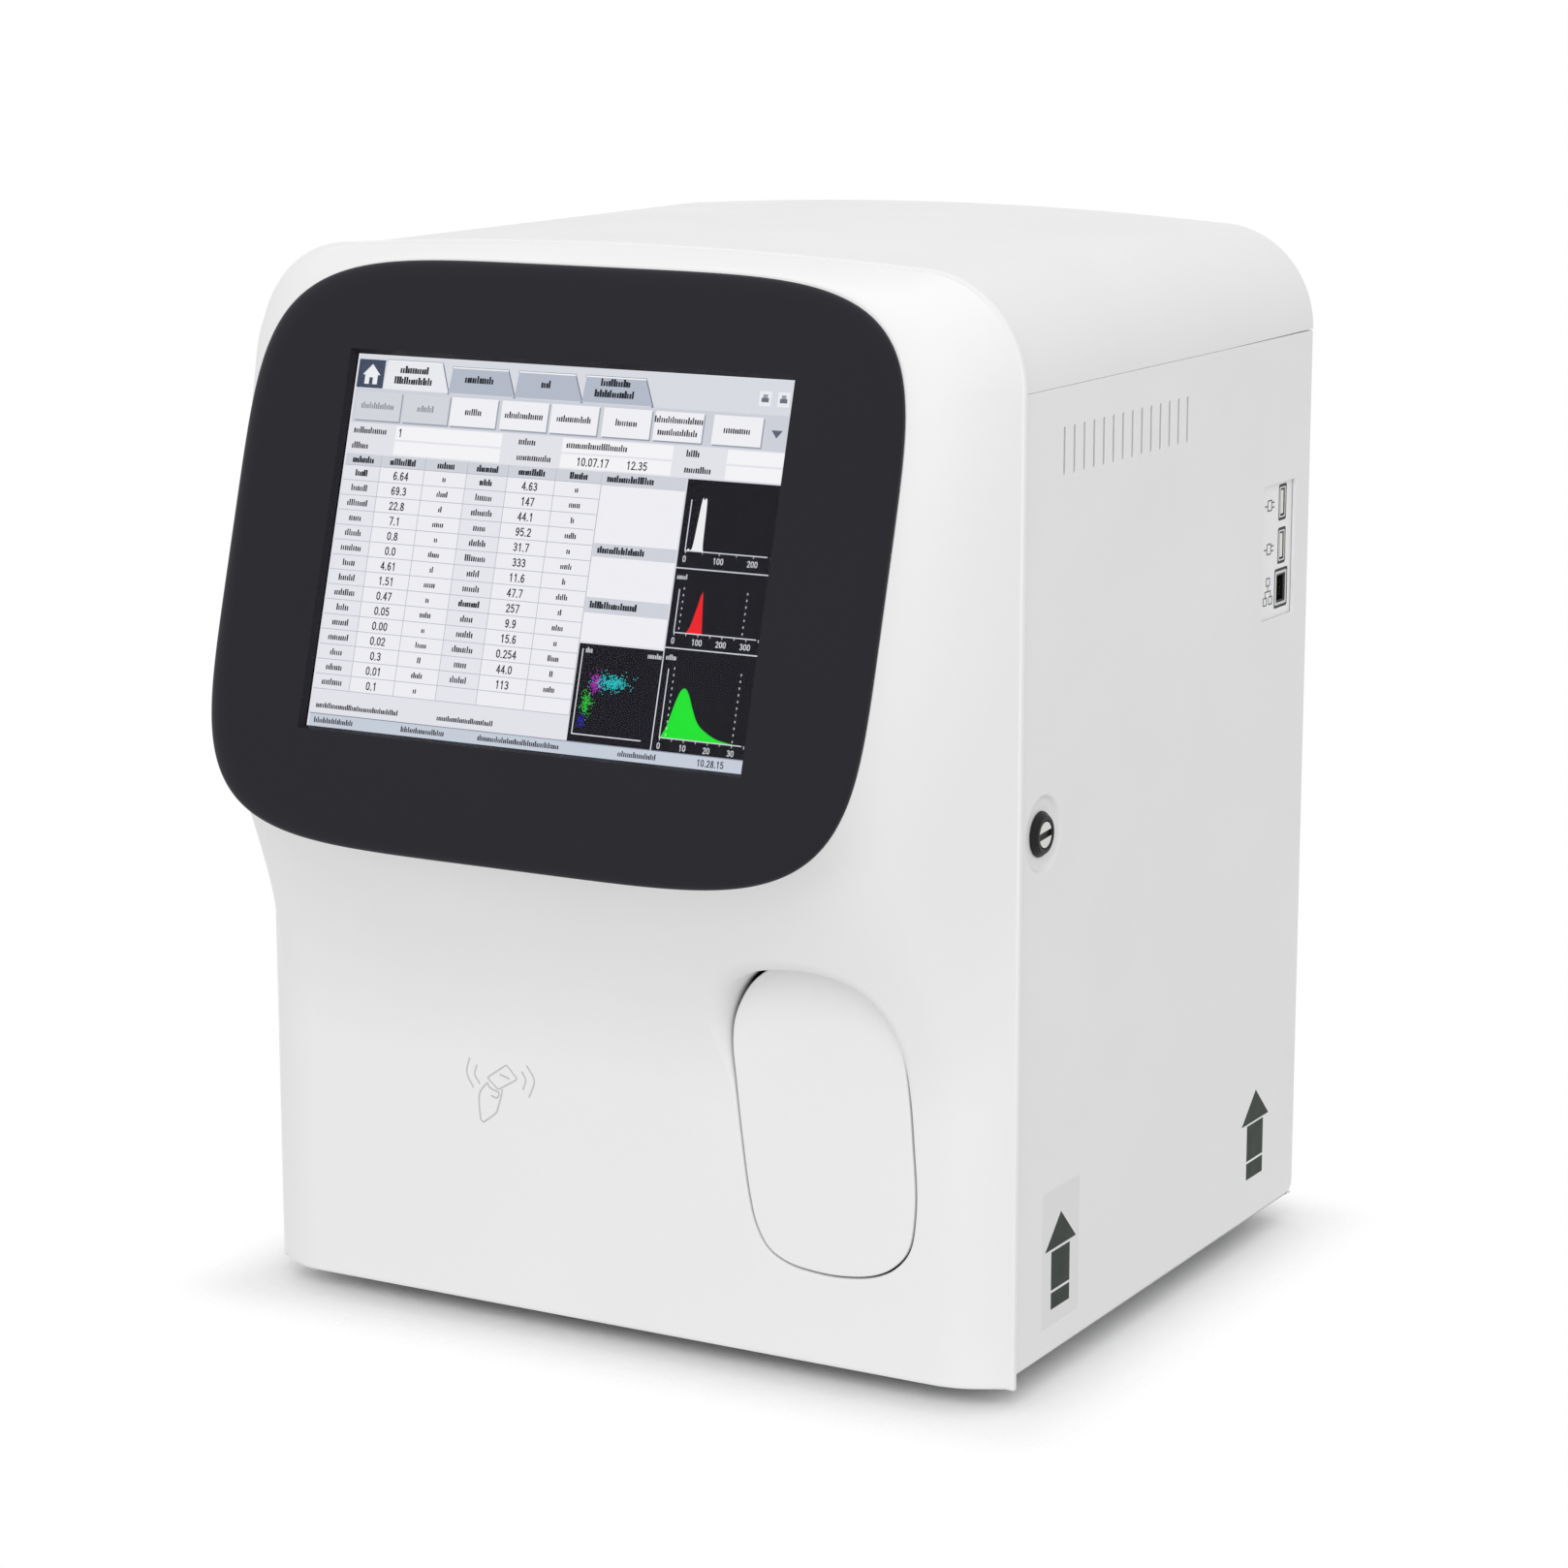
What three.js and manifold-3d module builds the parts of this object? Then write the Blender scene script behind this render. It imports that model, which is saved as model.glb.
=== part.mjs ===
// Bench-top hematology analyzer, built as an assembly of separate pieces.
// Millimetres. +Z is up, the front faces -Y and +X is the right-hand side of someone facing it.
// Every piece is written in the cabinet's own frame: x = 0 on the middle plane, y = 0 on the seam behind
// the front cover, z = 0 on the lower edge of the side panels. The last lines set the whole on its feet.
import * as THREE from "three";
import { mergeVertices } from "three/addons/utils/BufferGeometryUtils.js";
import Module from "manifold-3d";

const wasm = await Module();
wasm.setup();

// Clearances shared by all pieces
const fitGap = 0.3; // between a piece and its seat
const seamGap = 0.6; // visible joint between covers
const runGap = 0.5; // around shafts and sliding pieces
const overrun = 1; // how far a cutting tool passes the face it cuts
const weldGap = 0.001; // vertices closer than this are one vertex

// Cabinet
const cabinet = {
  width: 373.3, // over the rim of the front cover
  depth: 300.7, // from the front seam to the rear edge
  sideHeight: 412.2, // seam between the side panels and the top cover
  cornerRadius: 48,
  crownRise: 4.8, // how much the top bows up between its corners
  rimProud: 1.5, // the front cover's rim stands out this far past the sheet-metal covers
  sheet: 1.5, // side and rear panels
  hem: 11.5, // folded edges of the side panels
};
const halfWidth = cabinet.width / 2;
const bodyHalf = halfWidth - cabinet.rimProud;
const skinInner = bodyHalf - cabinet.sheet;
const topHeight = cabinet.sideHeight + cabinet.cornerRadius + cabinet.crownRise;

// Distances inwards from the cabinet's right-hand side, so that what stands there moves with it
const fromRight = {
  bezel: 29.15,
  sampleDoor: 127.35,
  sampleBay: 131.65,
  partition: 126.65,
  basePlate: 5.65,
  foot: 38.65,
  rearPost: 17.65,
  doorPivot: 7.15,
  rearPanel: 16.65,
  optics: 171.65,
  pump: 101.65,
  chamber: 52.65,
};
// The same from the left-hand side
const fromLeft = { inlet: 48.65, rocker: 86.65, fan: 102.65, supply: 22.65, optics: 51.65 };
// The same downwards from the top, or from the seam under the top cover
const fromTop = { screenCentre: 123.5, cardReader: 372 };
const fromTopSeam = {
  vents: 37.2,
  lock: 184.2,
  windowTop: 67.2,
  windowBottom: 129.2,
  usbUpper: 76.9,
  usbLower: 96.9,
  lan: 116.5,
};
// The same forwards from the rear edge
const fromRear = {
  basePlate: 3.7,
  frame: 20.7,
  partition: 21.7,
  doorPivot: 5.2,
  windowBack: 16.5,
  windowFront: 53.2,
  socket: 27.2,
  foot: 44.7,
  shelf: 38.7,
  optics: 140.7,
  board: 48.7,
  supply: 130.7,
  chamber: 92.7,
};

// Display unit, which leans back
const display = {
  tilt: THREE.MathUtils.degToRad(16.1),
  depth: 67.2, // screen centre in front of the seam
  height: topHeight - fromTop.screenCentre, // screen centre above the side panels' lower edge
  screenWidth: 211.2, // 10.4 inch, 4:3
  screenHeight: 158.4,
  glassMargin: 9.5,
  glassThickness: 2,
  moduleMargin: 7,
  moduleThickness: 4,
  bracketThickness: 1.5,
  bossRadius: 5,
  bossClear: 6, // bosses stand this far outside the display opening
  strapEdge: 2, // straps reach this far past the bosses
};
const bezel = {
  halfWidth: halfWidth - fromRight.bezel,
  halfHeight: 125,
  drop: 3.8, // its centre lies this far below the screen's
  power: 5, // exponent of its super-ellipse outline
  back: 3.1, // rear face behind the screen plane
  front: 3, // front face before the screen plane
  round: 4, // rounded front edge
  windowBevel: 1.6,
  pocketDepth: 0.15, // the glass seats this far behind the screen plane
};

// Front cover
const cover = {
  wall: 3,
  drop: 5, // its lower edge lies below the side panels'
  faceDepth: 18, // lower front face in front of the seam
  lipDepth: 3, // rim flange
  lipStep: 1.2, // step from the rim flange to the moulded front
  edgeWidth: 30, // the front rounds off over this distance from the rim
  edgePower: 2.2,
  sweepReach: 112, // the pod's underside runs out this far below the bezel
  sweepPower: 1.9,
  sweepShare: 0.8,
  lipFade: 5, // quick part of the underside just below the bezel
  lowerStep: 0.5, // height over which the lower edge turns into the face
  lowerInset: 0.2,
  ringGrading: 1.7, // rings of the moulded front lie closer together near the rim
  openingClear: 5, // round the screen module
  openingRound: 10,
  openingReach: 12,
  collarWall: 2,
  collarBack: 9, // the door frame ends this far in front of the seam
  bossDiameter: 9,
  bossHeights: [40, 230, 396],
};

// Sample door, the push-to-open flap at the lower right of the front
const sampleDoor = {
  left: halfWidth - fromRight.sampleDoor,
  bottom: 36.6,
  width: 88.8,
  height: 137.4,
  gap: 0.9,
  thickness: 3,
  bevel: 0.7,
  pivotRise: 30.4, // pivot above the door's lower edge
  pivotBack: 7.5, // pivot behind the door's face
  pinDiameter: 4,
  earThickness: 3,
  earRadius: 4,
  earSpan: 54, // outer faces of the two ears
  strikerWidth: 12,
  strikerThickness: 2.4,
  strikerReach: 8,
  strikerDrop: 8, // below the door's upper edge
  // Outline, anticlockwise from the lower left, as shares of the door's width and height
  outlineShares: [
    [0.095, 0.216], [0.132, 0.126], [0.2, 0.054], [0.307, 0.016], [0.466, 0], [0.624, 0.001],
    [0.78, 0.02], [0.884, 0.056], [0.966, 0.122], [1, 0.26], [0.985, 0.46], [0.948, 0.7],
    [0.892, 0.862], [0.796, 0.949], [0.64, 0.993], [0.436, 0.998], [0.233, 0.967],
    [0.098, 0.905], [0.017, 0.8], [0, 0.709], [0.021, 0.571], [0.055, 0.389],
  ],
};
const tubeHolder = {
  width: 34,
  reach: 36, // from the door's rear face to the holder's rear face
  rise: 13, // its underside above the pivot
  height: 50,
  bore: 14,
  floor: 5,
  wellBack: 26, // axis of the tube behind the door's rear face
  slot: 5, // open strip down the rear
};

// Housing behind the sample door
const bay = {
  left: halfWidth - fromRight.sampleBay,
  width: 98,
  bottom: 30,
  height: 150,
  back: 62,
  wall: 2,
  frontGap: 0.3,
  armThickness: 4,
  armHeight: 8,
  probeHole: 14,
  latchWidth: 18,
  latchHeight: 9,
  latchDepth: 14,
};

// Base, feet and inner frame
const base = {
  rise: 1.8,
  thickness: 2,
  frontY: 3,
  backY: cabinet.depth - fromRear.basePlate,
  flange: 16,
  halfWidth: halfWidth - fromRight.basePlate,
};
const foot = {
  diameter: 32,
  tread: 28,
  height: 14,
  x: halfWidth - fromRight.foot,
  frontY: 42,
  backY: cabinet.depth - fromRear.foot,
};
const frame = {
  bar: 10,
  depth: 6,
  top: cabinet.sideHeight - fitGap,
  frontY: seamGap + cabinet.sheet + fitGap,
  backY: cabinet.depth - fromRear.frame,
  backDepth: 12,
  halfWidth: bodyHalf - cabinet.hem - fitGap,
  rightX: halfWidth - fromRight.rearPost, // outer face of the rear right post
};
const partition = {
  x: halfWidth - fromRight.partition,
  thickness: 2,
  frontY: 10,
  backY: cabinet.depth - fromRear.partition,
  notchTop: 186,
  notchBack: 66,
};
// What stands behind the sample bay keeps its share of the depth left there
const bayToFrame = frame.backY - bay.back;
const behindBay = (share) => bay.back + share * bayToFrame;

// Right-hand service door
const serviceDoor = {
  pivotX: halfWidth - fromRight.doorPivot,
  pivotY: cabinet.depth - fromRear.doorPivot,
  pinDiameter: 4,
  hemNotch: 12, // the rear hem stops short of the ends by this much
  hemReach: 13,
  headDiameter: 7.4,
  headHeight: 3,
  pivotBlock: 11,
};
const vents = {
  count: 14,
  first: 37.8,
  pitch: 9.44,
  bottom: cabinet.sideHeight - fromTopSeam.vents,
  height: 20,
  width: 1.9,
};
const lock = {
  y: 22.3,
  z: cabinet.sideHeight - fromTopSeam.lock,
  ringDiameter: 19.5,
  faceDiameter: 13.5,
  ringHeight: 3,
  dishDiameter: 33,
  dishFloor: 24,
  dishDepth: 2,
  barrelDiameter: 13,
  slotWidth: 2.8,
  slotDepth: 1.4,
  camReach: 17.5,
  camWidth: 9,
  camThickness: 2.4,
  slant: THREE.MathUtils.degToRad(4.5), // the key slot rises a little towards the rear
};

// Socket plate seen through the window in the service door
const ports = {
  windowFront: cabinet.depth - fromRear.windowFront,
  windowBack: cabinet.depth - fromRear.windowBack,
  windowBottom: cabinet.sideHeight - fromTopSeam.windowBottom,
  windowTop: cabinet.sideHeight - fromTopSeam.windowTop,
  plateLap: 2.5,
  plateThickness: 1.5,
  socketY: cabinet.depth - fromRear.socket,
  usbUpperZ: cabinet.sideHeight - fromTopSeam.usbUpper,
  usbLowerZ: cabinet.sideHeight - fromTopSeam.usbLower,
  lanZ: cabinet.sideHeight - fromTopSeam.lan,
  usbLength: 14.5,
  usbWidth: 7,
  usbMouthLength: 12.5,
  usbMouthWidth: 5.1,
  usbDepth: 13,
  usbMouthDepth: 10,
  tongueLength: 11.1,
  tongueThickness: 1.8,
  lanLength: 16,
  lanWidth: 13.2,
  lanMouthLength: 11.8,
  lanMouthWidth: 8.4,
  lanMouthDepth: 11,
  contactBed: 2.2,
  boardThickness: 1.6,
};

// Rear panel fittings
const rear = {
  rightX: halfWidth - fromRight.rearPanel, // edge beside the service door's hem
  fanX: fromLeft.fan - halfWidth,
  fanZ: 250,
  grilleRings: 4,
  grillePitch: 9,
  grilleSlot: 5,
  grilleBridge: 4,
  grilleSpoke: 5,
  inletX: fromLeft.inlet - halfWidth,
  inletZ: 52,
  switchX: fromLeft.rocker - halfWidth,
  portZ: 118,
  portX: [10, 55, 100],
};
const fan = {
  size: 80,
  thickness: 25,
  bore: 75,
  hubDiameter: 32,
  bladeTip: 70,
  blades: 7,
  bladeThickness: 1.8,
  bladePitch: THREE.MathUtils.degToRad(38),
  bladeChord: 17,
  rotorDepth: 17,
  mountDepth: 4,
  strutWidth: 4,
};
const inlet = {
  width: 31,
  height: 24,
  flange: 2.2,
  bodyWidth: 27.4,
  bodyHeight: 19.8,
  bodyDepth: 24,
  mouthWidth: 24.6,
  mouthHeight: 16.6,
  mouthDepth: 16,
  pinWidth: 2,
  pinHeight: 4.2,
  pinLength: 13,
  pinSpread: 7,
  pinDrop: 2.5,
  earthRise: 2.5,
};
const rocker = {
  frameWidth: 21,
  frameHeight: 30,
  openWidth: 15.6,
  openHeight: 24.6,
  flange: 2,
  depth: 16,
  width: 14.6,
  halfHeight: 11,
  crest: 5,
  waist: 2.2,
  belly: 4,
  bellyHalf: 7,
  axle: 3,
  rest: THREE.MathUtils.degToRad(-6),
};
const hosePort = {
  diameter: 7,
  flangeDiameter: 15,
  flange: 2.5,
  reach: 13,
  barb: 9,
  bore: 3.6,
  tail: 14,
};

// Sampling mechanism
const bathShares = [0.12, 0.312];
const syringeShares = [0.59, 0.8];
const bracketShares = [0.475, 0.915];
const probe = {
  railX: 12, // rail section standing off the partition
  railHeight: 12,
  railZ: 246,
  railFront: -6,
  railBeyond: 78, // past the second bath
  carriageThickness: 5,
  carriageWidth: 34,
  carriageBottom: 196,
  carriageTop: 330,
  guideDepth: 7,
  guideWidth: 12,
  blockReach: 26,
  blockWidth: 20,
  blockHeight: 24,
  blockBottom: 300,
  needleDiameter: 2.4,
  needlePoint: 1.2,
  needleTip: 190,
  collarDiameter: 7.2,
  motor: 35,
  motorLength: 26,
};
const bath = {
  firstY: behindBay(bathShares[0]),
  secondY: behindBay(bathShares[1]),
  outer: 30,
  wall: 2.5,
  bottom: 119.3,
  height: 60,
  cone: 14,
  outletDiameter: 8,
  shelfX: 62,
  shelfThickness: 5,
  shelfEdge: 21, // from the baths' axes to the shelf's ends
};
const syringe = {
  plateFront: behindBay(bracketShares[0]),
  plateBack: behindBay(bracketShares[1]),
  plateBottom: 64,
  plateTop: 228,
  plateThickness: 4,
  axisX: 12, // barrel axes stand off the bracket by this much
  largeY: behindBay(syringeShares[0]),
  smallY: behindBay(syringeShares[1]),
  largeOuter: 20,
  smallOuter: 14,
  barrelWall: 2,
  barrelBottom: 150,
  barrelLength: 70,
  rodDiameter: 6,
  plungerTop: 12, // piston face below the barrel's closed end
  pistonHeight: 8,
  rodBelow: 40,
  crossWidth: 18,
  crossHeight: 6,
  clampHeight: 10,
  clampRise: 8,
};
const valves = { depth: 26, bottom: 276, height: 22, count: 5, coil: 13, coilHeight: 26 };
const pump = {
  x: halfWidth - fromRight.pump,
  y: 104,
  diameter: 34,
  length: 62,
  head: 42,
  headLength: 22,
  foot: 5,
};
const chamber = {
  x: halfWidth - fromRight.chamber,
  y: cabinet.depth - fromRear.chamber,
  outer: 46,
  wall: 3,
  height: 96,
  lid: 8,
  lidDiameter: 52,
  neck: 12,
};

// Left-hand side: optics and electronics
const shelf = {
  frontY: 66,
  backY: cabinet.depth - fromRear.shelf,
  z: 290,
  thickness: 2,
  lip: 10,
  leftX: fitGap - frame.halfWidth,
};
const optics = {
  left: fromLeft.optics - halfWidth,
  right: halfWidth - fromRight.optics,
  y: cabinet.depth - fromRear.optics,
  width: 92,
  plate: 12,
  blockShare: 0.28, // of the plate's length
  blockWidth: 46,
  blockHeight: 40,
  laserDiameter: 24,
  laserShare: 0.31, // of the plate's length
};
const board = {
  frontY: 84,
  backY: cabinet.depth - fromRear.board,
  bottom: 70,
  top: 262,
  thickness: 1.6,
  standoff: 8,
  pillar: 6,
  chip: 24,
  chipRise: 3,
  chipShares: [0.25, 0.5, 0.75],
};
const supply = {
  leftX: fromLeft.supply - halfWidth,
  frontY: cabinet.depth - fromRear.supply,
  width: 106,
  depth: 104,
  height: 46,
  slotCount: 8,
  slot: 3,
};
const reader = {
  x: -56,
  z: topHeight - fromTop.cardReader,
  width: 50,
  height: 36,
  thickness: 1.6,
  coilRise: 1.1,
  edge: 6,
};

// Finishes
const finish = (color, roughness, metalness = 0) =>
  new THREE.MeshStandardMaterial({ color, roughness, metalness });
const whiteAbs = finish(0xeeeeec, 0.42);
const whitePaint = finish(0xe9e9e8, 0.5);
const doorAbs = finish(0xe9e9e7, 0.4);
const softBlack = finish(0x2b2a2f, 0.62);
const screenGlass = finish(0xd8dce6, 0.15);
const zincSteel = finish(0xb4b7ba, 0.4, 0.9);
const stainless = finish(0xc4c6c8, 0.28, 1);
const blackPlastic = finish(0x1d1d20, 0.5);
const greyPlastic = finish(0x8f949a, 0.55);
const rubber = finish(0x232325, 0.85);
const clearAcrylic = finish(0xd9e4ea, 0.1);
const circuitGreen = finish(0x1f5a3c, 0.5);
const anodised = finish(0x9fa4aa, 0.4, 0.8);
const brass = finish(0xb89a56, 0.35, 1);

// Closed geometry to manifold solid and back
function solidFrom(geometry) {
  const bare = geometry.clone();
  bare.deleteAttribute("normal");
  bare.deleteAttribute("uv");
  const merged = mergeVertices(bare, weldGap);
  return new wasm.Manifold(
    new wasm.Mesh({
      numProp: 3,
      vertProperties: merged.attributes.position.array,
      triVerts: new Uint32Array(merged.index.array),
    }),
  );
}

function geometryFrom(solid) {
  const mesh = solid.getMesh();
  const geometry = new THREE.BufferGeometry();
  geometry.setAttribute("position", new THREE.BufferAttribute(mesh.vertProperties, mesh.numProp));
  geometry.setIndex(new THREE.BufferAttribute(mesh.triVerts, 1));
  geometry.computeVertexNormals();
  return geometry;
}

const join = (first, ...others) => others.reduce((sum, part) => sum.add(part), first);
const cut = (first, ...tools) => tools.reduce((rest, tool) => rest.subtract(tool), first);

// Spans are [low, high] pairs
const span = (low, length) => [low, low + length];
const around = (centre, length) => [centre - length / 2, centre + length / 2];
const middle = ([low, high]) => (low + high) / 2;

function block(x, y, z) {
  const box = new THREE.BoxGeometry(x[1] - x[0], y[1] - y[0], z[1] - z[0]);
  box.translate(middle(x), middle(y), middle(z));
  return solidFrom(box);
}

// Round bar or hole along one axis; the two places are on the other axes in x, y, z order
function rod(axis, diameter, along, place, sides = 24, endDiameter = diameter) {
  const bar = new THREE.CylinderGeometry(endDiameter / 2, diameter / 2, along[1] - along[0], sides);
  if (axis === "x") bar.rotateZ(-Math.PI / 2).translate(middle(along), place[0], place[1]);
  if (axis === "y") bar.translate(place[0], middle(along), place[1]);
  if (axis === "z") bar.rotateX(Math.PI / 2).translate(place[0], place[1], middle(along));
  return solidFrom(bar);
}

// Flat shape in x and z, thickened along y
function frontSlab(shape, y, options = {}) {
  const slab = new THREE.ExtrudeGeometry(shape, {
    depth: y[1] - y[0],
    bevelEnabled: false,
    curveSegments: 5,
    ...options,
  });
  slab.rotateX(Math.PI / 2).translate(0, y[1], 0);
  return slab;
}

// Flat shape in y and z, thickened along x
function sideSlab(shape, x, curveSegments = 2) {
  const options = { depth: x[1] - x[0], bevelEnabled: false, curveSegments };
  const slab = new THREE.ExtrudeGeometry(shape, options);
  slab.applyMatrix4(new THREE.Matrix4().set(0, 0, 1, x[0], 1, 0, 0, 0, 0, 1, 0, 0, 0, 0, 0, 1));
  return solidFrom(slab);
}

const shapeOf = (points) => new THREE.Shape(points.map(([u, v]) => new THREE.Vector2(u, v)));

function roundedRectangle(u, v, radius) {
  const shape = new THREE.Shape();
  shape.moveTo(u[0] + radius, v[0]);
  shape.lineTo(u[1] - radius, v[0]);
  shape.absarc(u[1] - radius, v[0] + radius, radius, -Math.PI / 2, 0);
  shape.absarc(u[1] - radius, v[1] - radius, radius, 0, Math.PI / 2);
  shape.absarc(u[0] + radius, v[1] - radius, radius, Math.PI / 2, Math.PI);
  shape.absarc(u[0] + radius, v[0] + radius, radius, Math.PI, 1.5 * Math.PI);
  return shape;
}

function addPiece(group, name, solid, material, place = [0, 0, 0], turn = [0, 0, 0]) {
  const geometry = solid.isBufferGeometry ? solid : geometryFrom(solid);
  const mesh = new THREE.Mesh(geometry, material);
  mesh.name = name;
  mesh.position.set(...place);
  mesh.rotation.set(...turn);
  group.add(mesh);
  return mesh;
}

// Height of the crowned top above the corner arcs, at a distance from the middle plane
function crown(x, inset = 0) {
  const chord = halfWidth - cabinet.cornerRadius;
  const radius = (chord ** 2 + cabinet.crownRise ** 2) / (2 * cabinet.crownRise) - inset;
  return Math.sqrt(radius ** 2 - Math.min(Math.abs(x), chord) ** 2) - radius + cabinet.crownRise;
}

// Cabinet section, anticlockwise from the lower left: square lower corners, round upper ones, bowed top
function sectionPoints(inset, bottom, steps = { floor: 1, side: 1, corner: 8, top: 16 }) {
  const centreX = halfWidth - cabinet.cornerRadius;
  const centreZ = cabinet.sideHeight;
  const side = halfWidth - inset;
  const radius = cabinet.cornerRadius - inset;
  const points = [];
  const line = (count, at) => {
    for (let i = 0; i < count; i++) points.push(at(i / count));
  };
  const mix = (a, b, t) => a + (b - a) * t;
  line(steps.floor, (t) => [mix(-side, side, t), bottom]);
  line(steps.side, (t) => [side, mix(bottom, centreZ, t)]);
  line(steps.corner, (t) => {
    const angle = (t * Math.PI) / 2;
    return [centreX + radius * Math.cos(angle), centreZ + radius * Math.sin(angle)];
  });
  line(steps.top, (t) => {
    const x = mix(centreX, -centreX, t);
    return [x, centreZ + radius + crown(x)];
  });
  line(steps.corner, (t) => {
    const angle = ((1 + t) * Math.PI) / 2;
    return [-centreX + radius * Math.cos(angle), centreZ + radius * Math.sin(angle)];
  });
  line(steps.side, (t) => [-side, mix(centreZ, bottom, t)]);
  return points;
}

// Distance inwards from the cabinet's side and top outline
function rimDistance(x, z, inset) {
  const centreX = halfWidth - cabinet.cornerRadius;
  const beyondX = Math.abs(x) - centreX;
  const beyondZ = z - cabinet.sideHeight;
  if (beyondX > 0 && beyondZ > 0) {
    return cabinet.cornerRadius - Math.hypot(beyondX, beyondZ) - inset;
  }
  const top = cabinet.sideHeight + cabinet.cornerRadius + crown(x);
  return Math.min(halfWidth - Math.abs(x), top - z) - inset;
}

const bezelCentre = display.height - bezel.drop * Math.cos(display.tilt);

function bezelRadius(angle, inset) {
  const halfX = bezel.halfWidth - inset;
  const halfZ = (bezel.halfHeight - inset) * Math.cos(display.tilt);
  const u = Math.abs(Math.cos(angle)) / halfX;
  const v = Math.abs(Math.sin(angle)) / halfZ;
  return (u ** bezel.power + v ** bezel.power) ** (-1 / bezel.power);
}

// Distance outwards from the bezel's outline, zero inside it
function bezelDistance(x, z, inset) {
  const halfX = bezel.halfWidth - inset;
  const halfZ = (bezel.halfHeight - inset) * Math.cos(display.tilt);
  const u = Math.abs(x);
  const v = Math.abs(z - bezelCentre);
  const n = bezel.power;
  const level = ((u / halfX) ** n + (v / halfZ) ** n) ** (1 / n);
  if (level <= 1) return 0;
  const slope = level ** (1 - n) * Math.hypot(u ** (n - 1) / halfX ** n, v ** (n - 1) / halfZ ** n);
  return (level - 1) / slope;
}

// How far the moulded front stands before the seam. The lower face is flat and the pod that carries the
// bezel lies in the leaning plane; an underside sweep joins them and both round off towards the rim.
function frontDepth(x, z, inset) {
  const landGap = (bezel.back + fitGap + inset) / Math.cos(display.tilt);
  const land = display.depth + (display.height - z) * Math.tan(display.tilt) - landGap;
  const lip = inset > 0 ? 0 : cover.lipDepth;
  const face = cover.faceDepth - inset;
  const away = bezelDistance(x, z, inset);
  const sweep =
    cover.sweepShare * Math.max(0, 1 - away / cover.sweepReach) ** cover.sweepPower +
    (1 - cover.sweepShare) * Math.exp(-away / cover.lipFade);
  const standing = face + (land - face) * sweep;
  const rim = Math.max(0, rimDistance(x, z, inset) - (inset > 0 ? 0 : cover.lipStep));
  const edge = 1 - (1 - Math.min(1, rim / Math.min(cover.edgeWidth, rim + away))) ** cover.edgePower;
  const lower = Math.min(1, (z - inset + cover.drop) / (cover.lowerInset + cover.lowerStep));
  return lip + (standing - lip) * edge * Math.max(0, lower);
}

// Closed solid between the moulded front and a plane behind it
function frontSolid(inset, back, steps, rings) {
  const bottom = inset - cover.drop;
  const lipInset = inset > 0 ? inset : cover.lipStep;
  const lipBottom = inset > 0 ? bottom : bottom + cover.lowerInset;
  const outer = sectionPoints(inset, bottom, steps);
  const rim = sectionPoints(lipInset, lipBottom, steps);
  const count = outer.length;
  const loops = [outer.map(([x, z]) => [x, back, z])];
  if (inset === 0) loops.push(outer.map(([x, z]) => [x, -cover.lipDepth, z]));
  const first = cover.lowerStep / (bezelCentre - bezel.halfHeight - bottom);
  for (let ring = 0; ring <= rings; ring++) {
    const graded = ((ring - 1) / (rings - 1)) ** cover.ringGrading;
    const share = ring === 0 ? 0 : first + (1 - first) * graded;
    loops.push(
      rim.map(([x, z]) => {
        const angle = Math.atan2(z - bezelCentre, x);
        const reach = bezelRadius(angle, inset);
        const px = x + (reach * Math.cos(angle) - x) * share;
        const pz = z + (bezelCentre + reach * Math.sin(angle) - z) * share;
        return [px, -frontDepth(px, pz, inset), pz];
      }),
    );
  }
  const positions = loops.flat();
  const indices = [];
  for (let ring = 0; ring + 1 < loops.length; ring++) {
    for (let i = 0; i < count; i++) {
      const a = ring * count + i;
      const b = ring * count + ((i + 1) % count);
      indices.push(a, b, b + count, a, b + count, a + count);
    }
  }
  const backHub = positions.length;
  positions.push([0, back, bezelCentre]);
  const frontHub = positions.length;
  positions.push([0, -frontDepth(0, bezelCentre, inset), bezelCentre]);
  const last = (loops.length - 1) * count;
  for (let i = 0; i < count; i++) {
    const next = (i + 1) % count;
    indices.push(backHub, next, i, frontHub, last + i, last + next);
  }
  const geometry = new THREE.BufferGeometry();
  geometry.setAttribute("position", new THREE.Float32BufferAttribute(positions.flat(), 3));
  geometry.setIndex(indices);
  return solidFrom(geometry);
}

// A tool written in the display's leaning frame, moved to its place in the cabinet
function leaning(geometry) {
  geometry.rotateX(-display.tilt).translate(0, -display.depth, display.height);
  return solidFrom(geometry);
}

// Outline of the sample door, moved outwards by a distance
function doorOutline(offset, count = 44) {
  const curve = new THREE.CatmullRomCurve3(
    sampleDoor.outlineShares.map(
      ([u, v]) =>
        new THREE.Vector3(
          sampleDoor.left + u * sampleDoor.width,
          sampleDoor.bottom + v * sampleDoor.height,
          0,
        ),
    ),
    true,
    "centripetal",
  );
  const points = [];
  for (let i = 0; i < count; i++) {
    const at = curve.getPointAt(i / count);
    const along = curve.getTangentAt(i / count);
    points.push([at.x + along.y * offset, at.y - along.x * offset]);
  }
  return points;
}

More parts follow.
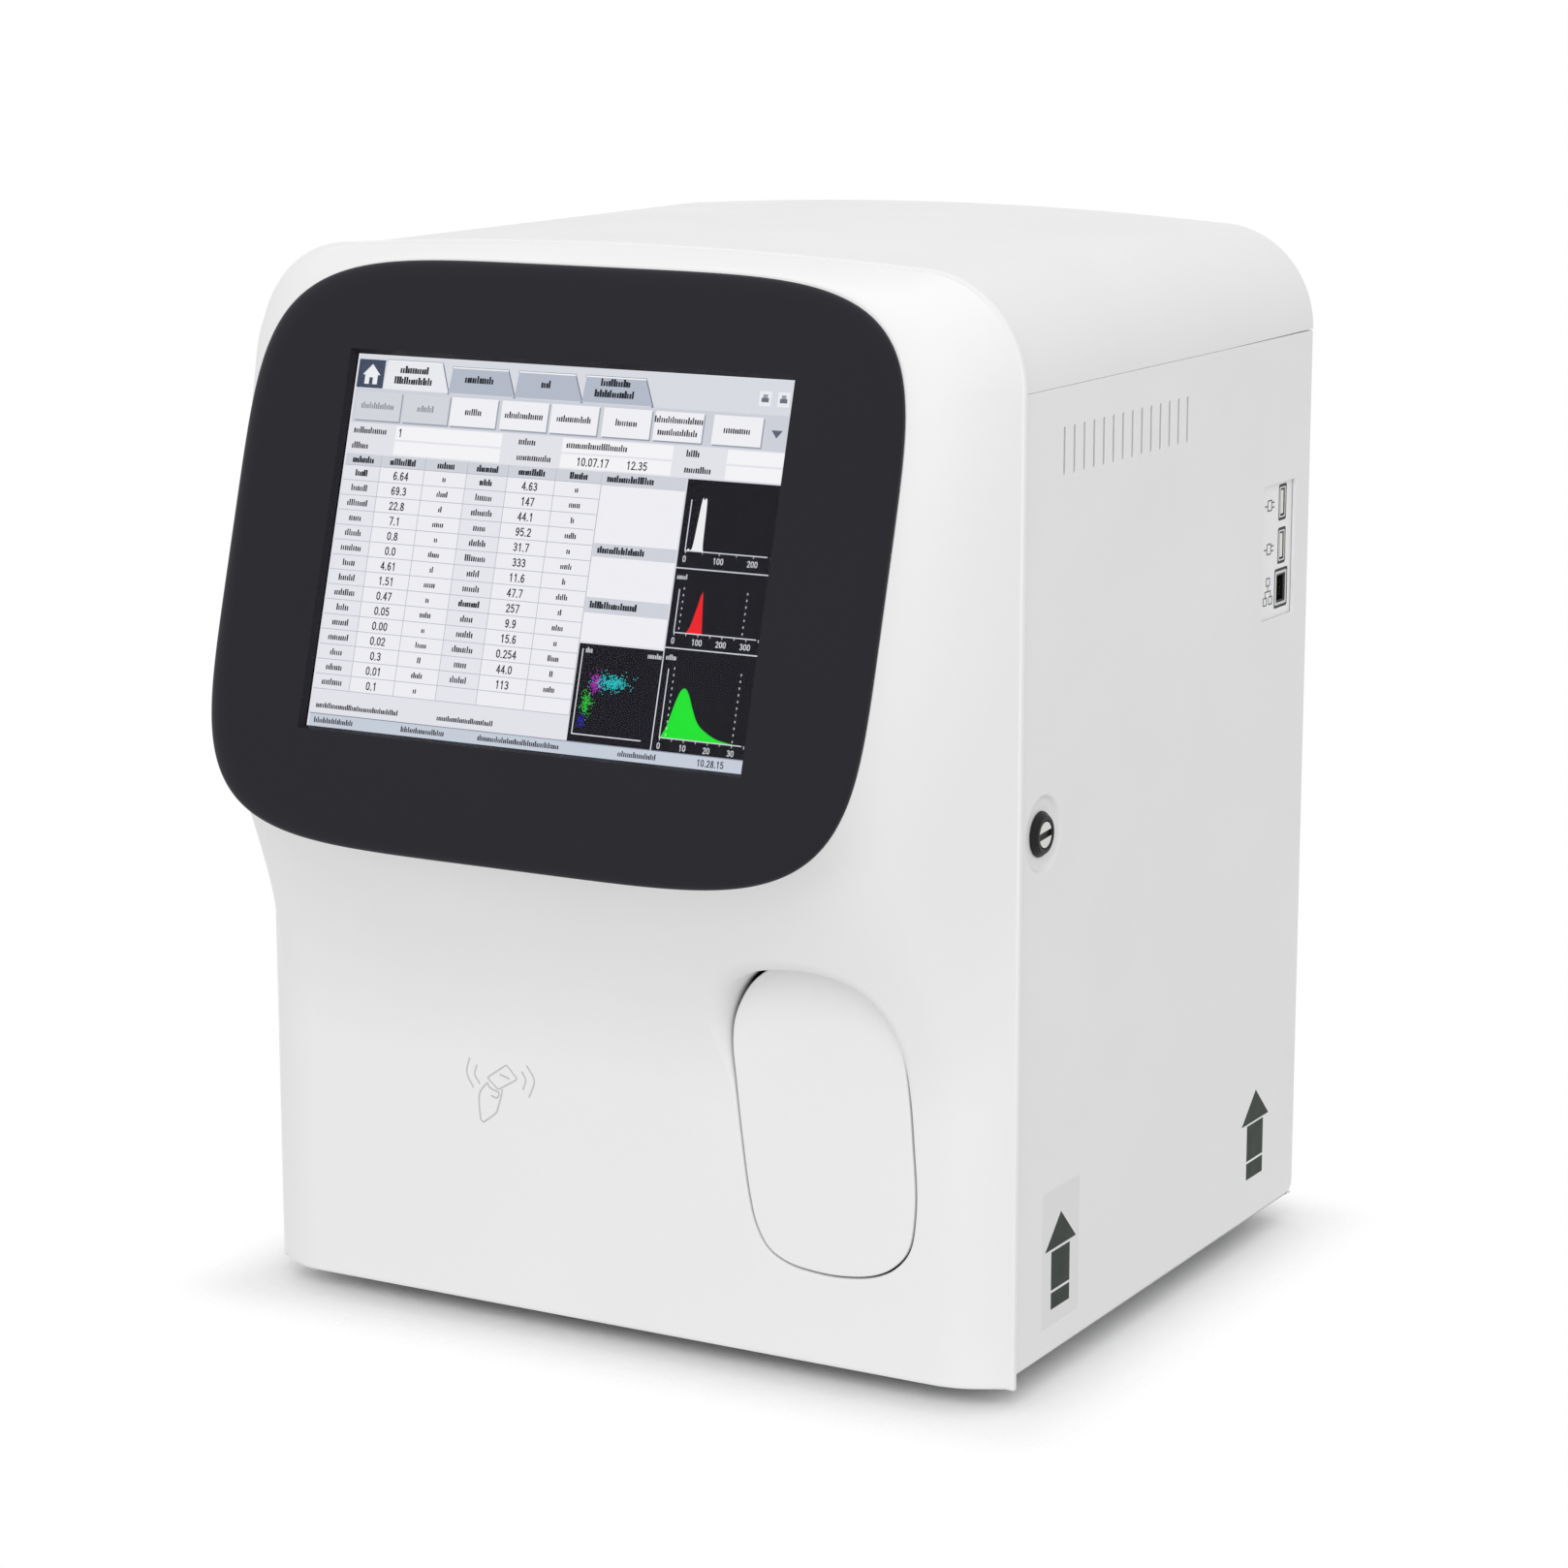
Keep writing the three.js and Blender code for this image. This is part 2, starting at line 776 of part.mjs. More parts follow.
function buildFrontCover() {
  const outer = frontSolid(0, 0, { floor: 14, side: 13, corner: 6, top: 10 }, 11);
  const inner = frontSolid(cover.wall, overrun, { floor: 8, side: 8, corner: 4, top: 6 }, 8);
  const opening = leaning(
    frontSlab(
      roundedRectangle(...screenWindow(display.moduleMargin + cover.openingClear), cover.openingRound),
      [0, cover.openingReach],
    ),
  );
  const doorway = solidFrom(frontSlab(shapeOf(doorOutline(0)), [-display.depth * 2, 0]));
  const collar = solidFrom(
    frontSlab(shapeOf(doorOutline(cover.collarWall)), [-display.depth * 2, -cover.collarBack]),
  ).intersect(outer);
  const bossX = frame.halfWidth - frame.bar / 2;
  const bosses = cover.bossHeights.flatMap((z) =>
    [-bossX, bossX].map((x) =>
      rod(
        "y",
        cover.bossDiameter,
        [cover.wall / 2 - frontDepth(x, z, 0), frame.frontY - fitGap],
        [x, z],
        12,
      ),
    ),
  );
  const behind = block([-frame.halfWidth, frame.halfWidth], [-overrun, frame.frontY], [0, frame.top]);
  const standing = join(...bosses).intersect(join(outer, behind));
  return cut(join(cut(outer, inner), collar, standing), opening, doorway);
}

const screenWindow = (margin) => [
  around(0, display.screenWidth + 2 * margin),
  around(0, display.screenHeight + 2 * margin),
];

function buildBezel() {
  const count = 72;
  const half = { x: bezel.halfWidth - bezel.round, z: bezel.halfHeight - bezel.round };
  const outline = [];
  for (let i = 0; i < count; i++) {
    const angle = (i / count) * 2 * Math.PI;
    const power = 2 / bezel.power;
    const u = Math.sign(Math.cos(angle)) * Math.abs(Math.cos(angle)) ** power;
    const v = Math.sign(Math.sin(angle)) * Math.abs(Math.sin(angle)) ** power;
    outline.push([half.x * u, half.z * v - bezel.drop]);
  }
  const plate = solidFrom(
    frontSlab(shapeOf(outline), [bezel.round - bezel.front, bezel.back], {
      bevelEnabled: true,
      bevelSize: bezel.round,
      bevelThickness: bezel.round,
      bevelSegments: 3,
    }),
  );
  const behind = block(
    around(0, cabinet.width), span(bezel.back, bezel.round + overrun), around(0, cabinet.width),
  );
  const pocket = screenBlock(display.glassMargin + fitGap, [bezel.pocketDepth, bezel.back + overrun]);
  const [windowX, windowZ] = screenWindow(0);
  const front = -bezel.front - overrun;
  const taper = bezel.windowBevel + overrun;
  const windowDepth = bezel.pocketDepth + overrun - front;
  const window = new THREE.CylinderGeometry(
    Math.SQRT1_2, Math.SQRT1_2, windowDepth, 4, 1, false, Math.PI / 4,
  );
  const place = window.attributes.position;
  for (let i = 0; i < place.count; i++) {
    const y = place.getY(i) > 0 ? bezel.pocketDepth + overrun : front;
    const grow = y > 0 ? 0 : taper;
    const x = Math.sign(place.getX(i)) * (windowX[1] + grow);
    const z = Math.sign(place.getZ(i)) * (windowZ[1] + grow);
    const hub = Math.abs(place.getX(i)) < weldGap;
    place.setXYZ(i, hub ? 0 : x, y, hub ? 0 : z);
  }
  return cut(plate, behind, pocket, solidFrom(window));
}

// Upright block as large as the screen and a margin round it
function screenBlock(margin, y) {
  const [x, z] = screenWindow(margin);
  return block(x, y, z);
}

function buildDisplay(group) {
  const glassBack = bezel.pocketDepth + fitGap + display.glassThickness;
  const moduleFront = glassBack + fitGap;
  const moduleBack = moduleFront + display.moduleThickness;
  const bracketFront = moduleBack + fitGap;
  const coverBack = bezel.back + fitGap + cover.wall;
  addPiece(group, "display_bezel", buildBezel(), softBlack);
  addPiece(
    group,
    "touch_glass",
    screenBlock(display.glassMargin, [bezel.pocketDepth + fitGap, glassBack]),
    screenGlass,
  );
  addPiece(
    group,
    "lcd_module",
    screenBlock(display.moduleMargin, [moduleFront, moduleBack]),
    blackPlastic,
  );
  const bossX = display.screenWidth / 4 - display.bossRadius;
  const strapHalf = display.bossRadius + display.strapEdge;
  const openingHalf = display.screenHeight / 2 + display.moduleMargin + cover.openingClear;
  const bossZ = openingHalf + display.bossRadius + display.bossClear;
  const plateY = span(bracketFront, display.bracketThickness);
  const plate = screenBlock(0, plateY);
  const straps = [-bossX, bossX].map((x) =>
    block(around(x, 2 * strapHalf), plateY, around(0, 2 * (bossZ + strapHalf))),
  );
  const bosses = [-bossX, bossX].flatMap((x) =>
    [-bossZ, bossZ].map((z) =>
      rod(
        "y",
        2 * display.bossRadius,
        [coverBack + fitGap, bracketFront + display.bracketThickness / 2],
        [x, z],
        12,
      ),
    ),
  );
  addPiece(group, "display_bracket", join(plate, ...straps, ...bosses), zincSteel);
}

function buildTopCover() {
  const inner = cabinet.rimProud + cover.wall;
  const shell = solidFrom(
    frontSlab(shapeOf(sectionPoints(cabinet.rimProud, cabinet.sideHeight)), [seamGap, cabinet.depth]),
  );
  const hollow = solidFrom(
    frontSlab(shapeOf(sectionPoints(inner, cabinet.sideHeight - overrun)), [
      seamGap - overrun,
      cabinet.depth + overrun,
    ]),
  );
  const wallX = halfWidth - inner + cover.wall / 2;
  const folds = [
    [frame.halfWidth - frame.bar, wallX],
    [-wallX, frame.bar - frame.halfWidth],
  ].map((x) => block(x, [seamGap, cabinet.depth], span(cabinet.sideHeight, cabinet.sheet)));
  return join(cut(shell, hollow), ...folds);
}

// Row of round-ended vent slots through the side skin
function ventCutters() {
  const x = [skinInner - overrun, bodyHalf + overrun];
  return Array.from({ length: vents.count }, (unused, i) =>
    sideSlab(
      roundedRectangle(
        around(vents.first + i * vents.pitch, vents.width),
        span(vents.bottom, vents.height),
        vents.width / 2 - weldGap,
      ),
      x,
    ),
  );
}

// Side skin with folded front, upper and lower edges, on the right-hand side
function sideSheet(hemBack) {
  const top = cabinet.sideHeight - seamGap;
  const inward = [bodyHalf - cabinet.hem, skinInner + cabinet.sheet / 2];
  return join(
    block([skinInner, bodyHalf], [seamGap, cabinet.depth], [0, top]),
    block(inward, span(seamGap, cabinet.sheet), [0, top]),
    block(inward, [seamGap, hemBack], span(0, cabinet.sheet)),
    block(inward, [seamGap, hemBack], [top - cabinet.sheet, top]),
  );
}

// Shallow round dish that the lock sits in, pressed into the service door
function lockDish() {
  const profile = [
    [lock.barrelDiameter / 2 + fitGap, lock.dishDepth + cabinet.sheet],
    [lock.dishFloor / 2, lock.dishDepth + cabinet.sheet],
    [lock.dishDiameter / 2, cabinet.sheet],
    [lock.dishDiameter / 2 + cabinet.sheet, cabinet.sheet],
    [lock.dishDiameter / 2 + cabinet.sheet, 0],
    [lock.dishDiameter / 2, 0],
    [lock.dishFloor / 2, lock.dishDepth],
    [lock.barrelDiameter / 2 + fitGap, lock.dishDepth],
  ];
  const loop = [...profile, profile[0]].map(([r, depth]) => new THREE.Vector2(r, -depth));
  const dish = new THREE.LatheGeometry(loop, 24);
  dish.rotateZ(-Math.PI / 2).translate(bodyHalf, lock.y, lock.z);
  return solidFrom(dish);
}

function buildServiceDoor() {
  const top = cabinet.sideHeight - seamGap;
  const hem = block(
    [bodyHalf - serviceDoor.hemReach, skinInner + cabinet.sheet / 2],
    [cabinet.depth - cabinet.sheet, cabinet.depth],
    [serviceDoor.hemNotch, top - serviceDoor.hemNotch],
  );
  const pinHole = rod(
    "z",
    serviceDoor.pinDiameter + 2 * runGap,
    [-overrun, cabinet.sideHeight + overrun],
    [serviceDoor.pivotX, serviceDoor.pivotY],
    16,
  );
  const through = [skinInner - overrun, bodyHalf + overrun];
  const window = block(
    through,
    [ports.windowFront, ports.windowBack],
    [ports.windowBottom, ports.windowTop],
  );
  const dishHole = rod("x", lock.dishDiameter, through, [lock.y, lock.z], 24);
  const skin = cut(sideSheet(cabinet.depth), dishHole, window, ...ventCutters());
  return cut(join(skin, hem, lockDish()), pinHole);
}

function buildLeftPanel() {
  const hemBack = cabinet.depth - cabinet.sheet - fitGap;
  return cut(sideSheet(hemBack), ...ventCutters()).mirror([1, 0, 0]);
}

function buildLock(group) {
  const floor = bodyHalf - lock.dishDepth;
  const seat = floor + fitGap;
  const barrelEnd = frame.halfWidth - frame.bar;
  const face = seat + lock.ringHeight;
  const ring = join(
    rod("x", lock.ringDiameter, [seat, face], [0, 0], 32, lock.faceDiameter + lock.slotDepth),
    rod("x", lock.barrelDiameter, [barrelEnd, seat + lock.ringHeight / 2], [0, 0], 24),
  );
  const boreDiameter = lock.barrelDiameter - 2 * cabinet.sheet;
  const bore = rod("x", boreDiameter, [barrelEnd - overrun, face + overrun], [0, 0]);
  addPiece(group, "lock_barrel", cut(ring, bore), blackPlastic, [0, lock.y, lock.z]);
  const core = boreDiameter - 2 * runGap;
  const camBack = barrelEnd - fitGap - lock.camThickness;
  const plug = rod("x", core, [camBack, face - fitGap], [0, 0]);
  const slot = block(
    [face - lock.slotDepth, face + overrun], around(0, core + overrun), around(0, lock.slotWidth),
  );
  const cam = block(
    span(camBack, lock.camThickness), around(0, lock.camWidth), [-lock.camWidth / 2, lock.camReach],
  );
  const place = [0, lock.y, lock.z];
  addPiece(group, "lock_cam", join(cut(plug, slot), cam), stainless, place, [lock.slant, 0, 0]);
}

function buildPivots(group) {
  const flangeBottom = cabinet.sideHeight - seamGap - cabinet.sheet;
  const seat = flangeBottom - fitGap;
  const blockBack = serviceDoor.pivotY + cabinet.sheet;
  const arm = block(
    [frame.rightX + fitGap, serviceDoor.pivotX + serviceDoor.pinDiameter / 2],
    [blockBack - serviceDoor.pivotBlock, blockBack],
    [seat - serviceDoor.headHeight, seat],
  );
  const at = [serviceDoor.pivotX, serviceDoor.pivotY];
  const pinTop = cabinet.sideHeight - fitGap;
  const upperPin = rod("z", serviceDoor.pinDiameter, [seat - cabinet.sheet, pinTop], at, 16);
  addPiece(group, "door_pivot_upper", join(arm, upperPin), zincSteel);
  const trayTop = base.rise + base.thickness + fitGap;
  const lowerPin = rod("z", serviceDoor.pinDiameter, [0, trayTop + cabinet.sheet], at, 16);
  const head = rod("z", serviceDoor.headDiameter, span(trayTop, serviceDoor.headHeight), at, 16);
  addPiece(group, "door_pivot_lower", join(lowerPin, head), zincSteel);
}

// Ring-shaped openings with bridges, so that the fan can blow out
function grilleCutters() {
  const y = [cabinet.depth - cabinet.sheet - overrun, cabinet.depth + overrun];
  const longer = [y[0] - overrun, y[1] + overrun];
  const rings = Array.from({ length: rear.grilleRings }, (unused, i) => {
    const inner = rear.grilleBridge + i * rear.grillePitch;
    return cut(
      rod("y", 2 * (inner + rear.grilleSlot), y, [rear.fanX, rear.fanZ], 24),
      rod("y", 2 * inner, longer, [rear.fanX, rear.fanZ], 24),
    );
  });
  const bar = fan.size + overrun;
  const upright = block(around(rear.fanX, rear.grilleSpoke), longer, around(rear.fanZ, bar));
  const level = block(around(rear.fanX, bar), longer, around(rear.fanZ, rear.grilleSpoke));
  return rings.map((ring) => cut(ring, upright, level));
}

function buildRearPanel() {
  const inset = cabinet.rimProud + cover.wall + fitGap;
  const y = [cabinet.depth - cabinet.sheet, cabinet.depth];
  const through = [y[0] - overrun, y[1] + overrun];
  const below = cabinet.sideHeight - seamGap;
  const foldTop = cabinet.sideHeight + cabinet.sheet + fitGap;
  const neckHalf = frame.halfWidth - frame.bar - fitGap;
  const whole = join(
    cut(
      solidFrom(frontSlab(shapeOf(sectionPoints(inset, cabinet.sideHeight)), y)),
      block(around(0, cabinet.width), through, [cabinet.sideHeight - overrun, foldTop]),
    ),
    block([-neckHalf, neckHalf], y, [below - overrun, foldTop + overrun]),
    block([-skinInner + fitGap, rear.rightX], y, [0, below]),
  );
  const hole = (x, width, height) =>
    block(around(x, width + 2 * fitGap), through, around(rear.inletZ, height + 2 * fitGap));
  const inletHole = hole(rear.inletX, inlet.bodyWidth, inlet.bodyHeight);
  const walls = 2 * cabinet.sheet;
  const switchHole = hole(rear.switchX, rocker.openWidth + walls, rocker.openHeight + walls);
  const hoseHoles = rear.portX.map((x) =>
    rod("y", hosePort.diameter + 2 * fitGap, through, [x, rear.portZ]),
  );
  return cut(whole, inletHole, switchHole, ...hoseHoles, ...grilleCutters());
}

function buildBaseTray() {
  const x = [-base.halfWidth, base.halfWidth];
  const floor = block(x, [base.frontY, base.backY], span(base.rise, base.thickness));
  const flangeX = [-base.halfWidth, frame.rightX - fitGap];
  const back = cabinet.depth - cabinet.sheet - fitGap;
  const rearFlange = block(flangeX, [back - base.thickness, back], span(base.rise, base.flange));
  const rearLap = block(flangeX, [base.backY - base.thickness, back], span(base.rise, base.thickness));
  const pinAt = [serviceDoor.pivotX, serviceDoor.pivotY];
  const pinHole = rod("z", serviceDoor.pinDiameter + 2 * fitGap, [0, base.flange], pinAt, 16);
  return cut(join(floor, rearLap, rearFlange), pinHole);
}

function buildFeet(group) {
  const profile = [
    [0, -foot.height], [foot.tread / 2, -foot.height], [foot.diameter / 2, -foot.height / 2],
    [foot.diameter / 2, base.rise - fitGap], [0, base.rise - fitGap],
  ].map(([r, z]) => new THREE.Vector2(r, z));
  const places = { front: foot.frontY, rear: foot.backY };
  for (const [end, y] of Object.entries(places)) {
    for (const [side, x] of Object.entries({ left: -foot.x, right: foot.x })) {
      const pad = new THREE.LatheGeometry(profile, 24).rotateX(Math.PI / 2);
      addPiece(group, `foot_${end}_${side}`, solidFrom(pad), rubber, [x, y, 0]);
    }
  }
}

function buildFrame() {
  const bottom = base.rise + base.thickness + fitGap;
  const upright = [bottom, frame.top];
  const left = span(-frame.halfWidth, frame.bar);
  const right = [frame.halfWidth - frame.bar, frame.halfWidth];
  const rearRight = [frame.rightX - frame.bar, frame.rightX];
  const frontY = span(frame.frontY, frame.depth);
  const backY = span(frame.backY, frame.backDepth);
  const rail = [frame.top - frame.depth, frame.top];
  return join(
    block(left, frontY, upright),
    block(right, frontY, upright),
    block(left, backY, upright),
    block(rearRight, backY, upright),
    block([left[0], right[1]], frontY, rail),
    block([left[0], rearRight[1]], backY, rail),
    block(left, [frontY[0], backY[1]], rail),
    block(rearRight, [frontY[0], backY[1]], rail),
    block(left, [frontY[0], backY[1]], [shelf.z - fitGap - frame.bar, shelf.z - fitGap]),
  );
}

function buildPartition() {
  const bottom = base.rise + base.thickness + fitGap;
  const x = span(partition.x, partition.thickness);
  const plate = block(x, [partition.frontY, partition.backY], [bottom, frame.top - frame.depth - fitGap]);
  const notch = block(
    [x[0] - overrun, x[1] + overrun],
    [partition.frontY - overrun, partition.notchBack],
    [bottom - overrun, partition.notchTop],
  );
  return cut(plate, notch);
}

const doorFront = -cover.faceDepth;
const doorBack = doorFront + sampleDoor.thickness;
const doorPivot = { y: doorFront + sampleDoor.pivotBack, z: sampleDoor.bottom + sampleDoor.pivotRise };
const doorMiddle = sampleDoor.left + sampleDoor.width / 2;

function buildSampleDoor(group) {
  const panelY = [doorFront + sampleDoor.bevel, doorBack - sampleDoor.bevel];
  const panel = solidFrom(
    frontSlab(shapeOf(doorOutline(-sampleDoor.gap - sampleDoor.bevel)), panelY, {
      bevelEnabled: true,
      bevelSize: sampleDoor.bevel,
      bevelThickness: sampleDoor.bevel,
      bevelSegments: 1,
    }),
  );
  const outer = sampleDoor.earSpan / 2;
  const ears = [-1, 1].map((side) => {
    const x = side < 0
      ? span(doorMiddle - outer, sampleDoor.earThickness)
      : span(doorMiddle + outer - sampleDoor.earThickness, sampleDoor.earThickness);
    const eye = rod("x", 2 * sampleDoor.earRadius, x, [doorPivot.y, doorPivot.z], 20);
    const webZ = around(doorPivot.z, 2 * sampleDoor.earRadius);
    return join(eye, block(x, [doorBack - sampleDoor.bevel, doorPivot.y], webZ));
  });
  const pinHole = rod(
    "x", sampleDoor.pinDiameter + 2 * fitGap, around(doorMiddle, sampleDoor.earSpan + 2 * overrun),
    [doorPivot.y, doorPivot.z], 20,
  );
  const strikerTop = sampleDoor.bottom + sampleDoor.height - sampleDoor.strikerDrop;
  const striker = block(
    around(doorMiddle, sampleDoor.strikerWidth),
    [doorBack - sampleDoor.bevel, doorBack + sampleDoor.strikerReach],
    [strikerTop - sampleDoor.strikerThickness, strikerTop],
  );
  addPiece(group, "sample_door", cut(join(panel, ...ears, striker), pinHole), doorAbs);
  const holderBottom = doorPivot.z + tubeHolder.rise;
  const body = block(
    around(doorMiddle, tubeHolder.width),
    [doorBack + fitGap, doorBack + tubeHolder.reach],
    span(holderBottom, tubeHolder.height),
  );
  const wellY = doorBack + tubeHolder.wellBack;
  const well = rod(
    "z", tubeHolder.bore, [holderBottom + tubeHolder.floor, holderBottom + tubeHolder.height + overrun],
    [doorMiddle, wellY],
  );
  const slot = block(
    around(doorMiddle, tubeHolder.slot),
    [wellY, doorBack + tubeHolder.reach + overrun],
    [holderBottom - overrun, holderBottom + tubeHolder.height + overrun],
  );
  addPiece(group, "tube_holder", cut(body, well, slot), greyPlastic);
}

function buildSampleBay(group) {
  const x = span(bay.left, bay.width);
  const z = span(bay.bottom, bay.height);
  const front = -cover.collarBack + bay.frontGap;
  const shell = block(x, [front, bay.back], z);
  const hollow = block(
    [x[0] + bay.wall, x[1] - bay.wall],
    [front - overrun, bay.back - bay.wall],
    [z[0] + bay.wall, z[1] - bay.wall],
  );
  const wellAt = [doorMiddle, doorBack + tubeHolder.wellBack];
  const probeHole = rod("z", bay.probeHole, [z[1] - bay.wall - overrun, z[1] + overrun], wellAt);
  const eyeRadius = bay.armHeight / 2;
  const crossX = [x[0] + bay.wall / 2, x[1] - bay.wall / 2];
  const crossY = span(doorPivot.y + bay.armHeight + sampleDoor.pivotBack, bay.wall);
  const cross = block(crossX, crossY, around(doorPivot.z, bay.armHeight));
  const inner = sampleDoor.earSpan / 2 + runGap;
  const arms = [-1, 1].map((side) => {
    const armX = side < 0
      ? [doorMiddle - inner - bay.armThickness, doorMiddle - inner]
      : [doorMiddle + inner, doorMiddle + inner + bay.armThickness];
    return join(
      rod("x", 2 * eyeRadius - overrun, armX, [doorPivot.y, doorPivot.z], 20),
      block(armX, [doorPivot.y, crossY[1]], around(doorPivot.z, 2 * eyeRadius - overrun)),
    );
  });
  const pinHole = rod(
    "x", sampleDoor.pinDiameter + 2 * fitGap, around(doorMiddle, bay.width - 2 * bay.wall),
    [doorPivot.y, doorPivot.z], 20,
  );
  const housing = join(cut(shell, hollow, probeHole), cross, ...arms);
  addPiece(group, "sample_bay", cut(housing, pinHole), blackPlastic);
  const pinLength = sampleDoor.earSpan + 2 * (runGap + bay.armThickness);
  const pin = rod("x", sampleDoor.pinDiameter, around(0, pinLength), [0, 0], 20);
  addPiece(group, "sample_door_pin", pin, stainless, [doorMiddle, doorPivot.y, doorPivot.z]);
  const ceiling = z[1] - bay.wall - fitGap;
  const strikerEnd = doorBack + sampleDoor.strikerReach;
  const latch = block(
    around(doorMiddle, bay.latchWidth),
    span(strikerEnd + fitGap, bay.latchDepth),
    [ceiling - bay.latchHeight, ceiling],
  );
  const mouth = block(
    around(doorMiddle, bay.latchWidth / 2),
    [strikerEnd, strikerEnd + bay.latchDepth / 2],
    around(ceiling - bay.latchHeight / 2, bay.latchHeight / 2),
  );
  addPiece(group, "sample_door_latch", cut(latch, mouth), greyPlastic);
}

const plateOuter = skinInner - fitGap;

function socketSolid(y, z, length, width, mouthLength, mouthWidth, mouthDepth, bed) {
  const x = [plateOuter - ports.usbDepth, plateOuter];
  const shell = block(x, around(y, width), around(z, length));
  const mouth = block([x[1] - mouthDepth, x[1] + overrun], around(y, mouthWidth), around(z, mouthLength));
  const tongue = block([x[1] - mouthDepth - overrun, x[1] - overrun], bed.y, around(z, bed.length));
  return join(cut(shell, mouth), tongue);
}

function buildPorts(group) {
  const z = [ports.windowBottom - ports.plateLap, ports.windowTop + ports.plateLap];
  const y = [ports.windowFront - ports.plateLap, ports.windowBack + ports.plateLap];
  const x = [plateOuter - ports.plateThickness, plateOuter];
  const inward = [frame.rightX + fitGap, x[0] + ports.plateThickness / 2];
  const plate = join(
    block(x, y, z),
    block(inward, y, span(z[0], ports.plateThickness)),
    block(inward, y, [z[1] - ports.plateThickness, z[1]]),
  );
  const holes = [
    [ports.usbUpperZ, ports.usbLength, ports.usbWidth],
    [ports.usbLowerZ, ports.usbLength, ports.usbWidth],
    [ports.lanZ, ports.lanLength, ports.lanWidth],
  ].map(([at, length, width]) =>
    block(
      [x[0] - overrun, x[1] + overrun],
      around(ports.socketY, width + 2 * fitGap),
      around(at, length + 2 * fitGap),
    ),
  );
  addPiece(group, "io_plate", cut(plate, ...holes), whitePaint);
  const tongue = {
    y: span(ports.socketY - ports.usbMouthWidth / 2 + fitGap, ports.tongueThickness),
    length: ports.tongueLength,
  };
  const usbPlaces = { usb_socket_upper: ports.usbUpperZ, usb_socket_lower: ports.usbLowerZ };
  for (const [name, at] of Object.entries(usbPlaces)) {
    const usb = socketSolid(
      ports.socketY, at, ports.usbLength, ports.usbWidth,
      ports.usbMouthLength, ports.usbMouthWidth, ports.usbMouthDepth, tongue,
    );
    addPiece(group, name, usb, stainless);
  }
  const bedFront = ports.socketY - ports.lanMouthWidth / 2;
  const bed = {
    y: [bedFront - overrun, bedFront + ports.contactBed],
    length: ports.lanMouthLength - 2 * overrun,
  };
  const lan = socketSolid(
    ports.socketY, ports.lanZ, ports.lanLength, ports.lanWidth,
    ports.lanMouthLength, ports.lanMouthWidth, ports.lanMouthDepth, bed,
  );
  addPiece(group, "lan_socket", lan, stainless);
  const boardFace = plateOuter - ports.usbDepth - fitGap;
  const boardZ = [z[0] + ports.plateThickness + fitGap, z[1] - ports.plateThickness - fitGap];
  const boardX = [boardFace - ports.boardThickness, boardFace];
  addPiece(group, "io_board", block(boardX, [y[0], frame.backY - fitGap], boardZ), circuitGreen);
}

function buildPowerInlet() {
  const outer = cabinet.depth + fitGap;
  const x = rear.inletX;
  const z = rear.inletZ;
  const flange = block(around(x, inlet.width), span(outer, inlet.flange), around(z, inlet.height));
  const body = block(
    around(x, inlet.bodyWidth),
    [outer - inlet.bodyDepth, outer + inlet.flange / 2],
    around(z, inlet.bodyHeight),
  );
  const mouthBottom = outer + inlet.flange - inlet.mouthDepth;
  const mouth = block(
    around(x, inlet.mouthWidth),
    [mouthBottom, outer + inlet.flange + overrun],
    around(z, inlet.mouthHeight),
  );
  const pinPlaces = [
    [-inlet.pinSpread, -inlet.pinDrop],
    [0, inlet.earthRise],
    [inlet.pinSpread, -inlet.pinDrop],
  ];
  const pins = pinPlaces.map(([px, pz]) =>
    block(
      around(x + px, inlet.pinWidth),
      [mouthBottom - overrun, mouthBottom + inlet.pinLength],
      around(z + pz, inlet.pinHeight),
    ),
  );
  return join(cut(join(flange, body), mouth), ...pins);
}

function buildPowerSwitch(group) {
  const outer = cabinet.depth + fitGap;
  const z = around(rear.inletZ, rocker.openHeight + 2 * cabinet.sheet);
  const x = around(rear.switchX, rocker.openWidth + 2 * cabinet.sheet);
  const flange = block(
    around(rear.switchX, rocker.frameWidth),
    span(outer, rocker.flange),
    around(rear.inletZ, rocker.frameHeight),
  );
  const body = block(x, [outer - rocker.depth, outer + rocker.flange / 2], z);
  const well = block(
    around(rear.switchX, rocker.openWidth),
    [outer - rocker.depth + cabinet.sheet, outer + rocker.flange + overrun],
    around(rear.inletZ, rocker.openHeight),
  );
  const axleX = around(rear.switchX, rocker.openWidth + cabinet.sheet);
  const axle = rod("x", rocker.axle, axleX, [outer, rear.inletZ], 16);
  addPiece(group, "switch_frame", join(cut(join(flange, body), well), axle), blackPlastic);
  const profile = shapeOf([
    [-rocker.belly, -rocker.bellyHalf], [rocker.crest, -rocker.halfHeight], [rocker.waist, 0],
    [rocker.crest, rocker.halfHeight], [-rocker.belly, rocker.bellyHalf],
  ]);
  const rock = cut(
    sideSlab(profile, around(0, rocker.width)),
    rod("x", rocker.axle + 2 * fitGap, around(0, rocker.width + 2 * overrun), [0, 0], 16),
  );
  const place = [rear.switchX, outer, rear.inletZ];
  addPiece(group, "switch_rocker", rock, blackPlastic, place, [rocker.rest, 0, 0]);
}

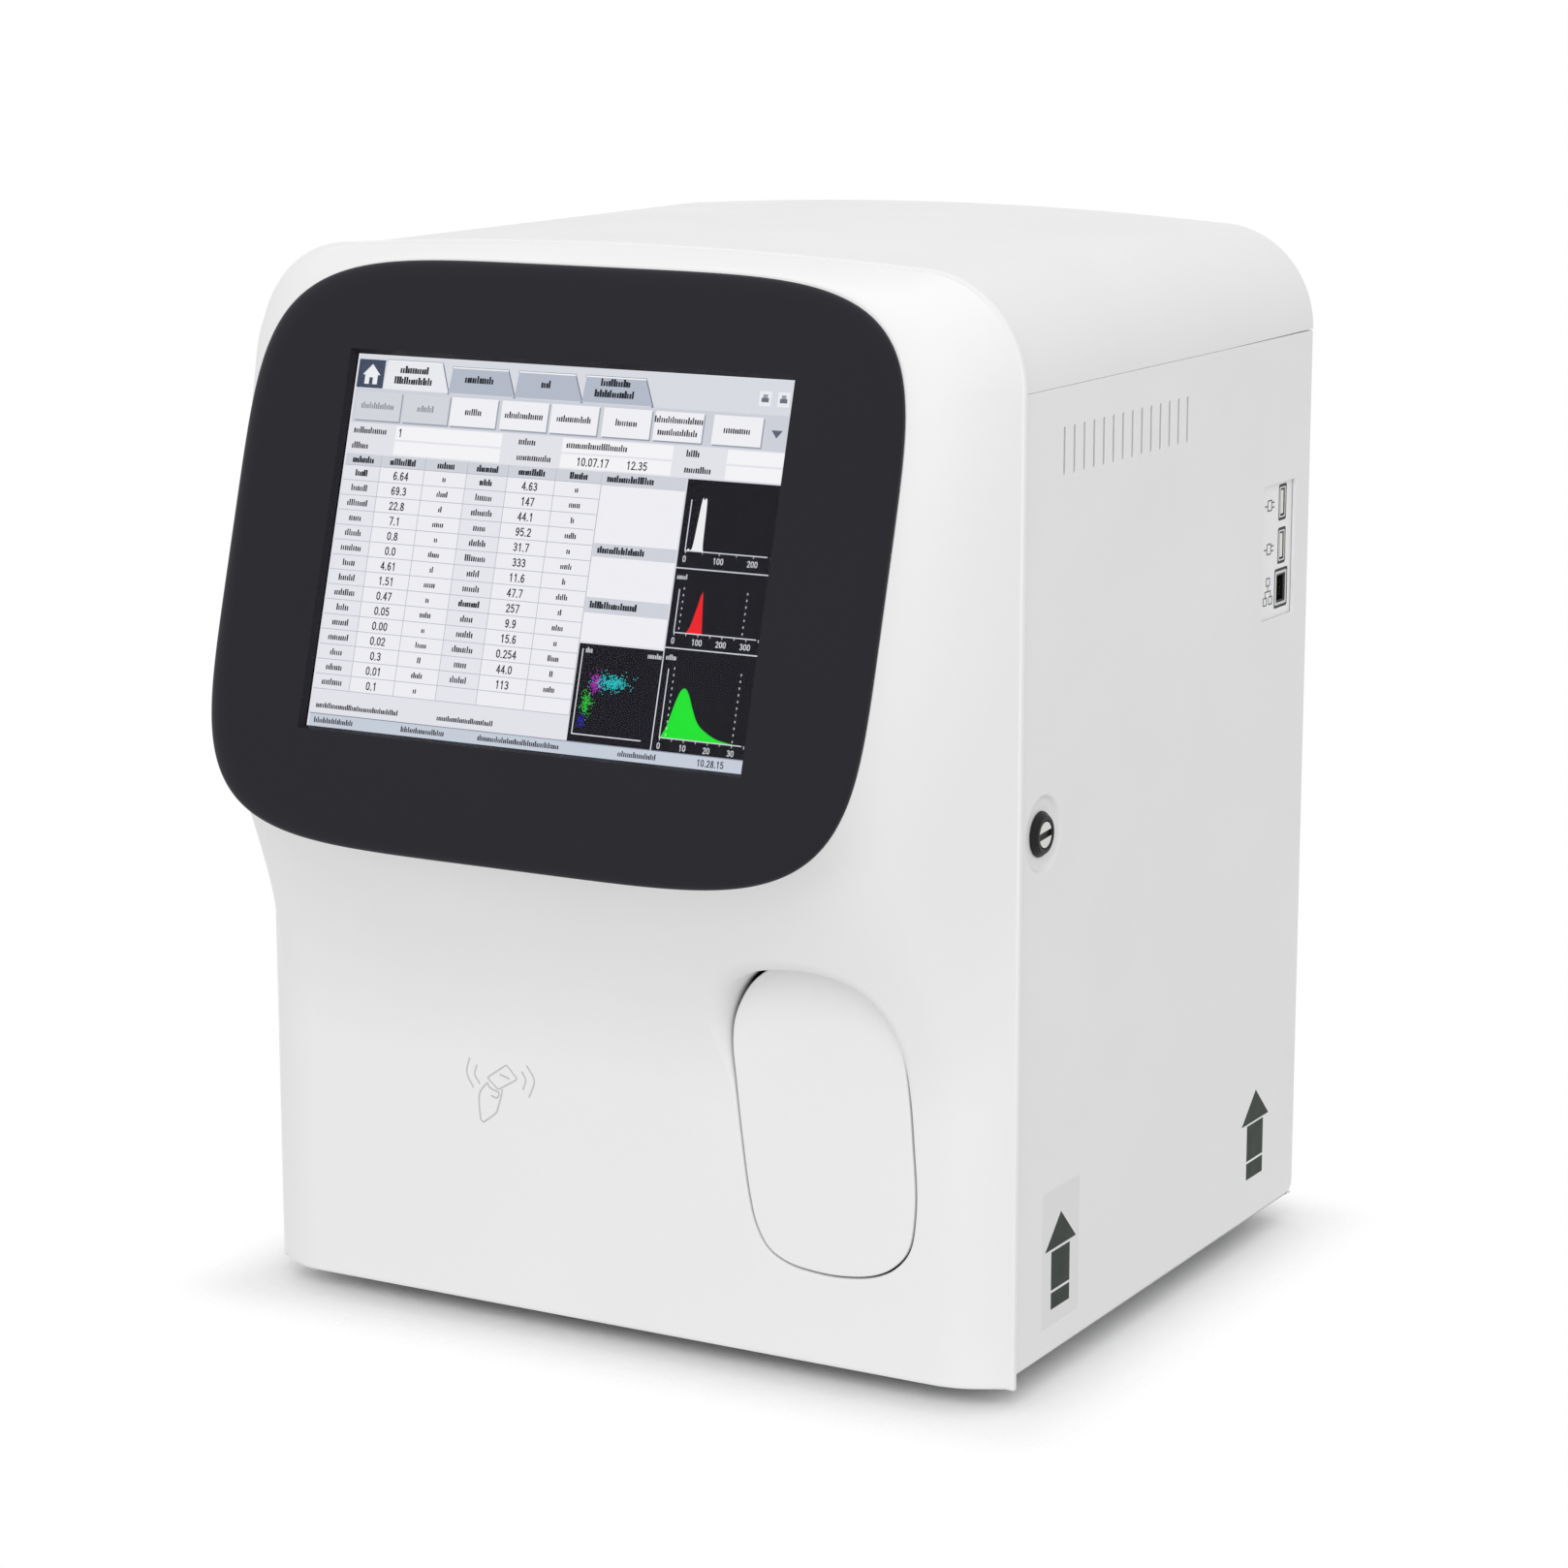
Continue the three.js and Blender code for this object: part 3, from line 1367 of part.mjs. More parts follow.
function buildFan(group) {
  const back = cabinet.depth - cabinet.sheet - fitGap;
  const front = back - fan.thickness;
  const through = [front - overrun, back + overrun];
  const shell = cut(
    block(around(0, fan.size), [front, back], around(0, fan.size)),
    rod("y", fan.bore, through, [0, 0], 36),
  );
  const mount = rod("y", fan.hubDiameter, span(front, fan.mountDepth), [0, 0], 24);
  const strutY = span(front, fan.mountDepth);
  const reach = fan.bore + overrun;
  const struts = [
    block(around(0, reach), strutY, around(0, fan.strutWidth)),
    block(around(0, fan.strutWidth), strutY, around(0, reach)),
  ];
  const place = [rear.fanX, 0, rear.fanZ];
  addPiece(group, "fan_frame", join(shell, mount, ...struts), blackPlastic, place);
  const rotorFront = front + fan.mountDepth + runGap;
  const hub = rod("y", fan.hubDiameter, span(rotorFront, fan.rotorDepth), [0, 0], 24);
  const middleY = rotorFront + fan.rotorDepth / 2;
  const blades = Array.from({ length: fan.blades }, (unused, i) => {
    const inner = fan.hubDiameter / 2 - overrun;
    const length = fan.bladeTip / 2 - inner;
    const blade = new THREE.BoxGeometry(length, fan.bladeThickness, fan.bladeChord);
    blade.rotateX(fan.bladePitch).translate(inner + length / 2, 0, 0);
    blade.rotateY((i / fan.blades) * 2 * Math.PI).translate(0, middleY, 0);
    return solidFrom(blade);
  });
  addPiece(group, "fan_rotor", join(hub, ...blades), blackPlastic, place);
}

function buildHosePorts(group) {
  const fittings = [
    ["diluent_port", greyPlastic],
    ["lyse_port", greyPlastic],
    ["waste_port", brass],
  ];
  const outer = cabinet.depth + fitGap;
  const length = [outer - hosePort.tail, outer + hosePort.reach];
  const barbY = span(length[1] - 2 * hosePort.flange, hosePort.flange);
  fittings.forEach(([name, material], i) => {
    const fitting = join(
      rod("y", hosePort.diameter, length, [0, 0], 12),
      rod("y", hosePort.flangeDiameter, span(outer, hosePort.flange), [0, 0], 6),
      rod("y", hosePort.diameter, barbY, [0, 0], 12, hosePort.barb),
    );
    const bore = rod("y", hosePort.bore, [length[0] - overrun, length[1] + overrun], [0, 0], 8);
    addPiece(group, name, cut(fitting, bore), material, [rear.portX[i], 0, rear.portZ]);
  });
}

const partitionFace = partition.x + partition.thickness;
const needleX = doorMiddle;
const needleY = doorBack + tubeHolder.wellBack;

function buildSampler(group) {
  const railX = span(partitionFace + fitGap, probe.railX);
  const railBack = bath.secondY + probe.railBeyond;
  addPiece(
    group,
    "probe_rail",
    block(railX, [probe.railFront, railBack], span(probe.railZ, probe.railHeight)),
    stainless,
  );
  const carriageX = span(railX[1] + fitGap, probe.carriageThickness);
  const carriageZ = [probe.carriageBottom, probe.carriageTop];
  const guide = block(
    [carriageX[1] - overrun, carriageX[1] + probe.guideDepth], around(0, probe.guideWidth), carriageZ,
  );
  const lipX = [railX[0] + probe.railX / 2, carriageX[1]];
  const lips = [
    span(probe.railZ + probe.railHeight + fitGap, probe.carriageThickness),
    [probe.railZ - fitGap - probe.carriageThickness, probe.railZ - fitGap],
  ].map((z) => block(lipX, around(0, probe.carriageWidth), z));
  const plate = block(carriageX, around(0, probe.carriageWidth), carriageZ);
  addPiece(group, "probe_carriage", join(plate, guide, ...lips), anodised, [0, needleY, 0]);
  const guideFace = carriageX[1] + probe.guideDepth;
  const holderX = [guideFace + fitGap, needleX + probe.needleDiameter * 2];
  const blockZ = span(probe.blockBottom, probe.blockHeight);
  const holder = block(holderX, around(0, probe.blockWidth), blockZ);
  const cheeks = [-1, 1].map((side) => {
    const cheekInner = probe.guideWidth / 2 + fitGap;
    const cheekOuter = probe.blockWidth / 2;
    const y = side < 0 ? [-cheekOuter, -cheekInner] : [cheekInner, cheekOuter];
    return block([carriageX[1] + fitGap, guideFace + overrun], y, blockZ);
  });
  const needleHole = rod(
    "z",
    probe.needleDiameter + 2 * fitGap,
    [probe.blockBottom - overrun, probe.blockBottom + probe.blockHeight + overrun],
    [needleX, 0],
    12,
  );
  addPiece(group, "probe_block", cut(join(holder, ...cheeks), needleHole), blackPlastic, [0, needleY, 0]);
  const blockTop = probe.blockBottom + probe.blockHeight;
  const shank = [probe.needleTip + probe.needleDiameter, blockTop + probe.guideWidth];
  const point = span(probe.needleTip, probe.needleDiameter);
  const needle = join(
    rod("z", probe.needleDiameter, shank, [0, 0], 12),
    rod("z", probe.needlePoint, point, [0, 0], 12, probe.needleDiameter),
    rod("z", probe.collarDiameter, span(blockTop + fitGap, probe.guideDepth), [0, 0], 16),
  );
  addPiece(group, "sampling_probe", needle, stainless, [needleX, needleY, 0]);
  const motorZ = around(probe.railZ + probe.railHeight / 2, probe.motor);
  const motorY = span(railBack + fitGap, probe.motor);
  const motor = join(
    block(span(partitionFace + fitGap, probe.motorLength), motorY, motorZ),
    rod(
      "x",
      probe.guideWidth,
      span(partitionFace + probe.motorLength, probe.guideDepth),
      [middle(motorY), middle(motorZ)],
    ),
  );
  addPiece(group, "carriage_motor", motor, blackPlastic);
}

function buildBaths(group) {
  const shelfTop = bath.bottom - fitGap;
  const plate = block(
    span(partitionFace + fitGap, bath.shelfX),
    [Math.max(bath.firstY - bath.shelfEdge, bay.back + fitGap), bath.secondY + bath.shelfEdge],
    [shelfTop - bath.shelfThickness, shelfTop],
  );
  const drainZ = [shelfTop - bath.shelfThickness - overrun, shelfTop + overrun];
  const drains = [bath.firstY, bath.secondY].map((y) =>
    rod("z", bath.outletDiameter + 2 * fitGap, drainZ, [needleX, y]),
  );
  addPiece(group, "bath_shelf", cut(plate, ...drains), anodised);
  const outer = bath.outer / 2;
  const inner = outer - bath.wall;
  const outlet = bath.outletDiameter / 2;
  const profile = [
    [0, -bath.shelfThickness],
    [outlet, -bath.shelfThickness],
    [outlet, 0],
    [outer, 0],
    [outer, bath.height],
    [inner, bath.height],
    [inner, bath.cone],
    [0, bath.wall],
  ].map(([r, z]) => new THREE.Vector2(r, z));
  for (const [name, y] of [["wbc_bath", bath.firstY], ["rbc_bath", bath.secondY]]) {
    const cup = new THREE.LatheGeometry(profile, 24).rotateX(Math.PI / 2);
    addPiece(group, name, solidFrom(cup), clearAcrylic, [needleX, y, bath.bottom]);
  }
}

function buildSyringes(group) {
  const plateX = span(partitionFace + fitGap, syringe.plateThickness);
  const axisX = plateX[1] + syringe.axisX;
  const barrelTop = syringe.barrelBottom + syringe.barrelLength;
  const clampZ = span(barrelTop - syringe.clampRise - syringe.clampHeight, syringe.clampHeight);
  const plate = block(
    plateX, [syringe.plateFront, syringe.plateBack], [syringe.plateBottom, syringe.plateTop],
  );
  const sets = [
    { name: "large", y: syringe.largeY, outer: syringe.largeOuter },
    { name: "small", y: syringe.smallY, outer: syringe.smallOuter },
  ];
  const clamps = sets.map(({ y, outer }) =>
    cut(
      block([plateX[1] - overrun, axisX + outer / 4], around(y, outer + syringe.clampHeight), clampZ),
      rod("z", outer + 2 * fitGap, [clampZ[0] - overrun, clampZ[1] + overrun], [axisX, y]),
    ),
  );
  addPiece(group, "syringe_bracket", join(plate, ...clamps), anodised);
  for (const { name, y, outer } of sets) {
    const wall = syringe.barrelWall;
    const bore = outer - 2 * wall;
    const barrel = cut(
      rod("z", outer, [0, syringe.barrelLength], [0, 0], 28),
      rod("z", bore, [-overrun, syringe.barrelLength - wall * 2], [0, 0], 28),
      rod("z", wall, [syringe.barrelLength / 2, syringe.barrelLength + overrun], [0, 0], 12),
    );
    addPiece(group, `syringe_barrel_${name}`, barrel, clearAcrylic, [axisX, y, syringe.barrelBottom]);
    const pistonTop = syringe.barrelLength - wall * 2 - syringe.plungerTop + syringe.pistonHeight;
    const rodZ = [-syringe.rodBelow, pistonTop - syringe.pistonHeight / 2];
    const plunger = join(
      rod("z", bore - 2 * fitGap, [pistonTop - syringe.pistonHeight, pistonTop], [0, 0], 28),
      rod("z", syringe.rodDiameter, rodZ, [0, 0], 16),
      block(
        [plateX[1] + fitGap - axisX, syringe.crossWidth / 2],
        around(0, syringe.crossWidth),
        span(-syringe.rodBelow - syringe.crossHeight, syringe.crossHeight),
      ),
    );
    addPiece(group, `plunger_${name}`, plunger, stainless, [axisX, y, syringe.barrelBottom]);
  }
}

function buildValves() {
  const x = span(partitionFace + fitGap, valves.depth);
  const manifold = block(x, [syringe.plateFront, syringe.plateBack], span(valves.bottom, valves.height));
  const pitch = (syringe.plateBack - syringe.plateFront) / valves.count;
  const top = valves.bottom + valves.height;
  const coils = Array.from({ length: valves.count }, (unused, i) =>
    rod(
      "z",
      valves.coil,
      [top - overrun, top + valves.coilHeight],
      [middle(x), syringe.plateFront + pitch / 2 + i * pitch],
      14,
    ),
  );
  return join(manifold, ...coils);
}

function buildPump() {
  const bottom = base.rise + base.thickness + fitGap;
  const axisZ = bottom + pump.foot + pump.diameter / 2;
  const motorY = around(pump.y, pump.length);
  const headY = span(motorY[1] - overrun, pump.headLength);
  return join(
    rod("y", pump.diameter, motorY, [pump.x, axisZ], 28),
    block(around(pump.x, pump.head), headY, [bottom, bottom + pump.head + pump.foot]),
    block(around(pump.x, pump.diameter), around(pump.y, pump.length / 2), [bottom, axisZ]),
  );
}

function buildChamber() {
  const bottom = base.rise + base.thickness + fitGap;
  const outer = chamber.outer / 2;
  const inner = outer - chamber.wall;
  const neck = chamber.neck / 2;
  const lidTop = chamber.height + chamber.lid;
  const profile = [
    [0, 0], [outer, 0], [outer, chamber.height], [chamber.lidDiameter / 2, chamber.height],
    [chamber.lidDiameter / 2, lidTop], [neck, lidTop], [neck, lidTop + chamber.lid],
    [neck / 2, lidTop + chamber.lid], [neck / 2, chamber.height], [inner, chamber.height],
    [inner, chamber.wall], [0, chamber.wall],
  ].map(([r, z]) => new THREE.Vector2(r, z));
  const tank = new THREE.LatheGeometry(profile, 24).rotateX(Math.PI / 2);
  return solidFrom(tank.translate(chamber.x, chamber.y, bottom));
}

function buildShelf() {
  const right = partition.x - fitGap;
  const lipX = [fitGap + frame.bar - frame.halfWidth, right];
  const lipZ = [shelf.z - shelf.lip, shelf.z + shelf.thickness / 2];
  return join(
    block([shelf.leftX, right], [shelf.frontY, shelf.backY], span(shelf.z, shelf.thickness)),
    block(lipX, span(shelf.frontY, shelf.thickness), lipZ),
  );
}

function buildOptics() {
  const bottom = shelf.z + shelf.thickness + fitGap;
  const top = bottom + optics.plate;
  const laserAt = [optics.y, top + optics.blockHeight / 2];
  const plateX = [optics.left, optics.right];
  const length = optics.right - optics.left;
  const blockX = around(middle(plateX), length * optics.blockShare);
  const laserX = [blockX[0] - length * optics.laserShare, blockX[0] + overrun];
  return join(
    block(plateX, around(optics.y, optics.width), [bottom, top]),
    block(blockX, around(optics.y, optics.blockWidth), [top - overrun, top + optics.blockHeight]),
    rod("x", optics.laserDiameter, laserX, laserAt),
    block(
      span(blockX[1] - overrun, optics.laserDiameter),
      around(optics.y, optics.laserDiameter),
      [top - overrun, laserAt[1] + optics.laserDiameter / 2],
    ),
  );
}

function buildMainBoard() {
  const face = partition.x - fitGap;
  const near = face - board.standoff;
  const x = [near - board.thickness, near];
  const y = [board.frontY, board.backY];
  const z = [board.bottom, board.top];
  const pillars = y.flatMap((py, i) =>
    z.map((pz, j) => {
      const inwardY = i === 0 ? py + board.pillar : py - board.pillar;
      const inwardZ = j === 0 ? pz + board.pillar : pz - board.pillar;
      return rod("x", board.pillar, [x[0], face], [inwardY, inwardZ], 6);
    }),
  );
  const chips = board.chipShares.map((share) =>
    block(
      [x[0] - board.chipRise, x[0] + board.thickness / 2],
      around(y[0] + (y[1] - y[0]) * share, board.chip),
      around(z[1] - (z[1] - z[0]) * share, board.chip),
    ),
  );
  return join(block(x, y, z), ...pillars, ...chips);
}

function buildSupply() {
  const bottom = base.rise + base.thickness + fitGap;
  const x = span(supply.leftX, supply.width);
  const y = span(supply.frontY, supply.depth);
  const z = span(bottom, supply.height);
  const pitch = supply.depth / (supply.slotCount + 1);
  const slots = Array.from({ length: supply.slotCount }, (unused, i) =>
    block(
      [x[0] + supply.width / 4, x[1] - supply.width / 4],
      around(y[0] + (i + 1) * pitch, supply.slot),
      [z[1] - supply.slot, z[1] + overrun],
    ),
  );
  return cut(block(x, y, z), ...slots);
}

function buildReader() {
  const back = -cover.faceDepth + cover.wall + fitGap;
  const circuit = block(
    around(reader.x, reader.width), span(back, reader.thickness), around(reader.z, reader.height),
  );
  const coilY = [back + reader.thickness / 2, back + reader.thickness + reader.coilRise];
  const inner = { x: reader.width - 2 * reader.edge, z: reader.height - 2 * reader.edge };
  const outer = { x: reader.width - reader.edge, z: reader.height - reader.edge };
  const coil = cut(
    block(around(reader.x, outer.x), coilY, around(reader.z, outer.z)),
    block(around(reader.x, inner.x), [coilY[0] - overrun, coilY[1] + overrun], around(reader.z, inner.z)),
  );
  return join(circuit, coil);
}

// Assembly
const analyzer = new THREE.Group();
const body = new THREE.Group();
analyzer.add(body);

const displayUnit = new THREE.Group();
displayUnit.position.set(0, -display.depth, display.height);
displayUnit.rotation.x = -display.tilt;
body.add(displayUnit);

addPiece(body, "front_cover", buildFrontCover(), whiteAbs);
buildDisplay(displayUnit);
addPiece(body, "top_cover", buildTopCover(), whitePaint);
addPiece(body, "left_panel", buildLeftPanel(), whitePaint);
addPiece(body, "rear_panel", buildRearPanel(), whitePaint);
addPiece(body, "base_tray", buildBaseTray(), zincSteel);
buildFeet(body);
addPiece(body, "chassis_frame", buildFrame(), zincSteel);
addPiece(body, "partition_plate", buildPartition(), zincSteel);

const sampleDoorGroup = new THREE.Group();
body.add(sampleDoorGroup);
buildSampleDoor(sampleDoorGroup);
buildSampleBay(body);

const serviceDoorGroup = new THREE.Group();
body.add(serviceDoorGroup);
addPiece(serviceDoorGroup, "right_door", buildServiceDoor(), whitePaint);
buildLock(serviceDoorGroup);
buildPivots(body);

buildPorts(body);
addPiece(body, "power_inlet", buildPowerInlet(), blackPlastic);
buildPowerSwitch(body);
buildFan(body);
buildHosePorts(body);

buildSampler(body);
buildBaths(body);
buildSyringes(body);
addPiece(body, "valve_bank", buildValves(), anodised);
addPiece(body, "liquid_pump", buildPump(), greyPlastic);
addPiece(body, "waste_chamber", buildChamber(), clearAcrylic);

addPiece(body, "instrument_shelf", buildShelf(), zincSteel);
addPiece(body, "optical_bench", buildOptics(), anodised);
addPiece(body, "main_board", buildMainBoard(), circuitGreen);
addPiece(body, "power_supply", buildSupply(), zincSteel);
addPiece(body, "card_reader_board", buildReader(), circuitGreen);

// Origin under the middle of the whole, on the surface it stands on
const bounds = new THREE.Box3().setFromObject(analyzer, true);
const centre = bounds.getCenter(new THREE.Vector3());
body.position.set(-centre.x, -centre.y, -bounds.min.z);

export default analyzer;
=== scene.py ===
"""Looks of the bench-top blood cell analyzer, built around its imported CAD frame.

Lengths are millimetres in the cabinet's own frame: x = 0 on the middle plane, y = 0 on the seam behind the
front cover, z = 0 on the lower edge of the side panels. A mesh is written in metres, in the world.
"""

import logging
import math
from dataclasses import dataclass, field
from enum import Enum
from functools import lru_cache
from typing import Callable, Iterable, Sequence

import bpy
import numpy as np
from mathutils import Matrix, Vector
from mathutils.geometry import tessellate_polygon


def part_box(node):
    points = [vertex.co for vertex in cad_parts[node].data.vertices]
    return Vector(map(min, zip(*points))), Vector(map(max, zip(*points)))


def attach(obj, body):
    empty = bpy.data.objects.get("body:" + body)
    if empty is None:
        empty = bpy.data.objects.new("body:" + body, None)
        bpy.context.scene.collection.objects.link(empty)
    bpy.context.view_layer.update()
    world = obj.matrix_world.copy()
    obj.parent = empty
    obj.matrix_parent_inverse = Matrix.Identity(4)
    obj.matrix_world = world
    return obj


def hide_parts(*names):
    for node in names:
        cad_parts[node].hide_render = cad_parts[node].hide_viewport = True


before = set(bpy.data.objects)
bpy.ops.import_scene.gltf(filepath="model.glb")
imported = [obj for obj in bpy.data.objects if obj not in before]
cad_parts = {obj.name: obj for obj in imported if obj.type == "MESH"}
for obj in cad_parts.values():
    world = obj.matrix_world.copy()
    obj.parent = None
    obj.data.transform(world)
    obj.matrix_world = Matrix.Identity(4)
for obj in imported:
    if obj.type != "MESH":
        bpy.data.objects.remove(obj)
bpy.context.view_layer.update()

Array = np.ndarray
Numbers = Sequence[float]
Places = Sequence[Numbers]
Pair = tuple[float, float]
Triple = tuple[float, float, float]

LOG = logging.getLogger("analyzer")
SEAM = 0.6
TAU = 2.0 * math.pi
NOISE_SPAN = (0.3, 0.7)


class Body(Enum):
    """Bodies of the moving model that pieces ride on."""

    HOUSING = "housing"
    SAMPLE_DOOR = "sample_door"
    SERVICE_DOOR = "service_door"
    LOCK = "door_lock"
    ROCKER = "power_rocker"
    FAN = "fan_rotor"
    CARRIAGE = "carriage"
    PROBE = "probe_lift"
    LARGE_PLUNGER = "large_plunger"
    SMALL_PLUNGER = "small_plunger"


def cabinet_origin() -> Array:
    """Place of the cabinet frame's origin in the world, in mm: the left panel's front lower edge."""
    low = np.array(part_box("left_panel")[0]) * 1000.0
    return np.array([0.0, low[1] - SEAM, low[2]])


ORIGIN = cabinet_origin()


# Colours and nodes


def linear(code: str, alpha: float = 1.0) -> tuple[float, float, float, float]:
    """Turns an sRGB hex colour into linear RGBA.

    Args:
        code: colour such as "#E9E9E7".
        alpha: fourth channel.

    Returns:
        Linear red, green, blue and alpha.
    """
    parts = np.array([int(code[i : i + 2], 16) for i in (1, 3, 5)]) / 255.0
    values = np.where(parts <= 0.04045, parts / 12.92, ((parts + 0.055) / 1.055) ** 2.4)
    return (float(values[0]), float(values[1]), float(values[2]), alpha)


def add_node(tree: bpy.types.NodeTree, kind: str, inputs: dict | None = None, **settings) -> bpy.types.Node:
    """Adds a node with its settings, values and links.

    Args:
        tree: node tree of the material.
        kind: type of shader node, such as "TexNoise".
        inputs: value or output socket for each input by name or number.
        settings: properties of the node.

    Returns:
        The new node.
    """
    node = tree.nodes.new("ShaderNode" + kind)
    for key, value in settings.items():
        setattr(node, key, value)
    for key, value in (inputs or {}).items():
        if isinstance(value, bpy.types.NodeSocket):
            tree.links.new(value, node.inputs[key])
        else:
            node.inputs[key].default_value = value
    return node


@dataclass(frozen=True)
class Finish:
    """A real material: its base values, and the grain and shade variation of its surface.

    The bump is noise of one feature per `grain` mm and `relief` mm high. The colour wanders between `colour`
    and `shade` over `patch` mm, and the roughness by `spread` either way over the same patches. `slot` is a
    material slot name kept with the finish, which the script does not give to any piece.
    """

    name: str
    colour: str
    roughness: float
    metallic: float = 0.0
    shade: str = ""
    slot: str = ""
    grain: float = 0.6
    relief: float = 0.01
    patch: float = 70.0
    spread: float = 0.03
    stretch: Triple = (1.0, 1.0, 1.0)
    ior: float = 1.5

    def pattern(self, tree: bpy.types.NodeTree, place: bpy.types.NodeSocket) -> dict:
        """Colour, roughness and normal of the surface.

        Args:
            tree: node tree of the material.
            place: object coordinates in metres, stretched.

        Returns:
            Output socket for each input of the shader that the pattern drives.
        """
        wide = add_node(tree, "TexNoise", {"Vector": place, "Scale": 1000.0 / self.patch, "Detail": 3.0})
        mixed = add_node(
            tree, "Mix",
            {0: wide.outputs["Fac"], 6: linear(self.colour), 7: linear(self.shade or self.colour)},
            data_type="RGBA",
        )
        rough = add_node(
            tree, "MapRange",
            {
                "Value": wide.outputs["Fac"], "From Min": NOISE_SPAN[0], "From Max": NOISE_SPAN[1],
                "To Min": self.roughness - self.spread, "To Max": self.roughness + self.spread,
            },
        )
        fine = add_node(tree, "TexNoise", {"Vector": place, "Scale": 1000.0 / self.grain, "Detail": 2.0})
        bump = add_node(
            tree, "Bump", {"Height": fine.outputs["Fac"], "Distance": self.relief / 1000.0, "Strength": 1.0},
        )
        return {
            "Base Color": mixed.outputs[2], "Roughness": rough.outputs["Result"],
            "Normal": bump.outputs["Normal"],
        }

    def constants(self) -> dict:
        """Values of the shader that are the same all over."""
        return {"Metallic": self.metallic} if self.metallic else {"Metallic": 0.0, "IOR": self.ior}

    def material(self) -> bpy.types.Material:
        """The Blender material, made on first use."""
        return dressed(self)


def cleared(owner: bpy.types.Material | bpy.types.World) -> bpy.types.NodeTree:
    """Empties the node tree of a material or of the surroundings.

    Args:
        owner: what the node tree belongs to.

    Returns:
        Its node tree.
    """
    owner.use_nodes = True
    owner.node_tree.nodes.clear()
    return owner.node_tree


@lru_cache(maxsize=None)
def dressed(finish: Finish) -> bpy.types.Material:
    """Builds the node tree of a finish.

    Args:
        finish: the finish to build.

    Returns:
        A material named after the finish.
    """
    material = bpy.data.materials.new(finish.name)
    tree = cleared(material)
    where = add_node(tree, "TexCoord")
    place = add_node(tree, "Mapping", {"Vector": where.outputs["Object"], "Scale": finish.stretch})
    driven = finish.pattern(tree, place.outputs["Vector"])
    shader = add_node(tree, "BsdfPrincipled", {**finish.constants(), **driven})
    add_node(tree, "OutputMaterial", {"Surface": shader.outputs["BSDF"]})
    material.diffuse_color = linear(finish.colour)
    return material


@dataclass(frozen=True)
class ClearFinish(Finish):
    """Clear material: light passes through, and its surface keeps a gloss."""

    def constants(self) -> dict:
        """Values of the shader that are the same all over."""
        return {"Transmission Weight": 1.0, "IOR": self.ior, "Metallic": 0.0}


@dataclass(frozen=True)
class LitPicture(Finish):
    """Backlit picture: each face glows in the colour of the mesh attribute "shade"."""

    strength: float = 0.93
    flicker: float = 0.03

    def pattern(self, tree: bpy.types.NodeTree, place: bpy.types.NodeSocket) -> dict:
        """Glow from the attribute, with a pixel grid too fine to show drawn as faint grain.

        Args:
            tree: node tree of the material.
            place: object coordinates in metres.

        Returns:
            The output socket of the glow.
        """
        ink = add_node(tree, "Attribute", attribute_name="shade")
        grid = add_node(tree, "TexNoise", {"Vector": place, "Scale": 1000.0 / self.grain})
        soft = add_node(
            tree, "MapRange",
            {"Value": grid.outputs["Fac"], "To Min": 1.0 - self.flicker, "To Max": 1.0 + self.flicker},
        )
        glow = add_node(
            tree, "Mix", {0: 1.0, 6: ink.outputs["Color"], 7: soft.outputs["Result"]},
            data_type="RGBA", blend_type="MULTIPLY",
        )
        return {"Emission Color": glow.outputs[2]}

    def constants(self) -> dict:
        """Values of the shader that are the same all over."""
        return {
            "Base Color": linear("#050506"), "Emission Strength": self.strength, "Roughness": self.roughness,
            "Specular IOR Level": 0.0,
        }


@dataclass(frozen=True)
class CircuitBoard(Finish):
    """Glass-fibre circuit board: solder mask over copper tracks 0.5 mm apart drawn at 1.6 mm so they show."""

    coat: float = 0.3
    track: Pair = (0.3, 0.36)

    def pattern(self, tree: bpy.types.NodeTree, place: bpy.types.NodeSocket) -> dict:
        """Tracks from the edges of squared cells, raised a little under the mask.

        Args:
            tree: node tree of the material.
            place: object coordinates in metres.

        Returns:
            Output socket for the colour and the normal.
        """
        cells = add_node(
            tree, "TexVoronoi", {"Vector": place, "Scale": 1000.0 / self.grain, "Randomness": 0.7},
            feature="F1", distance="CHEBYCHEV",
        )
        track = add_node(
            tree, "MapRange",
            {"Value": cells.outputs["Distance"], "From Min": self.track[0], "From Max": self.track[1]},
        )
        mixed = add_node(
            tree, "Mix",
            {0: track.outputs["Result"], 6: linear(self.colour), 7: linear(self.shade)}, data_type="RGBA",
        )
        bump = add_node(
            tree, "Bump",
            {"Height": track.outputs["Result"], "Distance": self.relief / 1000.0, "Strength": 0.5},
        )
        return {"Base Color": mixed.outputs[2], "Normal": bump.outputs["Normal"]}

    def constants(self) -> dict:
        """Values of the shader that are the same all over."""
        return {"Roughness": self.roughness, "Coat Weight": self.coat}


# Injection-moulded ABS with a fine spark-eroded texture: satin and a soft neutral white
WHITE_ABS = Finish(
    "moulded white ABS", "#EFEFEF", 0.42, shade="#ECECED", slot="shell_white", grain=0.55, relief=0.006
)
# The same plastic from a smoother mould: the flap shines a little more than the cover round it
DOOR_ABS = Finish(
    "moulded white ABS flap", "#EFEFEF", 0.36, shade="#ECECED", slot="door_white", grain=0.5, relief=0.004
)
# Powder coat on folded sheet steel: orange peel about a millimetre wide, a little greyer than the mouldings
POWDER_COAT = Finish(
    "white powder-coated steel", "#EAEAEA", 0.48, shade="#E7E7E8", slot="panel_white", grain=0.9,
    relief=0.014, spread=0.05,
)
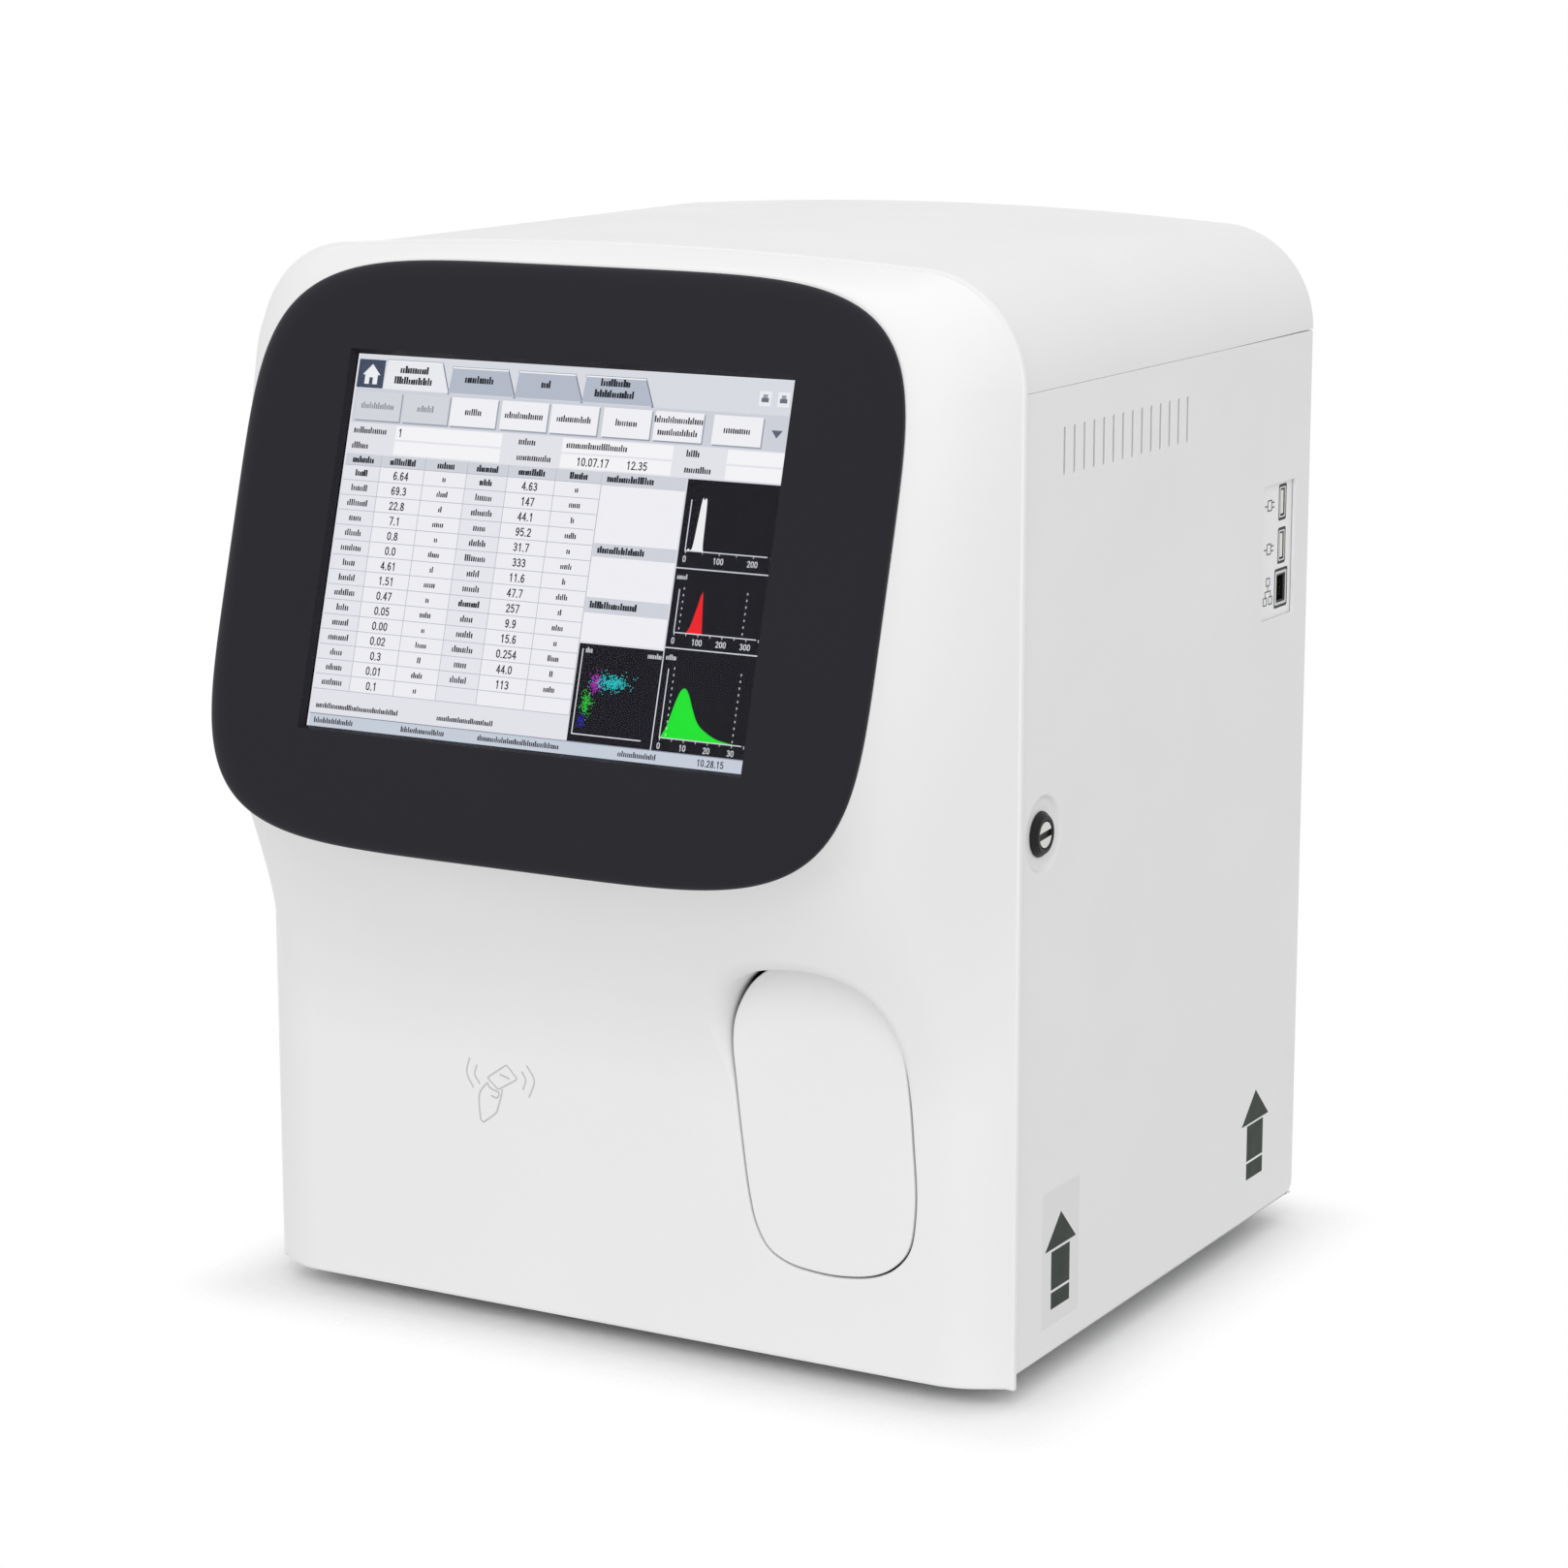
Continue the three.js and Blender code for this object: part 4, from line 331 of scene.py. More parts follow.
# Soft-touch paint on the display frame: nearly black with a trace of violet, a dull sheen, the finest grain
SOFT_TOUCH = Finish(
    "charcoal soft-touch paint", "#222127", 0.44, shade="#242329", slot="bezel_black", grain=0.35,
    relief=0.006, ior=1.22,
)
# Touch glass with an anti-reflection coat: the coat leaves it a far weaker gloss than bare glass
TOUCH_GLASS = ClearFinish("coated touch glass", "#FFFFFF", 0.03, spread=0.01, relief=0.0003, ior=1.12)
# Backlit liquid crystal panel: it glows through the glass and has no gloss of its own
PICTURE = LitPicture("lit screen picture", "#FFFFFF", 0.35, slot="screen_glass", grain=0.3)
# Glass-filled nylon: black with a slight mottle where the fibres reach the skin
BLACK_NYLON = Finish(
    "black glass-filled nylon", "#0F0F11", 0.42, shade="#151518", slot="black_plastic", grain=0.5,
    relief=0.012, ior=1.32,
)
# Moulded polypropylene: waxy mid grey
GREY_PP = Finish("grey polypropylene", "#8E9399", 0.5, shade="#878C92", slot="grey_plastic", grain=0.7)
# Zinc plate over sheet steel: pale bluish metal with cloudy patches 12 mm wide
ZINC = Finish(
    "zinc-plated sheet steel", "#B4B7BA", 0.38, 1.0, shade="#9EA2A6", slot="zinc_steel", grain=0.8,
    relief=0.006, patch=12.0, spread=0.1,
)
# Turned and brushed stainless steel: hair lines drawn 0.2 mm apart along the height
STAINLESS = Finish(
    "brushed stainless steel", "#C4C6C8", 0.27, 1.0, shade="#B5B8BA", slot="stainless_steel", grain=0.2,
    relief=0.004, patch=20.0, spread=0.06, stretch=(1.0, 1.0, 0.12),
)
# Nickel plate on the key plug: a warm bright metal
NICKEL = Finish(
    "nickel-plated lock face", "#D6D5D2", 0.3, 1.0, shade="#C9C8C5", slot="stainless_steel", grain=0.25,
    relief=0.003, patch=6.0,
)
# Bead-blasted and anodised aluminium: even, matt and silvery
ANODISED = Finish(
    "bead-blasted anodised aluminium", "#9FA4AA", 0.42, 1.0, shade="#959AA1", slot="anodised_aluminium",
    grain=0.3, patch=40.0,
)
# Brass from the lathe: yellow metal with darker handled spots
BRASS = Finish(
    "turned brass", "#B89A56", 0.3, 1.0, shade="#A88B4B", slot="port_brass", grain=0.3, relief=0.004,
    patch=8.0,
)
# EPDM rubber: dull, with pale dust in patches
RUBBER = Finish(
    "black EPDM rubber", "#262628", 0.82, shade="#343436", slot="foot_rubber", grain=1.2, relief=0.03,
    patch=9.0,
)
# Cast acrylic: clear with a cool tint in its edges
ACRYLIC = ClearFinish(
    "clear cast acrylic", "#EDF4F6", 0.06, shade="#E6F0F3", slot="clear_acrylic", spread=0.02, relief=0.001,
    ior=1.49,
)
# Solder mask: glossy green with lighter tracks under it
MASK_GREEN = CircuitBoard(
    "green solder mask on circuit board", "#1F5A3C", 0.35, shade="#2C7350", grain=1.6, relief=0.03
)
# Flash gold on contact springs: small bright yellow lines
GOLD = Finish(
    "gold-plated contact", "#D8B45A", 0.25, 1.0, shade="#CDA94F", slot="port_brass", grain=0.3, relief=0.001,
    patch=4.0,
)
# PBT tongues in the sockets: a creamy white
WHITE_PBT = Finish(
    "white PBT insert", "#EDE8E2", 0.4, shade="#E6E1DB", slot="black_plastic", grain=0.5, relief=0.004,
    patch=6.0,
)
# Screen-printed ink: an even, nearly black green
GREEN_INK = Finish(
    "dark green screen ink", "#202C24", 0.5, shade="#1A251E", slot="shell_white", grain=0.4, relief=0.004,
    patch=8.0, ior=1.3,
)
# Thin pad printing on the front: a pale grey line that shows only from near
GREY_INK = Finish(
    "pale grey pad-print ink", "#C6C6C8", 0.5, shade="#C0C0C3", slot="shell_white", grain=0.4, relief=0.002,
    patch=8.0,
)
# Pad printing beside the sockets: fine dark grey lines
DARK_INK = Finish(
    "dark grey pad-print ink", "#3E3F43", 0.5, shade="#38393D", slot="panel_white", grain=0.4, relief=0.002,
    patch=8.0,
)
# Matt film under the front arrow: a shade greyer than the powder coat
LABEL_FILM = Finish(
    "matt label film", "#E2E1E2", 0.4, shade="#DFDEDF", slot="shell_white", grain=0.4, relief=0.003,
    patch=30.0,
)


# Surfaces worked out with numpy


@dataclass
class Surface:
    """Points in mm, quads (a triangle repeats its third corner) and a smooth flag for each face."""

    points: Array
    faces: Array
    smooth: Array

    def volume(self) -> float:
        """Signed volume, positive when faces look out: the sum of a . (b x c) / 6 over the triangles."""
        a, b, c, d = (self.points[self.faces[:, i]] for i in range(4))
        halves = np.einsum("ij,ij->i", a, np.cross(b, c)) + np.einsum("ij,ij->i", a, np.cross(c, d))
        return float(halves.sum() / 6.0)

    def turned_out(self) -> "Surface":
        """The same closed surface with its faces looking outwards."""
        if self.volume() >= 0.0:
            return self
        return Surface(self.points, self.faces[:, [0, 3, 2, 1]], self.smooth)

    def welded(self, tolerance: float = 1e-3) -> "Surface":
        """The same surface with points closer than the tolerance made one.

        Args:
            tolerance: greatest distance, in mm.

        Returns:
            The welded surface.
        """
        keys = np.round(self.points / tolerance).astype(np.int64)
        first, back = np.unique(keys, axis=0, return_index=True, return_inverse=True)[1:]
        return Surface(self.points[first], back.ravel()[self.faces], self.smooth)

    def moved(self, change: Callable[[Array], Array]) -> "Surface":
        """The same faces over changed points."""
        return Surface(change(self.points), self.faces, self.smooth)


def stacked(*columns: Array | float) -> Array:
    """Points whose coordinates are these arrays or numbers, side by side."""
    return np.stack(np.broadcast_arrays(*columns), axis=-1)


def combined(parts: Iterable[Surface]) -> Surface:
    """Puts several surfaces into one.

    Args:
        parts: closed surfaces.

    Returns:
        One surface that holds all their faces.
    """
    parts = list(parts)
    starts = np.cumsum([0] + [len(part.points) for part in parts[:-1]])
    return Surface(
        np.concatenate([part.points for part in parts]),
        np.concatenate([part.faces + start for part, start in zip(parts, starts)]),
        np.concatenate([part.smooth for part in parts]),
    )


def grid(points: Array, around: bool = True, smooth: bool = True) -> Surface:
    """Quads between neighbouring rows and columns of a grid of points.

    Args:
        points: array of rows x columns x 3.
        around: whether the last column joins the first.
        smooth: shading of the faces.

    Returns:
        The surface of the grid.
    """
    rows, columns = points.shape[:2]
    index = np.arange(rows * columns).reshape(rows, columns)
    if around:
        index = np.concatenate([index, index[:, :1]], axis=1)
    corners = [index[:-1, :-1], index[1:, :-1], index[1:, 1:], index[:-1, 1:]]
    faces = stacked(*corners).reshape(-1, 4)
    return Surface(points.reshape(-1, 3), faces, np.full(len(faces), smooth))


def signed_area(loop: Array) -> float:
    """Area inside a closed 2D loop, positive when it runs anticlockwise."""
    after = np.roll(loop, -1, axis=0)
    return float((loop[:, 0] * after[:, 1] - after[:, 0] * loop[:, 1]).sum() / 2.0)


def offset_rows(loop: Array, insets: Array) -> Array:
    """Moves a closed loop to its left by each inset: point + inset * (n1 + n2) / (1 + n1 . n2).

    Args:
        loop: points x 2, without the first point repeated.
        insets: distance for each row, rows x points.

    Returns:
        Array of rows x points x 2.
    """
    side = np.roll(loop, -1, axis=0) - loop
    side /= np.maximum(np.linalg.norm(side, axis=1, keepdims=True), 1e-9)
    after = stacked(-side[:, 1], side[:, 0])
    before = np.roll(after, 1, axis=0)
    share = 1.0 + np.maximum((before * after).sum(axis=1, keepdims=True), -0.5)
    return loop[None] + insets[:, :, None] * ((before + after) / share)[None]


def filleted(corners: Places, radius: float, steps: int = 5, closed: bool = True) -> Array:
    """Rounds the corners of a polyline with a quadratic curve from one side to the next.

    Args:
        corners: points of the polyline.
        radius: length taken from each side, at most 49% of it.
        steps: pieces of each curve.
        closed: whether the last point joins the first.

    Returns:
        Points of the rounded polyline.
    """
    middle = np.asarray(corners, dtype=float)
    before, after = np.roll(middle, 1, axis=0), np.roll(middle, -1, axis=0)

    def start(other: Array) -> Array:
        """Where the curve meets the side towards another corner."""
        length = np.linalg.norm(other - middle, axis=1, keepdims=True)
        return middle + (other - middle) * np.minimum(radius / np.maximum(length, 1e-9), 0.49)

    a, b = start(before), start(after)
    if not closed:
        a[0], b[0], a[-1], b[-1] = middle[0], middle[0], middle[-1], middle[-1]
    t = np.linspace(0.0, 1.0, steps + 1)[None, :, None]
    curve = (1 - t) ** 2 * a[:, None] + 2 * t * (1 - t) * middle[:, None] + t**2 * b[:, None]
    return curve.reshape(-1, middle.shape[1])


def quarter_turn(count: int) -> Array:
    """Angles from 0 to a right angle."""
    return np.linspace(0.0, math.pi / 2.0, count)


def polar(centre: Numbers, radius: float | Array, angle: Array) -> Array:
    """Points round a centre: centre + radius * (cos a, sin a)."""
    return stacked(centre[0] + radius * np.cos(angle), centre[1] + radius * np.sin(angle))


def circle(centre: Numbers, radius: float, count: int) -> Array:
    """Points of a circle."""
    return polar(centre, radius, np.arange(count) / count * TAU)


def super_ellipse(angle: Array, half: Numbers, power: float) -> Array:
    """Reach of a super-ellipse: (|cos a / half width|^power + |sin a / half height|^power)^(-1 / power)."""
    u, v = np.abs(np.cos(angle)) / half[0], np.abs(np.sin(angle)) / half[1]
    return (u**power + v**power) ** (-1.0 / power)


def slot_hole(u: Numbers, v: Numbers, steps: int = 8) -> Array:
    """Outline of an upright slot with round ends: two half circles as wide as the slot.

    Args:
        u: span of its width.
        v: span of its height.
        steps: pieces of each half circle.

    Returns:
        Points (u, v).
    """
    radius, middle = (u[1] - u[0]) / 2.0, (u[0] + u[1]) / 2.0
    angle = np.linspace(0.0, math.pi, steps + 1)
    upper = polar((middle, v[1] - radius), radius, angle)
    return np.concatenate([upper, polar((middle, v[0] + radius), -radius, angle)])


def box_loop(u: Numbers, v: Numbers, radius: float = 0.5, steps: int = 4) -> Array:
    """Rounded rectangle between two spans."""
    return filleted([[u[0], v[0]], [u[1], v[0]], [u[1], v[1]], [u[0], v[1]]], radius, steps)


def edge_rows(high: float, low: float, upper: float, lower: float, steps: int = 4) -> Array:
    """Section of a slab's edge: a quarter circle at the high face, a straight, a quarter circle below.

    Args:
        high: height of the upper face.
        low: height of the lower face.
        upper: radius of the upper edge.
        lower: radius of the lower edge.
        steps: pieces of each quarter circle.

    Returns:
        Rows of (inset, height).
    """
    angle = quarter_turn(steps + 1)
    top = stacked(upper * (1 - np.sin(angle)), high - upper * (1 - np.cos(angle)))
    bottom = stacked(lower * (1 - np.cos(angle)), low + lower * (1 - np.sin(angle)))
    return np.concatenate([top, bottom])


def plate(
    outer: Array, outer_rows: Array, holes: Sequence[tuple[Array, Array]] = (),
    depth: Callable[[Array], Array] | None = None,
) -> Surface:
    """Sheet or slab with holes: each outline carries its own edge section, and two flat caps close it.

    Args:
        outer: outline, points x 2.
        outer_rows: (inset, height) rows from the upper cap to the lower one, or rows x points x 2.
        holes: an outline and rows for each hole.
        depth: added height as a function of the points (u, v), for a slab that lies on a curved face.

    Returns:
        Closed surface with points (u, v, height).
    """
    parts, first, last = [], [], []
    for number, (loop, rows) in enumerate([(outer, outer_rows), *holes]):
        if (signed_area(loop) > 0) != (number == 0):
            loop, rows = loop[::-1], (rows[:, ::-1] if rows.ndim == 3 else rows)
        if rows.ndim == 2:
            rows = np.broadcast_to(rows[:, None, :], (len(rows), len(loop), 2))
        ring = np.concatenate([offset_rows(loop, rows[:, :, 0]), rows[:, :, 1:]], axis=2)
        parts.append(grid(ring))
        first.append(ring[0])
        last.append(ring[-1])
    for loops, up in ((first, True), (last, False)):
        flat_points = np.concatenate(loops)
        corners = [[Vector((p[0], p[1], 0.0)) for p in loop] for loop in loops]
        triangles = np.array(tessellate_polygon(corners))
        a, b, c = (flat_points[triangles[:, i], :2] for i in range(3))
        rising = (b[:, 0] - a[:, 0]) * (c[:, 1] - a[:, 1]) - (b[:, 1] - a[:, 1]) * (c[:, 0] - a[:, 0]) > 0
        wrong = rising != up
        triangles[wrong] = triangles[wrong][:, ::-1]
        faces = np.concatenate([triangles, triangles[:, 2:]], axis=1)
        parts.append(Surface(flat_points, faces, np.zeros(len(faces), bool)))
    whole = combined(parts).welded(1e-4)
    if depth is not None:
        whole.points[:, 2] += depth(whole.points[:, :2])
    return whole


def laid(surface: Surface, order: str) -> Surface:
    """Lays (u, v, height) along the named axes, such as "yzx", with the faces looking outwards."""
    columns = [order.index(axis) for axis in "xyz"]
    return Surface(surface.points[:, columns], surface.faces, surface.smooth).turned_out()


def bar(x: Numbers, y: Numbers, z: Numbers, edge: float = 0.3) -> Surface:
    """Block between three spans with rounded edges."""
    return laid(plate(box_loop(x, y, edge, 3), edge_rows(z[1], z[0], edge, edge, 3)), "xyz")


def turned(profile: Array, axis: str, centre: Numbers, sides: int = 64) -> Surface:
    """Surface of revolution: centre + height along the axis + radius * (cos a, sin a) across it.

    Args:
        profile: rows of (radius, height). It starts and ends on the axis or on the same point.
        axis: "x", "y" or "z".
        centre: point that heights and radii start from.
        sides: number of columns.

    Returns:
        Closed surface.
    """
    angle = np.arange(sides) / sides * TAU
    radius, height = profile[:, :1], profile[:, 1:]
    along = "xyz".index(axis)
    points = np.zeros((len(profile), sides, 3))
    points[:, :, along] = height
    points[:, :, (along + 1) % 3] = radius * np.cos(angle)
    points[:, :, (along + 2) % 3] = radius * np.sin(angle)
    return grid(points + np.asarray(centre, dtype=float)).welded(1e-4).turned_out()


def write_mesh(name: str, surface: Surface, sharp: float) -> bpy.types.Mesh:
    """Writes a surface into a mesh in metres, dropping corners that the weld made one.

    Args:
        name: name of the mesh.
        surface: the surface in mm.
        sharp: edges bent by more than this many degrees are drawn sharp.

    Returns:
        The new mesh.
    """
    keep = surface.faces != np.roll(surface.faces, -1, axis=1)
    good = keep.sum(axis=1) >= 3
    loops = surface.faces[good][keep[good]]
    counts = keep[good].sum(axis=1)
    mesh = bpy.data.meshes.new(name)
    mesh.vertices.add(len(surface.points))
    mesh.vertices.foreach_set("co", ((surface.points + ORIGIN) / 1000.0).ravel())
    mesh.loops.add(len(loops))
    mesh.loops.foreach_set("vertex_index", loops.astype(np.int32))
    mesh.polygons.add(len(counts))
    mesh.polygons.foreach_set("loop_start", (np.cumsum(counts) - counts).astype(np.int32))
    mesh.update(calc_edges=True)
    mesh.polygons.foreach_set("use_smooth", surface.smooth[good])
    mesh.validate()
    mesh.set_sharp_from_angle(angle=math.radians(sharp))
    return mesh


def steady_shading(piece: bpy.types.Object) -> None:
    """Weighs each corner's normal by the area of its faces, so that a large flat face shades flat."""
    steady = piece.modifiers.new("steady shading", "WEIGHTED_NORMAL")
    steady.mode, steady.keep_sharp = "FACE_AREA", True


def add_piece(
    name: str, surface: Surface, finish: Finish, replaces: Sequence[str] = (),
    body: Body = Body.HOUSING, sharp: float = 32.0, slot: str = "",
) -> bpy.types.Object:
    """Makes an object of a surface, dresses it and lets it ride on its body.

    Args:
        name: name of the piece.
        surface: closed surface in mm.
        finish: its material.
        replaces: CAD nodes that it stands for.
        body: the body that carries it.
        sharp: edges bent by more than this many degrees are drawn sharp.
        slot: material slot name, the finish's own when not given; it is not used.

    Returns:
        The new object.
    """
    piece = bpy.data.objects.new(name, write_mesh(name, surface, sharp))
    bpy.context.scene.collection.objects.link(piece)
    piece.data.materials.append(finish.material())
    slot = slot or finish.slot
    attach(piece, body.value)
    if replaces:
        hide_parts(*replaces)
    steady_shading(piece)
    LOG.info("%s: %d points, %d faces", name, len(surface.points), len(surface.faces))
    return piece


# Cabinet shape shared by the covers


@dataclass(frozen=True)
class CabinetShape:
    """Section of the cabinet: upright sides, round upper corners, bowed top."""

    half_width: float = 186.65
    depth: float = 300.7
    side_height: float = 412.2
    corner: float = 48.0
    crown_rise: float = 4.8
    rim_proud: float = 1.5
    sheet: float = 1.5
    hem: float = 11.5

    def crown(self, x: Array) -> Array:
        """Height of the bowed top over its corners: sqrt(R^2 - x^2) - R + rise.

        Args:
            x: distance from the middle plane.

        Returns:
            Height at each x.
        """
        chord = self.half_width - self.corner
        radius = (chord**2 + self.crown_rise**2) / (2.0 * self.crown_rise)
        return np.sqrt(radius**2 - np.minimum(np.abs(x), chord) ** 2) - radius + self.crown_rise

    def arch(self, inset: float, bottom: float, side: int, corner: int, top: int) -> Array:
        """Outline from the lower right up and over to the lower left.

        Args:
            inset: distance inside the outer outline.
            bottom: height of its ends.
            side: points of each side.
            corner: points of each corner arc.
            top: points of the bowed top.

        Returns:
            Points (x, z).
        """
        centre = self.half_width - self.corner
        radius = self.corner - inset
        angle = np.linspace(0.0, math.pi / 2.0, corner, endpoint=False)
        rise = np.linspace(bottom, self.side_height, side, endpoint=False)
        right = stacked(self.half_width - inset, rise)
        bend = polar((centre, self.side_height), radius, angle)
        x = np.linspace(centre, 0.0, top)
        half_top = stacked(x, self.side_height + radius + self.crown(x))
        half = np.concatenate([right, bend, half_top])
        return np.concatenate([half, half[-2::-1] * [-1.0, 1.0]])

    def rim_distance(self, x: Array, z: Array) -> Array:
        """Distance inwards from sides and top: radius less distance in the corners, straight elsewhere.

        Args:
            x: distance from the middle plane.
            z: height.

        Returns:
            Distance at each place.
        """
        beyond_x = np.abs(x) - (self.half_width - self.corner)
        beyond_z = z - self.side_height
        round_part = self.corner - np.hypot(np.maximum(beyond_x, 0.0), np.maximum(beyond_z, 0.0))
        top = self.side_height + self.corner + self.crown(x)
        straight = np.minimum(self.half_width - np.abs(x), top - z)
        return np.where((beyond_x > 0) & (beyond_z > 0), round_part, straight)


CABINET = CabinetShape()


@dataclass(frozen=True)
class DisplayShape:
    """Leaning display: its place, its screen and the super-ellipse outline of its frame."""

    tilt: float = math.radians(16.1)
    depth: float = 67.2
    height: float = 341.5
    screen: Pair = (211.2, 158.4)
    half_width: float = 157.5
    half_height: float = 125.0
    drop: float = 3.8
    power: float = 5.0
    back: float = 3.1
    gap: float = 0.3

    @property
    def centre(self) -> float:
        """Height of the frame's centre in the cabinet."""
        return self.height - self.drop * math.cos(self.tilt)

    def lean(self, points: Array) -> Array:
        """Turns points of the display's own frame back by the tilt and puts them in the cabinet.

        Args:
            points: places from the screen's centre.

        Returns:
            Places in the cabinet.
        """
        x, y, z = points.T
        turn_y = y * math.cos(self.tilt) + z * math.sin(self.tilt)
        turn_z = z * math.cos(self.tilt) - y * math.sin(self.tilt)
        return stacked(x, turn_y - self.depth, turn_z + self.height)

    def reach(self, angle: Array) -> Array:
        """Distance from the centre to the outline seen from the front, by angle."""
        return super_ellipse(angle, (self.half_width, self.half_height * math.cos(self.tilt)), self.power)

    def distance(self, x: Array, z: Array) -> Array:
        """Distance outside the outline: (level - 1) / slope of the super-ellipse's level.

        Args:
            x: distance from the middle plane.
            z: height.

        Returns:
            Distance at each place, 0 inside the outline.
        """
        half_z = self.half_height * math.cos(self.tilt)
        u, v, n = np.abs(x), np.abs(z - self.centre), self.power
        level = np.maximum(((u / self.half_width) ** n + (v / half_z) ** n) ** (1.0 / n), 1.0)
        slope = level ** (1 - n) * np.hypot(u ** (n - 1) / self.half_width**n, v ** (n - 1) / half_z**n)
        return (level - 1.0) / np.maximum(slope, 1e-9)


DISPLAY = DisplayShape()
DOOR_SHARES = np.array([
    [0.095, 0.216], [0.132, 0.126], [0.2, 0.054], [0.307, 0.016], [0.466, 0], [0.624, 0.001],
    [0.78, 0.02], [0.884, 0.056], [0.966, 0.122], [1, 0.26], [0.985, 0.46], [0.948, 0.7], [0.892, 0.862],
    [0.796, 0.949], [0.64, 0.993], [0.436, 0.998], [0.233, 0.967], [0.098, 0.905], [0.017, 0.8],
    [0, 0.709], [0.021, 0.571], [0.055, 0.389],
])


@dataclass(frozen=True)
class DoorwayShape:
    """Outline of the doorway in the front cover: a closed curve through shares of its width and height."""

    left: float = 59.3
    bottom: float = 36.6
    width: float = 88.8
    height: float = 137.4

    @property
    def centre(self) -> Array:
        """Middle of the doorway."""
        return np.array([self.left + self.width / 2.0, self.bottom + self.height / 2.0])

    def outline(self, steps: int = 10) -> Array:
        """Cubic curve through the points: knots at the square root of the chord, blended pair by pair.

        Args:
            steps: points between two knots.

        Returns:
            Points (x, z).
        """
        points = DOOR_SHARES * [self.width, self.height] + [self.left, self.bottom]
        p0, p1, p2, p3 = (np.roll(points, 1 - i, axis=0)[:, None, :] for i in range(4))
        chords = (p1 - p0, p2 - p1, p3 - p2)
        gap = [np.sqrt(np.linalg.norm(chord, axis=2, keepdims=True)) for chord in chords]
        t0, t1 = 0.0, gap[0]
        t2 = t1 + gap[1]
        t3 = t2 + gap[2]
        t = t1 + (t2 - t1) * (np.arange(steps) / steps)[None, :, None]

        def blend(a: Array, b: Array, low, high) -> Array:
            """Straight blend between two curves over a span of knots."""
            return ((high - t) * a + (t - low) * b) / (high - low)

        a1, a2, a3 = blend(p0, p1, t0, t1), blend(p1, p2, t1, t2), blend(p2, p3, t2, t3)
        b1, b2 = blend(a1, a2, t0, t2), blend(a2, a3, t1, t3)
        return blend(b1, b2, t1, t2).reshape(-1, 2)

    def reach(self, angle: Array) -> Array:
        """Distance from the middle to the outline, read between its points.

        Args:
            angle: directions from the middle.

        Returns:
            Distance in each direction.
        """
        arm = self.outline(24) - self.centre
        angles = np.arctan2(arm[:, 1], arm[:, 0])
        order = np.argsort(angles)
        return np.interp(angle, angles[order], np.hypot(arm[:, 0], arm[:, 1])[order], period=TAU)


DOORWAY = DoorwayShape()
LOCK_PLACE = (22.3, 228.0)


